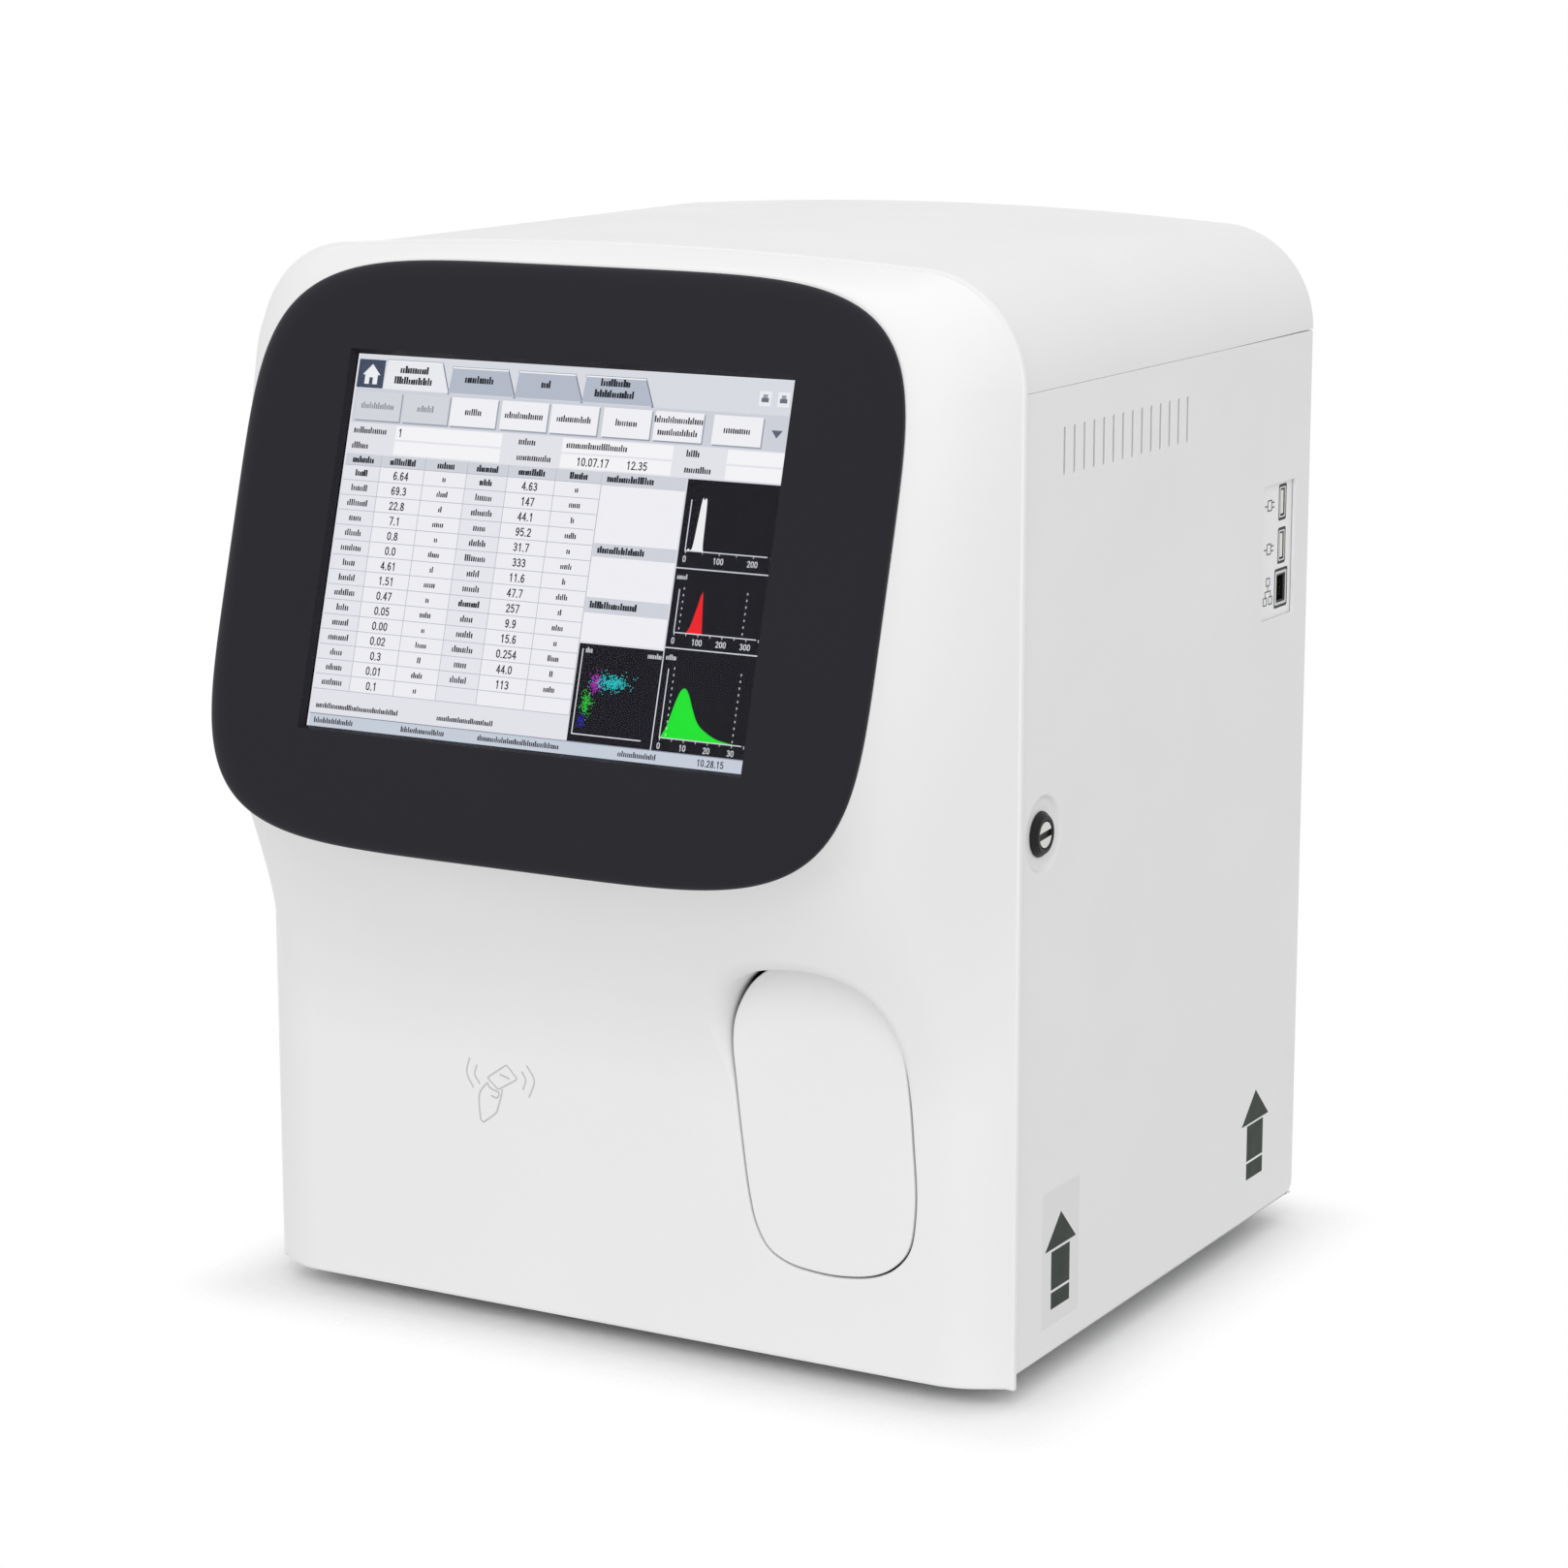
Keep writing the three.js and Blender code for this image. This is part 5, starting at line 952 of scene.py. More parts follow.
@dataclass
class FrontCover:
    """Moulded front: a bead round the rim, a pod for the display that sweeps down to the face, a doorway."""

    wall: float = 3.0
    drop: float = 5.0
    face_depth: float = 18.0
    lip_depth: float = 3.0
    lip: float = 1.2
    edge_width: float = 30.0
    edge_power: float = 2.2
    sweep_reach: float = 112.0
    sweep_power: float = 1.9
    sweep_share: float = 0.8
    lip_fade: float = 5.0
    bottom_round: float = 2.2
    bead_round: float = 0.85
    doorway_round: Pair = (1.0, 6.0)
    doorway_share: float = 0.9
    doorway_reach: float = 9.0
    doorway_rings: int = 26
    collar_back: float = 9.0
    opening: Pair = (117.6, 91.2)
    opening_power: int = 12
    rings: int = 54
    groove: float = 0.01
    counts: tuple[int, int, int] = (120, 30, 80)
    bottom_count: int = 116

    def depth_at(self, x: Array, z: Array) -> Array:
        """How far the front stands before the seam: the face and the leaning pod blended by the distance to
        the display, rounded off towards the rim by 1 - (1 - t)^power and towards the lower edge by a quarter
        circle.

        Args:
            x: distance from the middle plane.
            z: height.

        Returns:
            Depth at each place.
        """
        land_gap = (DISPLAY.back + DISPLAY.gap) / math.cos(DISPLAY.tilt)
        land = DISPLAY.depth + (DISPLAY.height - z) * math.tan(DISPLAY.tilt) - land_gap
        away = DISPLAY.distance(x, z)
        near = np.maximum(0.0, 1.0 - away / self.sweep_reach) ** self.sweep_power
        sweep = self.sweep_share * near + (1 - self.sweep_share) * np.exp(-away / self.lip_fade)
        standing = self.face_depth + (land - self.face_depth) * sweep
        rim = np.maximum(0.0, CABINET.rim_distance(x, z) - self.lip)
        room = ((rim + away) ** -6.0 + self.edge_width**-6.0) ** (-1.0 / 6.0)
        edge = 1.0 - (1.0 - np.minimum(1.0, rim / room)) ** self.edge_power
        low = np.clip((z + self.drop - 0.2) / self.bottom_round, 0.0, 1.0)
        return self.lip_depth + (standing - self.lip_depth) * edge * np.sqrt(1.0 - (1.0 - low) ** 2)

    def bead_rows(self) -> Array:
        """Section of the rim from the seam forwards, as (inset, y): a lip with a rounded front edge."""
        depth = -self.lip_depth
        section = [[0.9, 0.0], [0.0, 0.0], [0.0, depth], [self.lip, depth]]
        return filleted(section, self.bead_round, 6, closed=False)

    def rim_loop(self, inset: float, bottom: float) -> Array:
        """Closed outline of the front with its straight lower edge, from the top middle over the left side.

        Args:
            inset: distance inside the cabinet's outline.
            bottom: height of the lower edge.

        Returns:
            Points (x, z).
        """
        arch = CABINET.arch(inset, bottom, *self.counts)
        x = np.linspace(arch[-1, 0], arch[0, 0], self.bottom_count)[1:-1]
        loop = np.concatenate([arch, stacked(x, bottom)])
        return np.roll(loop, -len(arch) // 2, axis=0)

    def front_rows(self) -> Array:
        """Rows of points from the groove to the display's outline: first close together, then wider apart."""
        rim = self.rim_loop(self.lip, 0.2 - self.drop)
        angle = np.arctan2(rim[:, 1] - DISPLAY.centre, rim[:, 0])
        goal = polar((0.0, DISPLAY.centre), DISPLAY.reach(angle), angle)
        first = self.groove * (1.0 - np.cos(quarter_turn(7)))
        rest = self.groove + (1.0 - self.groove) * np.linspace(0.0, 1.0, self.rings)[1:] ** 1.25
        share = np.concatenate([first, rest])[:, None, None]
        flat = rim[None] * (1 - share) + goal[None] * share
        return np.concatenate([flat, [self.opening_loop(angle)]])

    def opening_loop(self, angle: Array) -> Array:
        """Opening behind the display, a super-ellipse, at given angles."""
        half = (self.opening[0], self.opening[1] * math.cos(DISPLAY.tilt))
        return polar((0.0, DISPLAY.centre), super_ellipse(angle, half, self.opening_power), angle)

    def doorway_block(self, flat: Array) -> tuple[int, int, int, int]:
        """Rows and columns of the block of cells round the doorway.

        Args:
            flat: rows x columns x 2 points of the front.

        Returns:
            First and last row, first and last column of the block's border.
        """
        arm = flat - DOORWAY.centre
        clear = np.hypot(arm[..., 0], arm[..., 1]) - DOORWAY.reach(np.arctan2(arm[..., 1], arm[..., 0]))
        rows, columns = np.nonzero(clear < self.doorway_reach)
        return rows.min() - 1, rows.max() + 1, columns.min() - 1, columns.max() + 1

    def doorway_patch(self, flat: Array, block: tuple[int, int, int, int]) -> Surface:
        """Rings from the block's border to the doorway, a quarter circle that is wider where the cover stands
        further out, and the wall of the door frame.

        Args:
            flat: rows x columns x 2 points of the front.
            block: border of the block.

        Returns:
            Surface that fills the block, open at its border and at the back of the door frame.
        """
        top, bottom, left, right = block
        upper, outer = flat[top, left:right], flat[top:bottom, right]
        lower, inner = flat[bottom, right:left:-1], flat[bottom:top:-1, left]
        border = np.concatenate([upper, outer, lower, inner])
        arm = border - DOORWAY.centre
        angle = np.arctan2(arm[:, 1], arm[:, 0])
        ray = stacked(np.cos(angle), np.sin(angle))
        mouth = DOORWAY.reach(angle)
        standing = self.depth_at(*(DOORWAY.centre + mouth[:, None] * ray).T) - self.face_depth
        soft = np.clip(self.doorway_round[0] + self.doorway_share * standing, *self.doorway_round)
        goal = mouth + soft
        away = np.hypot(arm[:, 0], arm[:, 1])
        share = 1.0 - np.linspace(0.0, 1.0, self.doorway_rings) ** 0.75
        radius = goal[None] + (away - goal)[None] * share[:, None]
        turn = quarter_turn(7)[1:]
        radius = np.concatenate([radius, goal[None] - soft * np.sin(turn)[:, None]])
        sink = np.concatenate([np.zeros((self.doorway_rings, len(soft))), soft * (1 - np.cos(turn))[:, None]])
        xz = DOORWAY.centre + radius[..., None] * ray[None]
        y = sink - self.depth_at(xz[..., 0], xz[..., 1])
        level = np.linspace(0.0, 1.0, 6)[1:, None]
        walls = y[-1][None] * (1 - level) - self.collar_back * level
        xz = np.concatenate([xz, np.broadcast_to(xz[-1], (len(level), *xz[-1].shape))])
        return grid(stacked(xz[..., 0], np.concatenate([y, walls]), xz[..., 1]))

    def surface(self) -> Surface:
        """Outer skin of the cover, open at the seam, at the display opening and behind the door frame."""
        bead = self.bead_rows()
        lip = np.stack([self.rim_loop(inset, inset * 0.16 - self.drop) for inset in bead[:, 0]])
        lip_points = stacked(lip[..., 0], bead[:, 1:], lip[..., 1])
        flat = self.front_rows()
        front = stacked(flat[..., 0], -self.depth_at(flat[..., 0], flat[..., 1]), flat[..., 1])
        block = self.doorway_block(flat)
        skin = grid(front)
        cells = np.ones((flat.shape[0] - 1, flat.shape[1]), bool)
        cells[block[0] : block[1], block[2] : block[3]] = False
        skin = Surface(skin.points, skin.faces[cells.ravel()], skin.smooth[cells.ravel()])
        rim = grid(np.concatenate([lip_points, front[:1]]))
        whole = combined([rim, skin, self.doorway_patch(flat, block)]).welded(1e-3)
        a, b, c, d = (whole.points[whole.faces[:, i]] for i in range(4))
        facing = np.cross(c - a, d - b)[:, 1].sum()
        return whole if facing < 0 else Surface(whole.points, whole.faces[:, [0, 3, 2, 1]], whole.smooth)

    def build(self) -> None:
        """Makes the cover: the skin with a wall behind it."""
        piece = add_piece("front_shell", self.surface(), WHITE_ABS, ["front_cover"], sharp=50.0)
        piece.modifiers.clear()
        wall = piece.modifiers.new("wall", "SOLIDIFY")
        wall.thickness = self.wall / 1000.0
        wall.offset = -1.0


@dataclass
class DisplayFrame:
    """Soft black frame round the screen, with a bevelled window."""

    front: float = 3.0
    roll: float = 10.0
    fall: float = 4.4
    window_bevel: float = 1.6
    glass_margin: float = 9.8
    pocket: float = 0.15
    columns: int = 320
    steps: int = 12

    def surface(self) -> Surface:
        """Rows carried round by angle, from the rear edge over a quarter ellipse to the window and back."""
        half = np.array(DISPLAY.screen) / 2.0
        angle = np.arange(self.columns) / self.columns * TAU
        sweep = quarter_turn(self.steps + 1)
        edge = edge_rows(0.0, -(self.front + DISPLAY.back), 1.0, 0.6, self.steps)
        edge[: self.steps + 1] = stacked(self.roll * (1 - np.sin(sweep)), -self.fall * (1 - np.cos(sweep)))
        power = 2.0 / DISPLAY.power
        cosine, sine = np.cos(angle), np.sin(angle)
        u, v = np.sign(cosine) * np.abs(cosine) ** power, np.sign(sine) * np.abs(sine) ** power
        unit = stacked(u, v)
        rows = []
        for inset, height in edge[::-1]:
            size = np.array([DISPLAY.half_width - inset, DISPLAY.half_height - inset])
            rows.append(self.row(unit * size - [0.0, DISPLAY.drop], -self.front - height))
        outline = np.array([DISPLAY.half_width, DISPLAY.half_height])
        outer = unit * (outline - self.roll) - [0.0, DISPLAY.drop]
        direction = np.arctan2(outer[:, 1], outer[:, 0])
        window = self.window(direction, half + self.window_bevel)
        for share in (0.06, 0.5, 0.94, 1.0):
            rows.append(self.row(outer * (1 - share) + window * share, -self.front))
        rows.append(self.row(self.window(direction, half), self.pocket))
        for y in (self.pocket, DISPLAY.back):
            rows.append(self.row(self.window(direction, half + self.glass_margin), y))
        rows.append(rows[0])
        return grid(np.stack(rows)).welded(1e-4)

    @staticmethod
    def row(flat: Array, y: float) -> Array:
        """Points (x, y, z) of one row."""
        return stacked(flat[:, 0], y, flat[:, 1])

    @staticmethod
    def window(direction: Array, half: Array) -> Array:
        """Rectangle at given directions: the nearest ray to each corner is moved into the corner.

        Args:
            direction: angles from the middle.
            half: half the width and half the height.

        Returns:
            Points (x, z).
        """
        u, v = np.abs(np.cos(direction)) / half[0], np.abs(np.sin(direction)) / half[1]
        points = stacked(np.cos(direction), np.sin(direction)) / np.maximum(u, v)[:, None]
        for sx in (-1, 1):
            for sz in (-1, 1):
                target = half * [sx, sz]
                points[np.argmin(np.hypot(*(points - target).T))] = target
        return points

    def build(self) -> None:
        """Makes the frame."""
        surface = self.surface().turned_out().moved(DISPLAY.lean)
        add_piece("bezel_soft_touch", surface, SOFT_TOUCH, ["display_bezel"], sharp=28.0)


@dataclass
class TopCover:
    """Bowed top cover with folded lower edges."""

    wall: float = 3.0
    fold_end: float = 163.35
    edge: float = 0.5
    seam_close: float = 0.5
    counts: tuple[int, int, int] = (1, 40, 60)
    rows_along: int = 23

    def build(self) -> None:
        """Makes the cover: its thin closed section carried from front to rear with rounded ends. The seam
        over the side panels closes up in a straight line over the rear third."""
        low, high = CABINET.side_height, CABINET.side_height + CABINET.sheet
        outer = CABINET.arch(CABINET.rim_proud, low, *self.counts)
        outer[0, 1] = outer[-1, 1] = low
        inner = CABINET.arch(CABINET.rim_proud + self.wall, high, *self.counts)
        folds = np.array([[-self.fold_end, low], [-self.fold_end, high]])
        loop = np.concatenate([outer, folds, inner[::-1], folds[::-1] * [-1.0, 1.0]])
        rows = edge_rows(CABINET.depth, SEAM, self.edge, self.edge)
        along = np.linspace(0.94, 0.06, self.rows_along) * CABINET.depth
        rows = np.insert(rows, len(rows) // 2, stacked(0.0, along), axis=0)
        surface = laid(plate(loop, rows), "xzy")
        x, y, z = surface.points.T
        closing = self.seam_close * np.clip(3.0 - 3.0 * y / CABINET.depth, 0.0, 1.0)
        surface.points[:, 2] -= np.where(z < low + 0.01, closing, 0.0)
        add_piece("top_cover_bowed", surface, POWDER_COAT, ["top_cover"])


@dataclass
class SidePanel:
    """Folded sheet on one side, here the left: rounded folds, hems, a row of vent slots, other openings."""

    side: int = -1
    name: str = "left_panel_vented"
    body: Body = Body.HOUSING
    replaces: str = "left_panel"
    rear_hem: bool = False
    fold: float = 0.8
    cut: float = 4.0
    notch: float = 12.0
    step: float = 0.3
    vents: int = 14
    first: float = 37.8
    pitch: float = 9.44
    slot_z: Pair = (375.0, 395.0)
    slot_width: float = 1.9

    @property
    def face(self) -> float:
        """Distance of the outer face from the middle plane."""
        return CABINET.half_width - CABINET.rim_proud

    def outline(self) -> tuple[Array, Array]:
        """Outline in (y, z) with the lower rear corner cut off, and how deep the hem is at each point."""
        back, top = CABINET.depth, CABINET.side_height - SEAM
        end = CABINET.depth - CABINET.sheet - self.step
        notch = (self.notch, top - self.notch)
        corners = [
            [SEAM, 0], [end - self.step, 0], [end, 0], [back - self.cut, 0], [back, self.cut],
            [back, notch[0]], [back, notch[0] + self.step], [back, notch[1] - self.step], [back, notch[1]],
            [back, top], [end, top], [end - self.step, top], [SEAM, top],
        ]
        full, none = CABINET.hem - CABINET.sheet, 0.1
        rear = full if self.rear_hem else none
        hems = [full] * 2 + [none] * 4 + [rear] * 2 + [none] * 3 + [full] * 2
        return filleted(corners, 1.2, 3), np.repeat(hems, 4)

    def surface(self) -> Surface:
        """Outer face, round folds, hems and inner face, with the holes' edges rounded."""
        loop, hems = self.outline()
        face, inner = self.face, self.face - CABINET.sheet
        angle = quarter_turn(7)
        fold = stacked(self.fold * (1 - np.sin(angle)), face - self.fold * (1 - np.cos(angle)))
        hem = np.array([[0.0, 1.0], [0.1, 1.02], [CABINET.sheet - 0.1, 1.02], [CABINET.sheet, 1.0]])
        rows = np.concatenate([fold, hem, [[CABINET.sheet, 0.0]]])
        heights = np.repeat(rows[:, 1:], len(loop), axis=1)
        heights[len(fold) : -1] = inner - 0.15 - hems[None] * hem[:, 1:]
        heights[-1] = inner
        insets = np.repeat(rows[:, :1], len(loop), axis=1)
        edges = edge_rows(face, inner, 0.3, 0.1, 3)
        slots = [
            (slot_hole([y - self.slot_width / 2, y + self.slot_width / 2], self.slot_z), edges)
            for y in self.first + self.pitch * np.arange(self.vents)
        ]
        whole = plate(loop, stacked(insets, heights), [*slots, *self.holes()])
        whole.points[:, 2] *= self.side
        return laid(whole, "yzx")

    def holes(self) -> list:
        """Openings besides the vent slots, as outlines with their edge rows."""
        return []

    def build(self) -> None:
        """Makes the panel."""
        add_piece(self.name, self.surface(), POWDER_COAT, [self.replaces], self.body)


@dataclass
class ServiceDoor(SidePanel):
    """Right-hand cover: a rear hem for the pivots, a window for the sockets, a pressed dish for the lock."""

    side: int = 1
    name: str = "service_door_panel"
    body: Body = Body.SERVICE_DOOR
    replaces: str = "right_door"
    rear_hem: bool = True
    window_y: Pair = (247.5, 284.2)
    window_z: Pair = (283.0, 345.0)
    dish_radius: float = 17.2
    dish_floor: float = 10.4
    dish_depth: float = 2.0

    def holes(self) -> list:
        """The window with rounded edges, and the dish: its wall falls to a floor with a hole for the lock."""
        face, floor, sheet = self.face, self.face - self.dish_depth, CABINET.sheet
        dish_rows = filleted(
            [
                [-0.6, face], [0.7, face], [2.2, floor], [self.dish_floor, floor],
                [self.dish_floor, floor - sheet], [1.6, floor - sheet], [0.1, face - sheet],
                [-0.5, face - sheet],
            ], 0.7, 4, closed=False,
        )
        dish_rows[:, 0] *= -1.0
        window = box_loop(self.window_y, self.window_z, 1.0)
        dish = circle(LOCK_PLACE, self.dish_radius, 72)
        return [(window, edge_rows(face, face - sheet, 0.3, 0.1, 3)), (dish, dish_rows)]


@dataclass
class SampleDoor:
    """Push-to-open flap with hinge ears and a striker behind it."""

    face: float = -18.0
    thickness: float = 3.0
    gap: float = 0.9
    front_round: float = 0.9
    finger_gap: float = 1.2
    finger_at: float = 122.0
    finger_spread: float = 15.0
    pivot: Pair = (-10.5, 67.0)
    pin_hole: float = 2.3
    ear_span: float = 54.0
    ear: float = 3.0
    ear_radius: float = 4.0
    striker: Triple = (12.0, 8.0, 2.4)
    striker_drop: float = 8.0
    root: float = 0.4

    def build(self) -> None:
        """Makes the flap: its outline drawn in by the gap, which a bell curve widens at the upper left, a
        softly rounded face, two ears and the striker."""
        loop = DOORWAY.outline()
        back = self.face + self.thickness
        edge = edge_rows(-self.face, -back, self.front_round, 0.4, 6)
        arm = loop - DOORWAY.centre
        turn = np.degrees(np.arctan2(arm[:, 1], arm[:, 0]))
        gap = self.gap + self.finger_gap * np.exp(-(((turn - self.finger_at) / self.finger_spread) ** 2))
        rows = stacked(edge[:, :1] + gap, edge[:, 1:])
        slab = plate(loop, rows)
        slab.points[:, 2] *= -1.0
        middle = DOORWAY.centre[0]
        parts = [laid(slab, "xzy")]
        for side in (-1, 1):
            x = sorted([middle + side * self.ear_span / 2, middle + side * (self.ear_span / 2 - self.ear)])
            edges = edge_rows(x[1], x[0], 0.3, 0.3, 2)
            hole = circle(self.pivot, self.pin_hole, 32)
            parts.append(laid(plate(self.ear_profile(back - self.root), edges, [(hole, edges)]), "yzx"))
        width, length, height = self.striker
        top = DOORWAY.bottom + DOORWAY.height - self.striker_drop
        span = [middle - width / 2.0, middle + width / 2.0]
        parts.append(bar(span, [back - self.root, back + length], [top - height, top], 0.4))
        add_piece("door_flap", combined(parts), DOOR_ABS, ["sample_door"], Body.SAMPLE_DOOR)

    def ear_profile(self, start: float) -> Array:
        """Side view of an ear: straight from the flap, then a half circle round the pivot.

        Args:
            start: where the ear leaves the flap.

        Returns:
            Points (y, z).
        """
        y, z = self.pivot
        end = arc(self.pivot, self.ear_radius, -90.0, 90.0, 17)
        return np.concatenate([[[start, z - self.ear_radius]], end, [[start, z + self.ear_radius]]])


# Flat drawings: the picture on the screen and printed marks


# Each digit is one line through these places, in hundredths of a field 1 wide and 1.6 high
DIGITS = {
    "0": "50,0 15,25 10,80 15,135 50,160 85,135 90,80 85,25 50,0", "1": "25,130 55,160 55,0",
    "2": "12,125 30,155 65,158 88,125 80,90 12,2 90,2",
    "3": "12,140 45,160 82,135 78,100 45,85 85,60 85,25 50,0 12,20", "4": "70,0 70,160 10,45 95,45",
    "5": "82,160 22,160 16,90 55,102 88,70 85,25 50,0 12,20",
    "6": "80,145 50,160 20,120 12,50 30,5 65,2 88,35 80,80 50,95 15,65", "7": "10,160 90,160 40,0",
    "8": "50,85 20,110 20,140 50,160 80,140 80,110 50,85 12,55 15,15 50,0 85,15 88,55 50,85",
    "9": "20,15 50,0 80,40 88,110 70,155 35,158 12,125 20,80 50,65 85,95", ".": "45,0 55,6",
}


@dataclass
class Sketch:
    """Flat drawing of four-cornered patches, each with an ink and a level, made into thin closed blocks."""

    patches: list = field(default_factory=list)

    def patch(self, corners: Places, ink: str = "#000000", level: int = 0) -> None:
        """Adds one patch of four corners (u, v)."""
        self.patches.append((np.asarray(corners, dtype=float), linear(ink), level))

    def block(self, u: Numbers, v: Numbers, ink: str = "#000000", level: int = 0) -> None:
        """Adds a rectangle between two spans."""
        self.patch([[u[0], v[0]], [u[1], v[0]], [u[1], v[1]], [u[0], v[1]]], ink, level)

    def stroke(self, points: Places, width: float, ink: str, level: int) -> None:
        """Adds a line: every piece is a patch that reaches half a width past its ends.

        Args:
            points: places (u, v) along the line.
            width: its width.
            ink: colour.
            level: layer.
        """
        path = np.asarray(points, dtype=float)
        for a, b in zip(path[:-1], path[1:]):
            along = (b - a) / max(float(np.linalg.norm(b - a)), 1e-9) * width / 2.0
            across = np.array([-along[1], along[0]])
            start, end = a - along, b + along
            self.patch([start - across, end - across, end + across, start + across], ink, level)

    def number(self, middle: Numbers, text: str, size: float, ink: str, level: int) -> None:
        """Writes digits centred on a place.

        Args:
            middle: middle of the number.
            text: digits and points.
            size: height of a digit.
            ink: colour.
            level: layer.
        """
        pitch, scale, point = size * 0.72, size / 1.6, 0.5
        steps = [pitch * (point if character == "." else 1.0) for character in text]
        left = middle[0] - sum(steps) / 2.0
        for character, step in zip(text, steps):
            places = np.array([place.split(",") for place in DIGITS[character].split()], dtype=float)
            path = places / 100.0 * scale * [0.92, 1.0]
            path += [left - (pitch - step) * point, middle[1] - size / 2.0]
            self.stroke(path, size * 0.15, ink, level)
            left += step

    def surface(self, thickness: float, step: float = 0.0, ground: Callable | None = None) -> Surface:
        """Thin blocks that stand on the ground and rise with their level.

        Args:
            thickness: height of level 0.
            step: height added for each level.
            ground: height of the surface that is drawn on, as a function of (u, v).

        Returns:
            Closed blocks with points (u, v, height).
        """
        flat, levels = (np.array([patch[i] for patch in self.patches]) for i in (0, 2))
        after = np.roll(flat, -1, axis=1)
        area = (flat[..., 0] * after[..., 1] - after[..., 0] * flat[..., 1]).sum(axis=1)
        flat[area < 0] = flat[area < 0][:, ::-1]
        base = np.zeros(flat.shape[:2]) if ground is None else ground(flat[..., 0], flat[..., 1])
        low = np.concatenate([flat, base[..., None]], axis=2)
        high = low.copy()
        high[..., 2] += (thickness + step * levels)[:, None]
        block = np.array([[0, 3, 2, 1], [4, 5, 6, 7], [0, 1, 5, 4], [1, 2, 6, 5], [2, 3, 7, 6], [3, 0, 4, 7]])
        faces = (block[None] + 8 * np.arange(len(flat))[:, None, None]).reshape(-1, 4)
        points = np.concatenate([low, high], axis=1).reshape(-1, 3)
        return Surface(points, faces, np.zeros(len(faces), bool))

    def shades(self) -> Array:
        """Colour of every point: the ink of its patch."""
        return np.repeat(np.array([patch[1] for patch in self.patches]), 8, axis=0)


def ribbon(
    path: Places, width: float, height: float, ground: Callable | None = None, closed: bool = False,
) -> Surface:
    """Printed line: half the width to both sides of each point, across the mean of its two directions.

    Args:
        path: points (u, v).
        width: width of the line.
        height: how far it stands above the ground.
        ground: height of the surface below, as a function of (u, v).
        closed: whether the last point joins the first.

    Returns:
        Closed surface with points (u, v, height).
    """
    middle = np.asarray(path, dtype=float)
    along = np.roll(middle, -1, 0) - np.roll(middle, 1, 0) if closed else np.gradient(middle, axis=0)
    across = stacked(-along[:, 1], along[:, 0]) / np.linalg.norm(along, axis=1, keepdims=True)
    sides = np.stack([middle - across * width / 2.0, middle + across * width / 2.0], axis=1)
    base = np.zeros(sides.shape[:2]) if ground is None else ground(sides[..., 0], sides[..., 1])
    low = np.concatenate([sides, base[..., None]], axis=2)
    high = low + [0.0, 0.0, height]
    rings = np.concatenate([low, high[:, ::-1]], axis=1)
    if closed:
        return grid(np.concatenate([rings, rings[:1]]), smooth=False).welded(1e-5).turned_out()
    faces = np.array([[0, 1, 2, 3], [7, 6, 5, 4]])
    ends = Surface(np.concatenate([rings[0], rings[-1]]), faces, np.zeros(2, bool))
    return combined([grid(rings, smooth=False), ends]).welded(1e-5).turned_out()


def arc(centre: Numbers, radius: float, start: float, end: float, count: int = 12) -> Array:
    """Points of an arc between two angles in degrees."""
    return polar(centre, radius, np.radians(np.linspace(start, end, count)))


def smooth_path(points: Places, steps: int = 6) -> Array:
    """Open curve: a cubic through each pair of points with tangents half the chord beside them.

    Args:
        points: places that the curve goes through.
        steps: pieces between two of them.

    Returns:
        Points of the curve.
    """
    p = np.asarray(points, dtype=float)
    p = np.concatenate([[2 * p[0] - p[1]], p, [2 * p[-1] - p[-2]]])
    t = (np.arange(steps) / steps)[None, :, None]
    a, b, c, d = (p[i : len(p) - 3 + i, None, :] for i in range(4))
    curve = b + t / 2 * (c - a) + t**2 * (a - 2.5 * b + 2 * c - d / 2) + t**3 * (1.5 * (b - c) + (d - a) / 2)
    return np.concatenate([curve.reshape(-1, 2), p[-2:-1]])


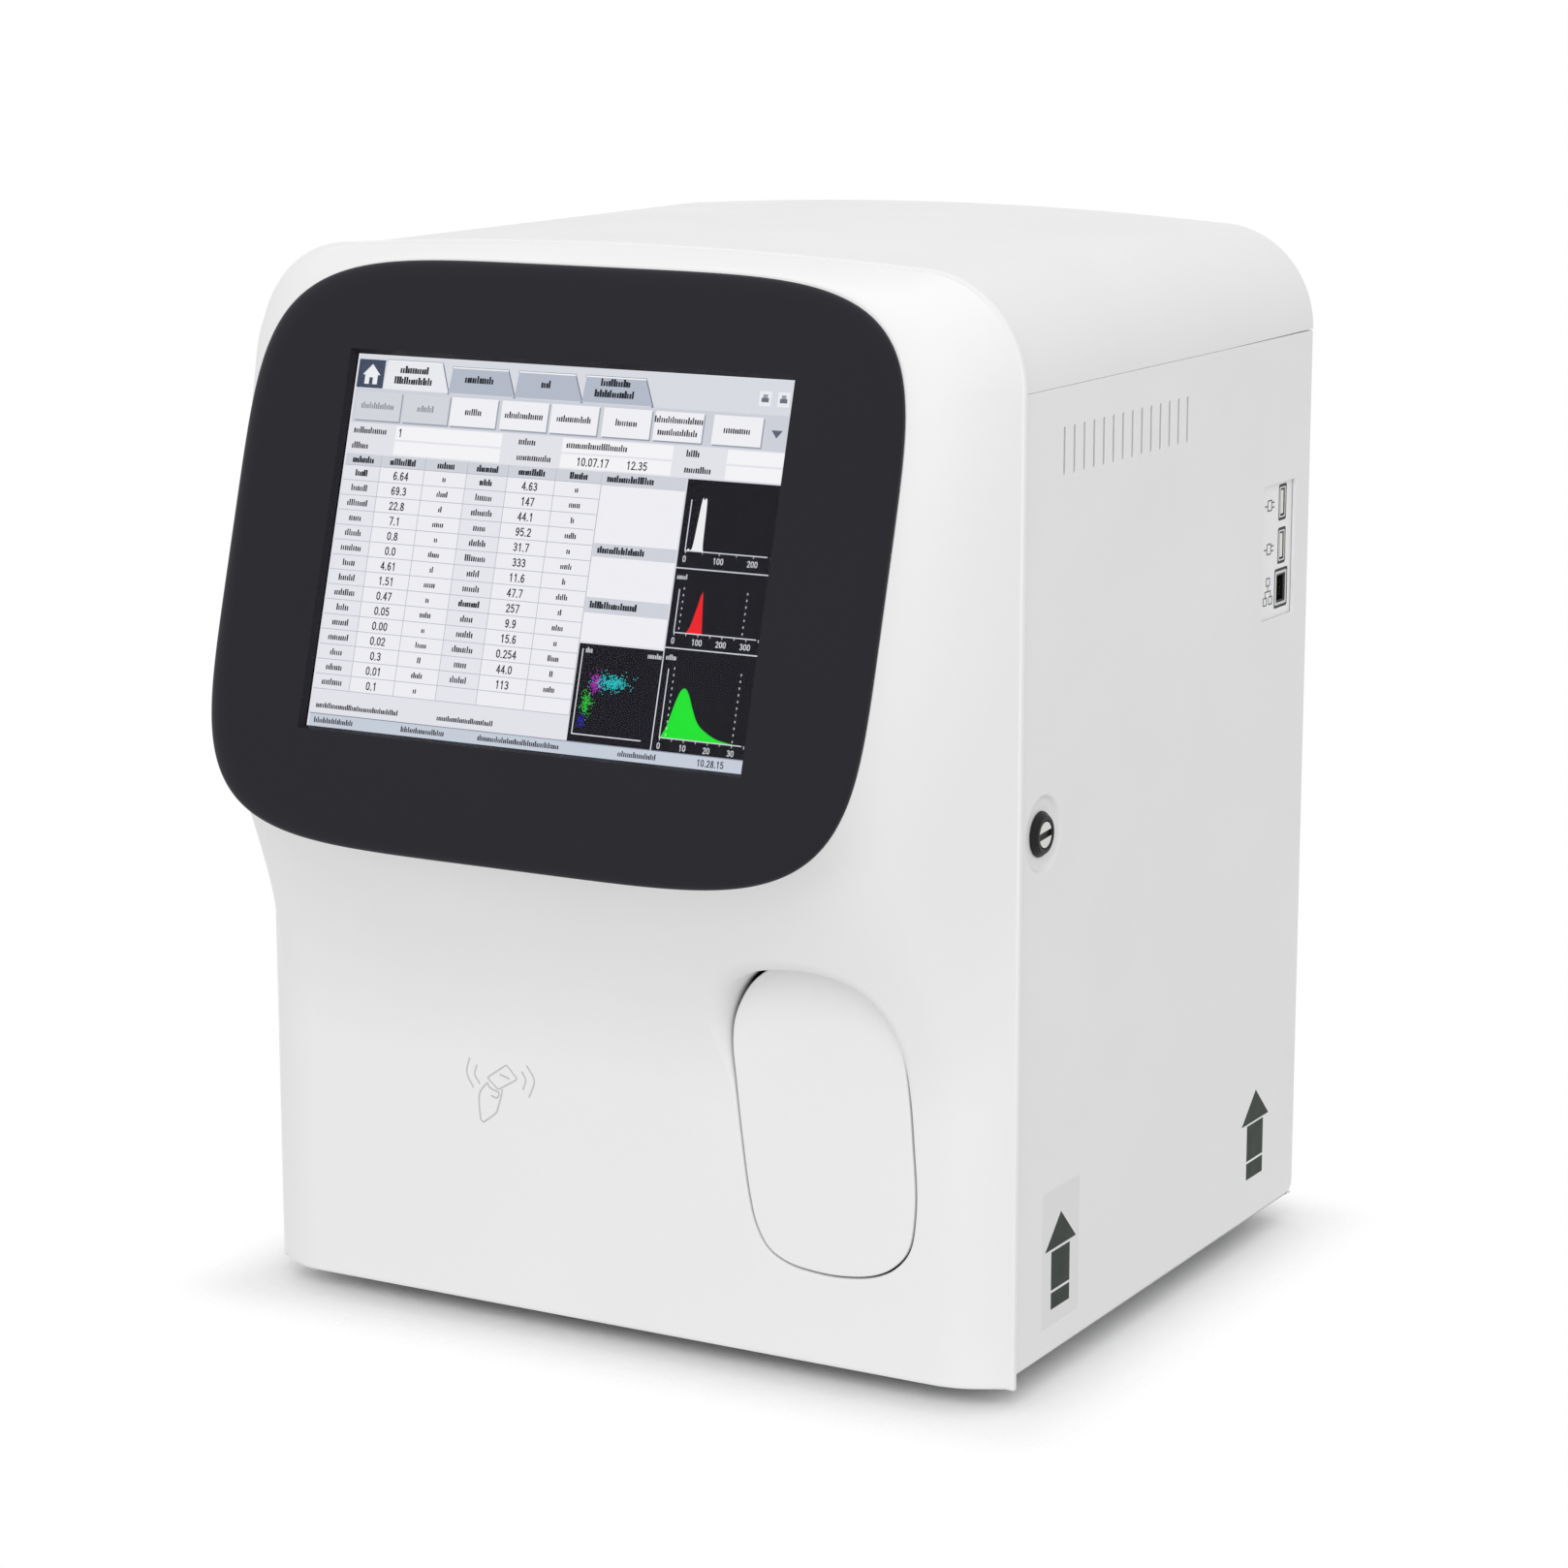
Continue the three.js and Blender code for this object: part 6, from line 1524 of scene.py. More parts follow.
@dataclass
class ScreenPicture:
    """Result page on the screen: tabs, buttons, a table of plain numbers, bars for words, and charts.

    Places are shares of the screen, from its left and from its top.
    """

    depth: float = 2.74
    lip: float = 0.9
    digit: float = 3.1
    dark: str = "#23252E"
    line: str = "#B9BBC6"
    page: str = "#E9E9F0"
    night: str = "#1B1B21"
    chalk: str = "#D9DAE2"
    left_numbers: str = "6.64 69.3 22.8 7.1 0.8 0.0 4.61 1.51 0.47 0.05 0.00 0.02 0.3 0.01 0.1"
    right_numbers: str = "4.63 147 44.1 95.2 31.7 333 11.6 47.7 257 9.9 15.6 0.254 44.0 113"
    seed: int = 11

    def __post_init__(self) -> None:
        """Starts an empty drawing and the chance that shapes the bars."""
        self.sketch = Sketch()
        self.chance = np.random.default_rng(self.seed)

    def at(self, u: float, v: float) -> Array:
        """Place in mm from the middle of the screen."""
        return np.array([(u - 0.5) * DISPLAY.screen[0], (0.5 - v) * DISPLAY.screen[1]])

    def area(self, u: Numbers, v: Numbers, ink: str, level: int) -> None:
        """Fills a rectangle between shares."""
        low, high = self.at(u[0], v[1]), self.at(u[1], v[0])
        self.sketch.block((low[0], high[0]), (low[1], high[1]), ink, level)

    def line_at(self, places: Places, width: float, ink: str, level: int) -> None:
        """Draws a line through shares."""
        self.sketch.stroke([self.at(*place) for place in places], width, ink, level)

    def word(
        self, u: float, v: float, letters: int, ink: str = "", level: int = 6, bold: bool = False,
        size: float = 2.9, left: bool = False,
    ) -> None:
        """Stands a row of short upright bars for a word.

        Args:
            u: middle of the word, or its start.
            v: middle of its height.
            letters: how many letters the bars stand for.
            ink: colour.
            level: layer.
            bold: whether the bars are heavy.
            size: height of a capital.
            left: whether u is the word's start.
        """
        pitch = size * 0.36
        count = 2 * letters
        start = self.at(u, v) - [0.0 if left else count * pitch / 2.0, size * 0.4]
        heights = size * self.chance.choice([0.62, 0.66, 0.7, 0.95], count)
        widths = pitch * self.chance.uniform(0.5, 0.68, count) * (1.35 if bold else 1.0)
        for i in range(count):
            low = start + [i * pitch, 0.0]
            high = low + [widths[i], heights[i]]
            self.sketch.block((low[0], high[0]), (low[1], high[1]), ink or self.dark, level)

    def number(self, u: float, v: float, text: str, size: float = 0.0, ink: str = "") -> None:
        """Writes a plain number centred on shares."""
        self.sketch.number(self.at(u, v), text, size or self.digit, ink or self.dark, 6)

    def tabs(self) -> None:
        """Strip of tabs with slanted ends, and two small tools at the right."""
        self.area((0.0, 1.0), (0.0, 0.09), "#DFE1E9", 1)
        edges = (0.065, 0.22, 0.375, 0.53, 0.69)
        for number, (left, right) in enumerate(zip(edges[:-1], edges[1:])):
            fill, top = ("#F0F1F5", 0.012) if number == 0 else ("#B9C0CE", 0.02)
            corners = [(left, 0.088), (left + 0.004, top), (right - 0.022, top), (right, 0.088)]
            self.line_at([corners[1], corners[2], corners[3]], 1.0, "#747C8E", 2 + (number == 0))
            self.sketch.patch([self.at(*corner) for corner in corners], fill, 3 + (number == 0))
            self.line_at([corners[1], corners[2]], 0.6, "#F7F8FB", 5)
            rows = ((0.035, 6), (0.064, 8)) if number in (0, 3) else ((0.05, 6 if number == 1 else 2),)
            for v, letters in rows:
                self.word((left + right) / 2 - 0.008, v, letters, bold=True, size=3.3)
        self.area((0.0, 0.063), (0.012, 0.088), "#465064", 3)
        roof, low, white = (0.033, 0.024), 0.078, "#F4F5F8"
        gable = (roof, (0.054, 0.053), (0.033, 0.0531), (0.012, 0.053))
        self.sketch.patch([self.at(*place) for place in gable], white, 5)
        self.area((0.018, 0.048), (0.05, low), white, 5)
        self.area((0.029, 0.037), (0.06, low), "#465064", 6)
        for u in (0.935, 0.975):
            self.area((u - 0.013, u + 0.013), (0.03, 0.068), "#F2F3F7", 3)
            self.area((u - 0.008, u + 0.008), (0.047, 0.058), "#6E7380", 4)
            self.area((u - 0.005, u + 0.005), (0.038, 0.0472), "#9BA0AC", 4)

    def buttons(self) -> None:
        """Row of eight buttons, the first two greyed out, and a small arrow."""
        self.area((0.0, 1.0), (0.09, 0.182), "#D3D6DF", 1)
        words = ((8,), (4,), (4,), (9,), (8,), (5,), (11, 9), (6,))
        lefts = (0.005, 0.119, 0.232, 0.35, 0.465, 0.584, 0.70, 0.83)
        for number, (left, letters) in enumerate(zip(lefts, words)):
            off = number < 2
            self.area((left + 0.003, left + 0.111), (0.101, 0.178), "#9DA2B0", 2)
            self.area((left, left + 0.108), (0.098, 0.174), "#D9DBE3" if off else "#F7F7FB", 3)
            for row, count in enumerate(letters):
                v = 0.136 + (row - (len(letters) - 1) / 2.0) * 0.032
                self.word(left + 0.054, v, count, "#8D909B" if off else self.dark, size=2.9)
        tip = [self.at(*p) for p in ((0.958, 0.128), (0.97, 0.148), (0.9702, 0.148), (0.982, 0.128))]
        self.sketch.patch(tip, "#5F6575", 3)

    def fields(self) -> None:
        """Two rows of labels and fields above the table."""
        for row, v in enumerate((0.203, 0.244)):
            for left, right in ((0.11, 0.36), (0.5, 0.75), (0.87, 0.997)):
                self.area((left, right), (v - 0.018, v + 0.018), "#FBFBFE", 2)
            for u, letters in ((0.01, 8 - 4 * row), (0.40, 4 + 4 * row), (0.78, 3 + 3 * row)):
                self.word(u, v, letters, left=True)
        self.number(0.122, 0.203, "1")
        self.word(0.51, 0.203, 14, left=True)
        self.number(0.575, 0.244, "10.07.17")
        self.number(0.675, 0.244, "12.35")

    def table(self) -> None:
        """Two groups of label, result and unit in 15 rows."""
        top, pitch, rows = 0.297, 0.0401, 15
        edges = (0.0, 0.085, 0.19, 0.29, 0.385, 0.495, 0.60)
        bottom = top + pitch * rows
        self.area((0.0, 0.60), (top, bottom), "#F4F4F9", 2)
        for left, right in ((0.0, 0.085), (0.29, 0.385)):
            self.area((left, right), (top, bottom), "#ECEDF3", 3)
        self.area((0.0, 0.60), (0.266, top), "#D5D7E1", 3)
        for number, (left, right) in enumerate(zip(edges[:-1], edges[1:])):
            self.word((left + right) / 2, 0.282, (5, 6, 4)[number % 3], bold=True, size=3.0)
        for v in top + pitch * np.arange(rows + 1):
            self.line_at([(0.0, v), (0.60, v)], 0.28, self.line, 4)
        for u in edges[1:]:
            self.line_at([(u, 0.266), (u, bottom)], 0.28, self.line, 4)
        for side, (numbers, bold) in enumerate(((self.left_numbers, (0,)), (self.right_numbers, (0, 8)))):
            base = 3 * side
            for row, text in enumerate(numbers.split()):
                v = top + pitch * (row + 0.52)
                self.word((edges[base] + edges[base + 1]) / 2, v, 3 + row % 3, bold=row in bold)
                self.number((edges[base + 1] + edges[base + 2]) / 2, v, text)
                self.word((edges[base + 2] + edges[base + 3]) / 2, v, 1 + 2 * (row % 2), size=2.6)

    def messages(self) -> None:
        """Three message boxes beside the table, the note and the status bar."""
        for v0, v1, v2 in ((0.265, 0.30, 0.45), (0.45, 0.485, 0.59), (0.59, 0.63, 0.705)):
            self.area((0.602, 0.788), (v1, v2), "#F6F6FA", 2)
            self.area((0.602, 0.788), (v0, v1), "#D5D7E1", 3)
            self.word(0.612, (v0 + v1) / 2, 10, bold=True, size=3.1, left=True)
        self.word(0.012, 0.943, 24, left=True, size=2.4)
        self.word(0.3, 0.943, 16, left=True, size=2.4)
        self.area((0.0, 1.0), (0.965, 1.0), "#CBD3E0", 2)
        self.line_at([(0.0, 0.965), (1.0, 0.965)], 0.4, "#8F97A8", 3)
        for u, letters in ((0.012, 11), (0.22, 12), (0.40, 22), (0.72, 10)):
            self.word(u, 0.983, letters, left=True, size=2.5)
        self.number(0.925, 0.983, "10.28.15", 2.5)

    def chart(
        self, v: Numbers, base: float, ticks: Sequence[str], curve: Places, ink: str, gates: Numbers,
    ) -> None:
        """Dark panel with axes, numbers along the lower one, a filled curve and dotted gates.

        Args:
            v: top and bottom of the panel.
            base: height of the lower axis.
            ticks: numbers under the axis.
            curve: places along the upper edge of the curve, left to right.
            ink: colour of the curve.
            gates: places of the dotted upright lines.
        """
        left, right = 0.806, 0.985
        self.area((0.791, 1.0), v, self.night, 3)
        self.line_at([(0.79, v[0]), (1.0, v[0])], 0.5, self.chalk, 5)
        self.line_at([(0.7905, v[0]), (0.7905, v[1])], 0.5, self.chalk, 5)
        self.line_at([(left, v[0] + 0.055), (left, base), (right, base)], 0.45, self.chalk, 5)
        for number, text in enumerate(ticks):
            u = left + (right - left) * (number + 0.02) / (len(ticks) - 0.6)
            self.number(u, base + 0.021, text, 2.3, self.chalk)
            for half in (0.0, 0.5):
                at = u + half * (right - left) / (len(ticks) - 0.6)
                self.line_at([(at, base), (at, base + 0.006)], 0.3, self.chalk, 5)
        path = smooth_path(curve, 8)
        path[:, 1] = np.minimum(path[:, 1], base - 0.001)
        for a, b in zip(path[:-1], path[1:]):
            self.sketch.patch([self.at(*corner) for corner in ((a[0], base), (b[0], base), b, a)], ink, 4)
        for u in gates:
            for height in np.arange(v[0] + 0.05, base, 0.017):
                self.line_at([(u, height), (u, height + 0.003)], 0.4, self.chalk, 5)

    def charts(self) -> None:
        """Three charts down the right side."""
        white = [
            (0.809, 0.45), (0.813, 0.444), (0.817, 0.448), (0.822, 0.43), (0.829, 0.322), (0.834, 0.318),
            (0.84, 0.322), (0.843, 0.43), (0.846, 0.45),
        ]
        self.chart((0.265, 0.495), 0.45, ("0", "100", "200"), white, "#F5F5F8", ())
        red = [
            (0.832, 0.659), (0.84, 0.64), (0.849, 0.595), (0.856, 0.556), (0.859, 0.56), (0.864, 0.62),
            (0.867, 0.659),
        ]
        self.chart((0.495, 0.70), 0.66, ("0", "100", "200", "300"), red, "#F0262C", (0.816, 0.955))
        green = [
            (0.808, 0.928), (0.818, 0.9), (0.828, 0.85), (0.838, 0.81), (0.848, 0.8), (0.858, 0.815),
            (0.87, 0.85), (0.885, 0.885), (0.905, 0.905), (0.93, 0.92), (0.965, 0.928),
        ]
        self.chart((0.70, 0.964), 0.93, ("0", "10", "20", "30"), green, "#22E832", (0.819, 0.965))
        for v in (0.518, 0.725):
            self.word(0.797, v, 3, self.chalk, left=True, size=2.3)

    def scatter(self) -> None:
        """Cloud chart: four coloured clusters of dots."""
        self.area((0.602, 0.791), (0.71, 0.964), self.night, 3)
        self.line_at([(0.611, 0.725), (0.611, 0.944), (0.765, 0.944)], 0.5, self.chalk, 5)
        self.word(0.618, 0.727, 2, self.chalk, left=True, size=2.3)
        self.word(0.757, 0.727, 4, self.chalk, left=True, size=2.3)
        clusters = (
            ((0.684, 0.806), (0.017, 0.011), 380, "#2CC5C9"), ((0.648, 0.81), (0.006, 0.013), 150, "#A62CB0"),
            ((0.633, 0.862), (0.005, 0.016), 190, "#2FBE3A"), ((0.626, 0.91), (0.005, 0.009), 60, "#2B2BA8"),
        )
        for middle, spread, count, ink in clusters:
            for u, v in self.chance.normal(middle, spread, (count, 2)):
                low = self.at(max(u, 0.613), v)
                self.sketch.block((low[0], low[0] + 0.4), (low[1], low[1] + 0.4), ink, 4)

    def build(self) -> None:
        """Draws the page, stands it behind the glass and gives every point its colour."""
        half = np.array(DISPLAY.screen) / 2.0 + self.lip
        self.sketch.block((-half[0], half[0]), (-half[1], half[1]), self.page, 0)
        for draw in (self.tabs, self.buttons, self.fields, self.table, self.messages, self.charts):
            draw()
        self.scatter()
        flat = self.sketch.surface(0.02, 0.02)
        stood = flat.moved(lambda p: stacked(p[:, 0], self.depth - p[:, 2], p[:, 1])).turned_out()
        piece = add_piece("screen_picture", stood.moved(DISPLAY.lean), PICTURE)
        shade = piece.data.attributes.new("shade", "FLOAT_COLOR", "POINT")
        shade.data.foreach_set("color", self.sketch.shades().ravel())


# Lines of the card sign on a square drawing 900 units wide, from its left and from its top
CARD_LINES = (
    [(153, 165), (123, 300), (183, 445)], [(218, 235), (198, 320), (243, 410)],
    [(633, 310), (668, 390), (643, 480)], [(678, 255), (748, 400), (698, 550)],
    [(313, 400), (243, 490), (235, 610), (248, 740)], [(248, 740), (273, 765)],
    [(273, 765), (383, 690), (408, 640), (438, 540), (453, 470)],
    [(313, 400), (330, 440), (370, 470), (420, 500), (400, 545), (345, 520)],
)
CARD_STRIPE = [(430, 330), (520, 375)]
CARD_OUTLINE = [(313, 355), (493, 245), (593, 380), (415, 470)]


@dataclass
class Marks:
    """Printed marks: two upward arrows on the service door, a card sign on the front, socket signs."""

    side_face: float = 185.15
    plate_face: float = 183.35
    thickness: float = 0.09
    line: float = 0.75
    film_y: Pair = (26.0, 62.0)
    film_z: Pair = (12.0, 72.0)
    sign_middle: Pair = (-56.0, 96.6)
    sign_scale: Pair = (1.98, 2.25)
    sign_slant: float = 0.187

    def arrow(self, sketch: Sketch, y: float, bands: Places, half: Numbers) -> None:
        """Arrow of a head, a shaft and a band with gaps between them.

        Args:
            sketch: the drawing that it goes on.
            y: middle of the arrow.
            bands: lower and upper end of the head, the shaft and the band.
            half: half the width of the head, and of the rest.
        """
        low, high = bands[0]
        sketch.patch([[y - half[0], low], [y + half[0], low], [y + 0.02, high], [y - 0.02, high]])
        for band in bands[1:]:
            sketch.block((y - half[1], y + half[1]), band)

    def arrows(self) -> None:
        """Two arrows, and a thin film under the front one."""
        sketch = Sketch()
        self.arrow(sketch, 44.0, ((45.7, 60.4), (27.5, 44.5), (19.0, 26.3)), (15.0, 9.0))
        self.arrow(sketch, 253.6, ((47.0, 61.6), (29.0, 46.0), (20.0, 27.8)), (15.5, 9.3))
        film = plate(box_loop(self.film_y, self.film_z, 2.0), edge_rows(0.04, 0.0, 0.01, 0.01, 1))
        drawn = (("arrows_up", sketch.surface(self.thickness), GREEN_INK), ("arrow_films", film, LABEL_FILM))
        for name, flat, finish in drawn:
            stood = laid(flat.moved(lambda p: p + [0, 0, self.side_face]), "yzx")
            add_piece(name, stood, finish, body=Body.SERVICE_DOOR)

    def card_sign(self) -> None:
        """Card held over a reader: two arcs each side, a card and a hand, drawn on the cover. Each line
        stands a little higher than the last, so that no two faces coincide."""
        cover = FrontCover()

        def ground(x: Array, z: Array) -> Array:
            """Just inside the cover's face."""
            return cover.depth_at(x, z) - 0.06

        lines = [smooth_path(self.on_front(path)) for path in CARD_LINES] + [self.on_front(CARD_STRIPE)]
        drawn = [ribbon(path, self.line, 0.12 + 0.006 * i, ground) for i, path in enumerate(lines)]
        card = filleted(self.on_front(CARD_OUTLINE), 1.0, 4)
        drawn.append(ribbon(card, self.line, 0.115, ground, closed=True))
        sign = combined(drawn)
        sign.points[:, 2] *= -1.0
        add_piece("card_sign", laid(sign, "xzy"), GREY_INK)

    def on_front(self, places: Places) -> Array:
        """Puts places of the square drawing on the front, with its slant taken out.

        Args:
            places: places on the drawing.

        Returns:
            Points (x, z).
        """
        u, v = np.array(places, dtype=float).T / 9.0 - 50.0
        x = u / self.sign_scale[0] + self.sign_middle[0]
        return stacked(x, self.sign_middle[1] - (v - self.sign_slant * u) / self.sign_scale[1])

    def socket_signs(self) -> None:
        """Plug signs beside the two narrow sockets and three linked squares beside the wide one."""
        drawn = []
        for z in SOCKETS.narrow_z:
            drawn.append(ribbon(box_loop((256.0, 260.6), (z - 2.3, z + 2.3), 0.5), 0.55, 0.09, closed=True))
            for start, end, rise in ((252.8, 255.6, 0.0), (261.0, 263.6, -1.1), (261.0, 263.6, 1.1)):
                drawn.append(ribbon([(start, z + rise), (end, z + rise)], 0.55, 0.09))
        low, bus, high = 291.4, 295.8, 300.2
        for y, z in ((255.0, low), (261.2, low), (258.1, high)):
            square = box_loop((y - 1.9, y + 1.9), (z - 1.7, z + 1.7), 0.2)
            drawn.append(ribbon(square, 0.5, 0.09, closed=True))
            side = math.copysign(1.0, bus - z)
            drawn.append(ribbon([(y, z + 2.0 * side), (y, bus - 0.3 * side)], 0.5, 0.09))
        drawn.append(ribbon([(254.7, bus), (261.5, bus)], 0.5, 0.1))
        inks = combined(drawn).moved(lambda p: p + [0, 0, self.plate_face])
        add_piece("socket_signs", laid(inks, "yzx"), DARK_INK)

    def build(self) -> None:
        """Makes every mark."""
        for make in (self.arrows, self.card_sign, self.socket_signs):
            make()


@dataclass
class DoorLock:
    """Cam lock: black ring in the pressed dish, a plug with a key slot, and its cam."""

    seat: float = 183.45
    face: float = 186.45
    back: float = 163.35
    head: float = 5.55
    core: float = 4.5
    slot: float = 2.8
    slant: float = math.radians(4.5)
    cam_reach: float = 17.5
    cam_tip: float = 3.0
    cam_thickness: float = 2.4

    def turn(self, points: Array) -> Array:
        """Turns drawn points by the slant about the lock's axis.

        Args:
            points: places (y, z, height) from the axis.

        Returns:
            Places in the cabinet.
        """
        y, z, h = points.T
        c, s = math.cos(self.slant), math.sin(self.slant)
        return stacked(LOCK_PLACE[0] + y * c - z * s, LOCK_PLACE[1] + y * s + z * c, h)

    def half_disc(self, side: int) -> Surface:
        """Half of the plug's face: the part of a disc more than half a slot from its middle.

        Args:
            side: 1 for the upper half, -1 for the lower one.

        Returns:
            Closed surface.
        """
        start = math.asin(self.slot / 2.0 / self.head)
        loop = polar((0.0, 0.0), self.head, np.linspace(start, math.pi - start, 40)) * [1.0, side]
        return plate(loop, edge_rows(self.face - 0.15, self.face - 1.6, 0.3, 0.05, 3))

    def cam(self) -> Surface:
        """Flat arm behind the door with a round end."""
        low = arc((0.0, 0.0), self.core, 180.0, 360.0, 17)
        high = arc((0.0, self.cam_reach - self.cam_tip), self.cam_tip, 0.0, 180.0, 13)
        top = self.back - 0.3
        return plate(np.concatenate([low, high]), edge_rows(top, top - self.cam_thickness, 0.25, 0.25, 2))

    def build(self) -> None:
        """Makes the ring, the plug's core in black as painted shade of the deep key slot, its face and the
        cam.
        """
        centre = (0.0, *LOCK_PLACE)
        ring = filleted(
            [
                [5.0, self.back], [6.5, self.back], [6.5, self.seat], [9.75, self.seat],
                [9.6, self.seat + 0.7], [7.7, self.face], [6.3, self.face], [5.8, self.face - 0.8],
                [5.8, self.face - 1.7], [5.0, self.face - 1.8],
            ], 0.35, 3,
        )
        ring = turned(np.concatenate([ring, ring[:1]]), "x", centre, 72)
        add_piece("lock_ring", ring, BLACK_NYLON, ["lock_barrel"], Body.SERVICE_DOOR)
        # The core is black so the key slot between the face halves shows dark: painted shade of a deep
        # keyway.
        end, top = self.back - 2.7, self.face - 1.5
        core = [[0.0, end], [self.core - 0.2, end], [self.core, end + 0.2], [self.core, top], [0.0, top]]
        add_piece("lock_core_keyway_shade", turned(np.array(core), "x", centre, 48), BLACK_NYLON, body=Body.LOCK)
        parts = [self.half_disc(1), self.half_disc(-1), self.cam()]
        metal = combined([laid(part.moved(self.turn), "yzx") for part in parts])
        add_piece("lock_face_and_cam", metal, NICKEL, ["lock_cam"], Body.LOCK)


@dataclass
class Sockets:
    """White plate behind the window of the service door, with two narrow sockets and a network socket."""

    y: float = 273.5
    face: float = 183.45
    depth: float = 13.0
    narrow_z: Pair = (335.3, 315.3)
    narrow_size: Pair = (7.0, 14.5)
    narrow_mouth: Pair = (5.1, 12.5)
    wide_z: float = 295.7
    wide_size: Pair = (13.2, 16.0)
    wide_mouth: Pair = (10.4, 13.0)
    contact_span: float = 3.6

    def around(self, z: float, size: Numbers, margin: float = 0.0, radius: float = 1.2) -> Array:
        """Rounded rectangle (y, z) a margin outside a socket at a height."""
        half = np.array(size) / 2.0 + margin
        return box_loop((self.y - half[0], self.y + half[0]), (z - half[1], z + half[1]), radius)

    def shell(self, z: float, outer: Numbers, mouth: Numbers, radius: float) -> Surface:
        """Metal sleeve round a mouth, with a floor at its back.

        Args:
            z: height of the socket's middle.
            outer: width and height of the sleeve.
            mouth: width and height of its mouth.
            radius: radius of the sleeve's corners.

        Returns:
            Two closed surfaces in one.
        """
        back = self.face - self.depth
        hole = (self.around(z, mouth, radius=0.6), edge_rows(self.face, back, 0.35, 0.1, 3))
        sleeve = plate(self.around(z, outer, radius=radius), edge_rows(self.face, back, 0.5, 0.2, 4), [hole])
        half = np.array(outer) / 2.0 - 0.2
        y, z = (self.y - half[0], self.y + half[0]), (z - half[1], z + half[1])
        return combined([laid(sleeve, "yzx"), bar((back - 0.6, back + 0.1), y, z, 0.1)])

    def cover_plate(self) -> None:
        """Makes the white plate with its fold, and a black ring round each socket that fills the gap to its
        shell: painted shade of that gap.
        """
        top = self.face - 0.1
        rows = edge_rows(top, top - 1.5, 0.25, 0.1, 3)
        # Black rings in the gaps between the plate's holes and the socket shells stand in for the shade in
        # those gaps: painted shade.
        gap_shade_rows = edge_rows(top - 0.15, top - 1.4, 0.1, 0.1, 2)
        sockets = [(z, self.narrow_size) for z in self.narrow_z] + [(self.wide_z, self.wide_size)]
        holes = [(self.around(z, size, 1.1), rows) for z, size in sockets]
        face = laid(plate(box_loop((245.0, 286.7), (280.5, 347.5), 1.0), rows, holes), "yzx")
        fold = bar((169.3, top - 0.7), (245.05, 246.5), (280.9, 347.1), 0.3)
        gap_shades = [
            plate(self.around(z, size, 1.05), gap_shade_rows, [(self.around(z, size, 0.05), gap_shade_rows)])
            for z, size in sockets
        ]
        plates = combined([face, fold])
        add_piece("socket_plate", plates, WHITE_ABS, ["io_plate"], slot="panel_white")
        rings = combined([laid(gap_shade, "yzx") for gap_shade in gap_shades])
        add_piece("socket_gap_shade", rings, BLACK_NYLON)

    def contacts(self, z: float, count: int, depth: Numbers, y: Numbers, half: float) -> list:
        """Row of contact springs.

        Args:
            z: height of the socket's middle.
            count: how many there are.
            depth: how far behind the face they end and start.
            y: span of their thickness, from the socket's middle.
            half: half their width.

        Returns:
            A closed surface for each.
        """
        x, y = (self.face - depth[0], self.face - depth[1]), (self.y + y[0], self.y + y[1])
        middles = z + np.linspace(-self.contact_span, self.contact_span, count)
        return [bar(x, y, (middle - half, middle + half), 0.05) for middle in middles]

    def lining(self) -> Surface:
        """Black insert of the network socket, thicker on the side of the contacts."""
        z, back = self.wide_z, self.face - self.depth
        outer = box_loop((self.y - 5.15, self.y + 5.15), (z - 6.45, z + 6.45), 0.3)
        mouth = box_loop((self.y - 4.2, self.y + 3.4), (z - 5.6, z + 5.6), 0.3)
        hole = (mouth, edge_rows(self.face - 0.5, back, 0.2, 0.1, 2))
        return laid(plate(outer, edge_rows(self.face - 0.5, back, 0.1, 0.1, 2), [hole]), "yzx")

    def build(self) -> None:
        """Makes the plate, the shells, the tongues and the contacts."""
        shells, tongues, contacts = [], [], []
        for z in self.narrow_z:
            shells.append(self.shell(z, self.narrow_size, self.narrow_mouth, 1.0))
            x, y = (self.face - self.depth, self.face - 0.3), (self.y - 1.6, self.y + 1.2)
            tongues.append(bar(x, y, (z - 5.5, z + 5.5), 0.25))
            contacts += self.contacts(z, 4, (9.0, 1.6), (1.15, 1.32), 0.5)
        self.cover_plate()
        nodes = ["usb_socket_upper", "usb_socket_lower"]
        add_piece("usb_shells", combined(shells), STAINLESS, nodes)
        add_piece("usb_tongues", combined(tongues), WHITE_PBT)
        wide = self.shell(self.wide_z, self.wide_size, self.wide_mouth, 0.8)
        add_piece("lan_shell", wide, STAINLESS, ["lan_socket"])
        add_piece("lan_lining", self.lining(), BLACK_NYLON)
        contacts += self.contacts(self.wide_z, 8, (10.0, 2.0), (2.9, 3.2), 0.22)
        add_piece("socket_contacts", combined(contacts), GOLD)


SOCKETS = Sockets()


@dataclass
class Feet:
    """Four moulded rubber feet with a recessed screw."""

    x: float = 148.0
    y: Pair = (42.0, 256.0)
    names: tuple[str, ...] = ("foot_front_left", "foot_front_right", "foot_rear_left", "foot_rear_right")

    def build(self) -> None:
        """Turns each foot: a tread with a grooved rim, a flared side, a recess and a screw head in it."""
        rubber = filleted(
            [
                [5.2, 1.5], [16.0, 1.5], [16.0, -1.5], [14.0, -12.0], [14.0, -14.0], [11.5, -14.0],
                [11.2, -13.2], [9.8, -13.2], [9.5, -14.0], [5.5, -14.0], [5.2, -8.0],
            ], 0.7, 4,
        )
        rubber = np.concatenate([rubber, rubber[:1]])
        head = [[0.0, 1.4], [5.1, 1.4], [5.1, -7.2], [4.2, -8.6], [2.0, -9.0], [1.8, -8.2], [0.0, -8.2]]
        places = [(x, y, 0.0) for y in self.y for x in (-self.x, self.x)]
        pads = combined([turned(rubber, "z", place, 56) for place in places])
        screws = combined([turned(np.array(head), "z", place, 32) for place in places])
        add_piece("feet", pads, RUBBER, self.names)
        add_piece("foot_screws", screws, ZINC)


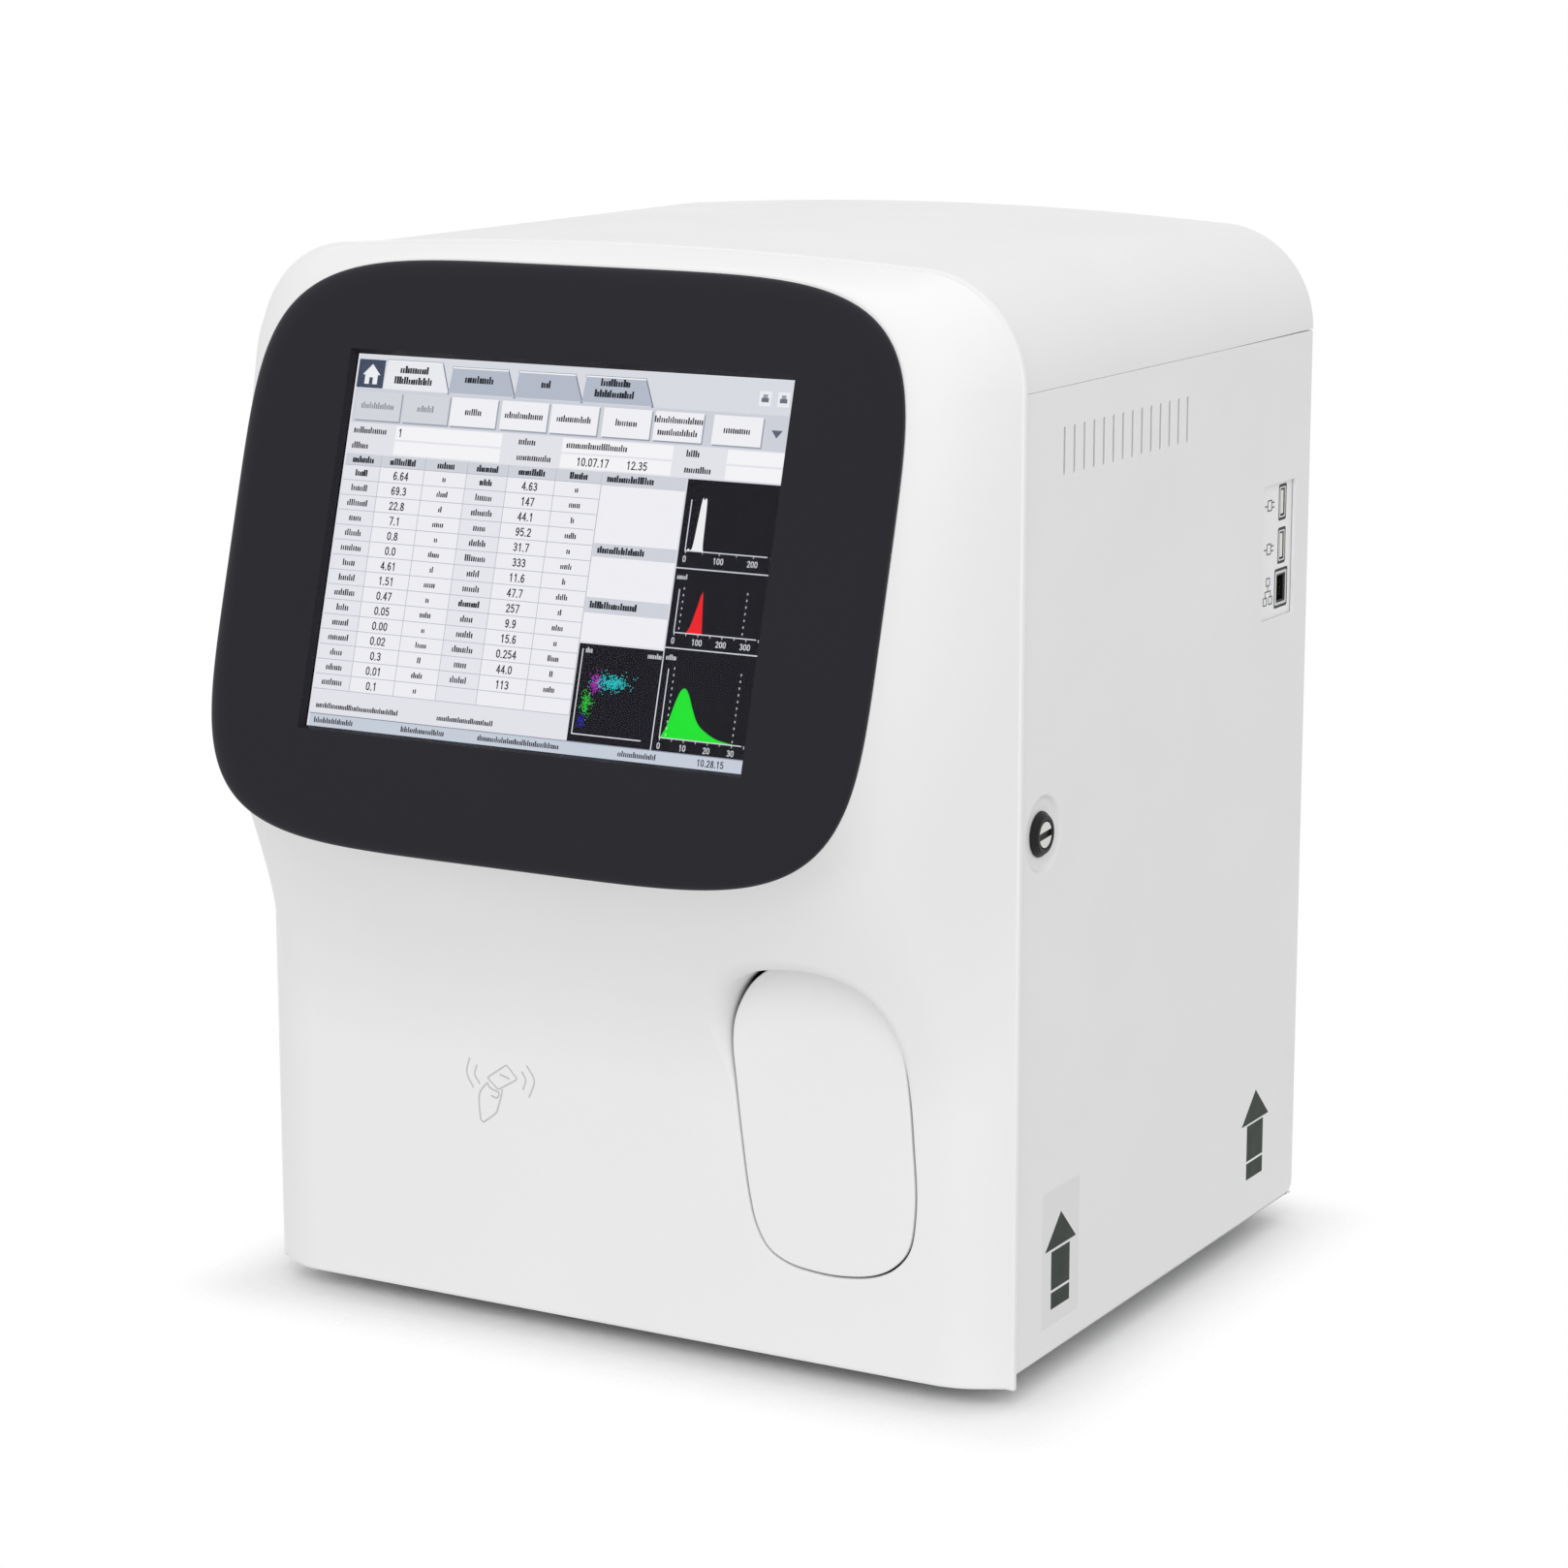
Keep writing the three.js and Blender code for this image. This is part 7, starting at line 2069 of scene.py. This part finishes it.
def copied(node: str) -> Surface:
    """Points and triangles of a CAD node in cabinet mm, with its doubles merged.

    Args:
        node: name of the node.

    Returns:
        Closed surface.
    """
    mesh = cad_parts[node].data
    points = np.empty(3 * len(mesh.vertices))
    mesh.vertices.foreach_get("co", points)
    corners = np.empty(len(mesh.loops), np.int32)
    mesh.loops.foreach_get("vertex_index", corners)
    triangles = corners.reshape(-1, 3)
    faces = np.concatenate([triangles, triangles[:, 2:]], axis=1)
    return Surface(points.reshape(-1, 3) * 1000.0 - ORIGIN, faces, np.ones(len(faces), bool)).welded(1e-3)


@dataclass(frozen=True)
class SoftenedPart:
    """A CAD solid whose sharp edges get the small radius that the real part has."""

    node: str
    finish: Finish
    edge: float

    def build(self) -> None:
        """Copies the solid, makes its flat faces whole and rounds its edges."""
        name, body = self.node + "_finished", MOVING.get(self.node, Body.HOUSING)
        piece = add_piece(name, copied(self.node), self.finish, [self.node], body, sharp=30.0)
        piece.modifiers.clear()
        flat = piece.modifiers.new("flat faces", "DECIMATE")
        flat.decimate_type = "DISSOLVE"
        flat.angle_limit = math.radians(0.5)
        soft = piece.modifiers.new("soft edges", "BEVEL")
        soft.width, soft.segments = self.edge / 1000.0, 2
        soft.limit_method, soft.angle_limit = "ANGLE", math.radians(35.0)
        soft.use_clamp_overlap = True
        steady_shading(piece)


@dataclass
class Studio:
    """Pale floor, soft lamps, white surroundings and the camera."""

    place: Triple = (0.9267, -1.6244, 0.6193)
    azimuth: float = 29.263
    elevation: float = 11.775
    lens: float = 97.52
    footprint: Triple = (0.1866, 0.1594, 0.0)
    footprint_centre: Triple = (0.0, 0.0367, 0.0)
    shadow_reach: float = 0.045
    floor_reach: float = 6.0
    fill: float = 0.73
    aim_height: float = 0.24

    def camera(self) -> None:
        """Makes the camera at the photograph's place and viewing angle."""
        data = bpy.data.cameras.new("camera")
        data.lens, data.sensor_width = self.lens, 36.0
        data.clip_start, data.clip_end = 0.01, 50.0
        camera = bpy.data.objects.new("camera", data)
        bpy.context.scene.collection.objects.link(camera)
        az, el = math.radians(self.azimuth), math.radians(self.elevation)
        aim = Vector((-math.sin(az) * math.cos(el), math.cos(az) * math.cos(el), -math.sin(el)))
        camera.location = self.place
        camera.rotation_mode = "QUATERNION"
        camera.rotation_quaternion = aim.to_track_quat("-Z", "Y")
        bpy.context.scene.camera = camera

    def lamp(self, name: str, place: Numbers, size: float, power: float, glossy: bool) -> None:
        """Makes a square soft lamp that faces the cabinet.

        Args:
            name: name of the lamp.
            place: where it stands, in metres.
            size: its side, in metres.
            power: its strength in watts.
            glossy: whether it shows in glossy surfaces.
        """
        data = bpy.data.lights.new(name, "AREA")
        data.size, data.energy = size, power
        lamp = bpy.data.objects.new(name, data)
        bpy.context.scene.collection.objects.link(lamp)
        lamp.location = place
        lamp.visible_glossy = glossy
        lamp.rotation_mode = "QUATERNION"
        aim = Vector((0.0, 0.0, self.aim_height)) - Vector(place)
        lamp.rotation_quaternion = aim.to_track_quat("-Z", "Y")

    def surroundings(self) -> None:
        """White to the camera, in gloss and through glass; a plain level of light on everything else."""
        world = bpy.data.worlds.new("surroundings")
        bpy.context.scene.world = world
        tree = cleared(world)
        path = add_node(tree, "LightPath")
        seen = path.outputs["Is Camera Ray"]
        for ray in ("Is Glossy Ray", "Is Transmission Ray"):
            either = add_node(tree, "Math", {0: seen, 1: path.outputs[ray]}, operation="MAXIMUM")
            seen = either.outputs[0]
        level = add_node(tree, "MapRange", {"Value": seen, "To Min": self.fill, "To Max": 1.0})
        white = add_node(
            tree, "Background", {"Color": (1.0, 1.0, 1.0, 1.0), "Strength": level.outputs["Result"]}
        )
        add_node(tree, "OutputWorld", {"Surface": white.outputs["Background"]})

    def floor(self) -> None:
        """Pale floor that keeps the cabinet's shadow and fades out into the white surroundings, by the
        distance outside the cabinet's footprint."""
        mesh = bpy.data.meshes.new("floor")
        far = self.floor_reach
        mesh.from_pydata([(-far, -far, 0), (far, -far, 0), (far, far, 0), (-far, far, 0)], [], [(0, 1, 2, 3)])
        floor = bpy.data.objects.new("floor", mesh)
        bpy.context.scene.collection.objects.link(floor)
        material = bpy.data.materials.new("pale studio floor")
        tree = cleared(material)
        where = add_node(tree, "TexCoord")
        away = where.outputs["Object"]
        steps = (
            ("SUBTRACT", self.footprint_centre), ("ABSOLUTE", None), ("SUBTRACT", self.footprint),
            ("MAXIMUM", (0.0, 0.0, 0.0)),
        )
        for operation, other in steps:
            inputs = {0: away} if other is None else {0: away, 1: other}
            away = add_node(tree, "VectorMath", inputs, operation=operation).outputs["Vector"]
        length = add_node(tree, "VectorMath", {0: away}, operation="LENGTH")
        fade = add_node(
            tree, "MapRange",
            {"Value": length.outputs["Value"], "From Min": 0.0, "From Max": self.shadow_reach},
            interpolation_type="SMOOTHSTEP",
        )
        paint = add_node(tree, "BsdfDiffuse", {"Color": linear("#FDFDFD")})
        clear = add_node(tree, "BsdfTransparent")
        mixed = add_node(
            tree, "MixShader",
            {0: fade.outputs["Result"], 1: paint.outputs["BSDF"], 2: clear.outputs["BSDF"]},
        )
        add_node(tree, "OutputMaterial", {"Surface": mixed.outputs["Shader"]})
        mesh.materials.append(material)

    def build(self) -> None:
        """Makes camera, lamps, surroundings and floor."""
        self.camera()
        self.surroundings()
        self.floor()
        self.lamp("key", (1.0, -2.35, 1.5), 1.5, 24.0, False)
        self.lamp("top", (0.2, 0.3, 2.2), 1.6, 5.5, True)
        bpy.context.scene.view_settings.view_transform = "Standard"


# CAD nodes that stay, with the finish and the edge radius of each
SOFTENED = (
    ("rear_panel", POWDER_COAT, 0.3), ("base_tray", ZINC, 0.4), ("chassis_frame", ZINC, 0.6),
    ("partition_plate", ZINC, 0.3), ("tube_holder", GREY_PP, 0.7), ("sample_bay", BLACK_NYLON, 0.5),
    ("sample_door_latch", GREY_PP, 0.4), ("door_pivot_upper", ZINC, 0.2), ("door_pivot_lower", ZINC, 0.1),
    ("fan_frame", BLACK_NYLON, 0.5), ("fan_rotor", BLACK_NYLON, 0.3), ("power_inlet", BLACK_NYLON, 0.4),
    ("switch_frame", BLACK_NYLON, 0.4), ("switch_rocker", BLACK_NYLON, 0.5), ("diluent_port", GREY_PP, 0.3),
    ("lyse_port", GREY_PP, 0.3), ("waste_port", BRASS, 0.3), ("probe_rail", STAINLESS, 0.5),
    ("probe_carriage", ANODISED, 0.6), ("probe_block", BLACK_NYLON, 0.5), ("sampling_probe", STAINLESS, 0.15),
    ("carriage_motor", BLACK_NYLON, 0.8), ("bath_shelf", ANODISED, 0.6), ("wbc_bath", ACRYLIC, 0.4),
    ("rbc_bath", ACRYLIC, 0.4), ("syringe_bracket", ANODISED, 0.6), ("syringe_barrel_large", ACRYLIC, 0.3),
    ("syringe_barrel_small", ACRYLIC, 0.3), ("plunger_large", STAINLESS, 0.3),
    ("plunger_small", STAINLESS, 0.3), ("valve_bank", ANODISED, 0.5), ("liquid_pump", GREY_PP, 1.0),
    ("waste_chamber", ACRYLIC, 0.5), ("instrument_shelf", ZINC, 0.5), ("optical_bench", ANODISED, 0.8),
    ("power_supply", ZINC, 0.5),
)
MOVING = {
    "tube_holder": Body.SAMPLE_DOOR, "fan_rotor": Body.FAN, "switch_rocker": Body.ROCKER,
    "probe_carriage": Body.CARRIAGE, "probe_block": Body.PROBE, "sampling_probe": Body.PROBE,
    "plunger_large": Body.LARGE_PLUNGER, "plunger_small": Body.SMALL_PLUNGER,
}
NODE_FINISHES: dict[str, Finish] = {
    "touch_glass": TOUCH_GLASS, "lcd_module": BLACK_NYLON, "display_bracket": ZINC,
    "sample_door_pin": STAINLESS, "io_board": MASK_GREEN, "main_board": MASK_GREEN,
    "card_reader_board": MASK_GREEN,
}


def dress_nodes() -> None:
    """Gives each CAD node that stays visible its procedural material."""
    for name, finish in NODE_FINISHES.items():
        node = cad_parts[name]
        for place in node.material_slots:
            place.material = finish.material()
        LOG.info("%s: %s", name, finish.name)


def main() -> None:
    """Builds the analyzer class by class."""
    logging.basicConfig(level=logging.INFO, format="%(name)s %(message)s")
    Studio().build()
    dress_nodes()
    covers = (FrontCover(), DisplayFrame(), TopCover(), ServiceDoor(), SidePanel(), SampleDoor())
    softened = [SoftenedPart(node, finish, edge) for node, finish, edge in SOFTENED]
    for part in (*covers, ScreenPicture(), Marks(), DoorLock(), SOCKETS, Feet(), *softened):
        part.build()


if __name__ == "__main__":
    main()
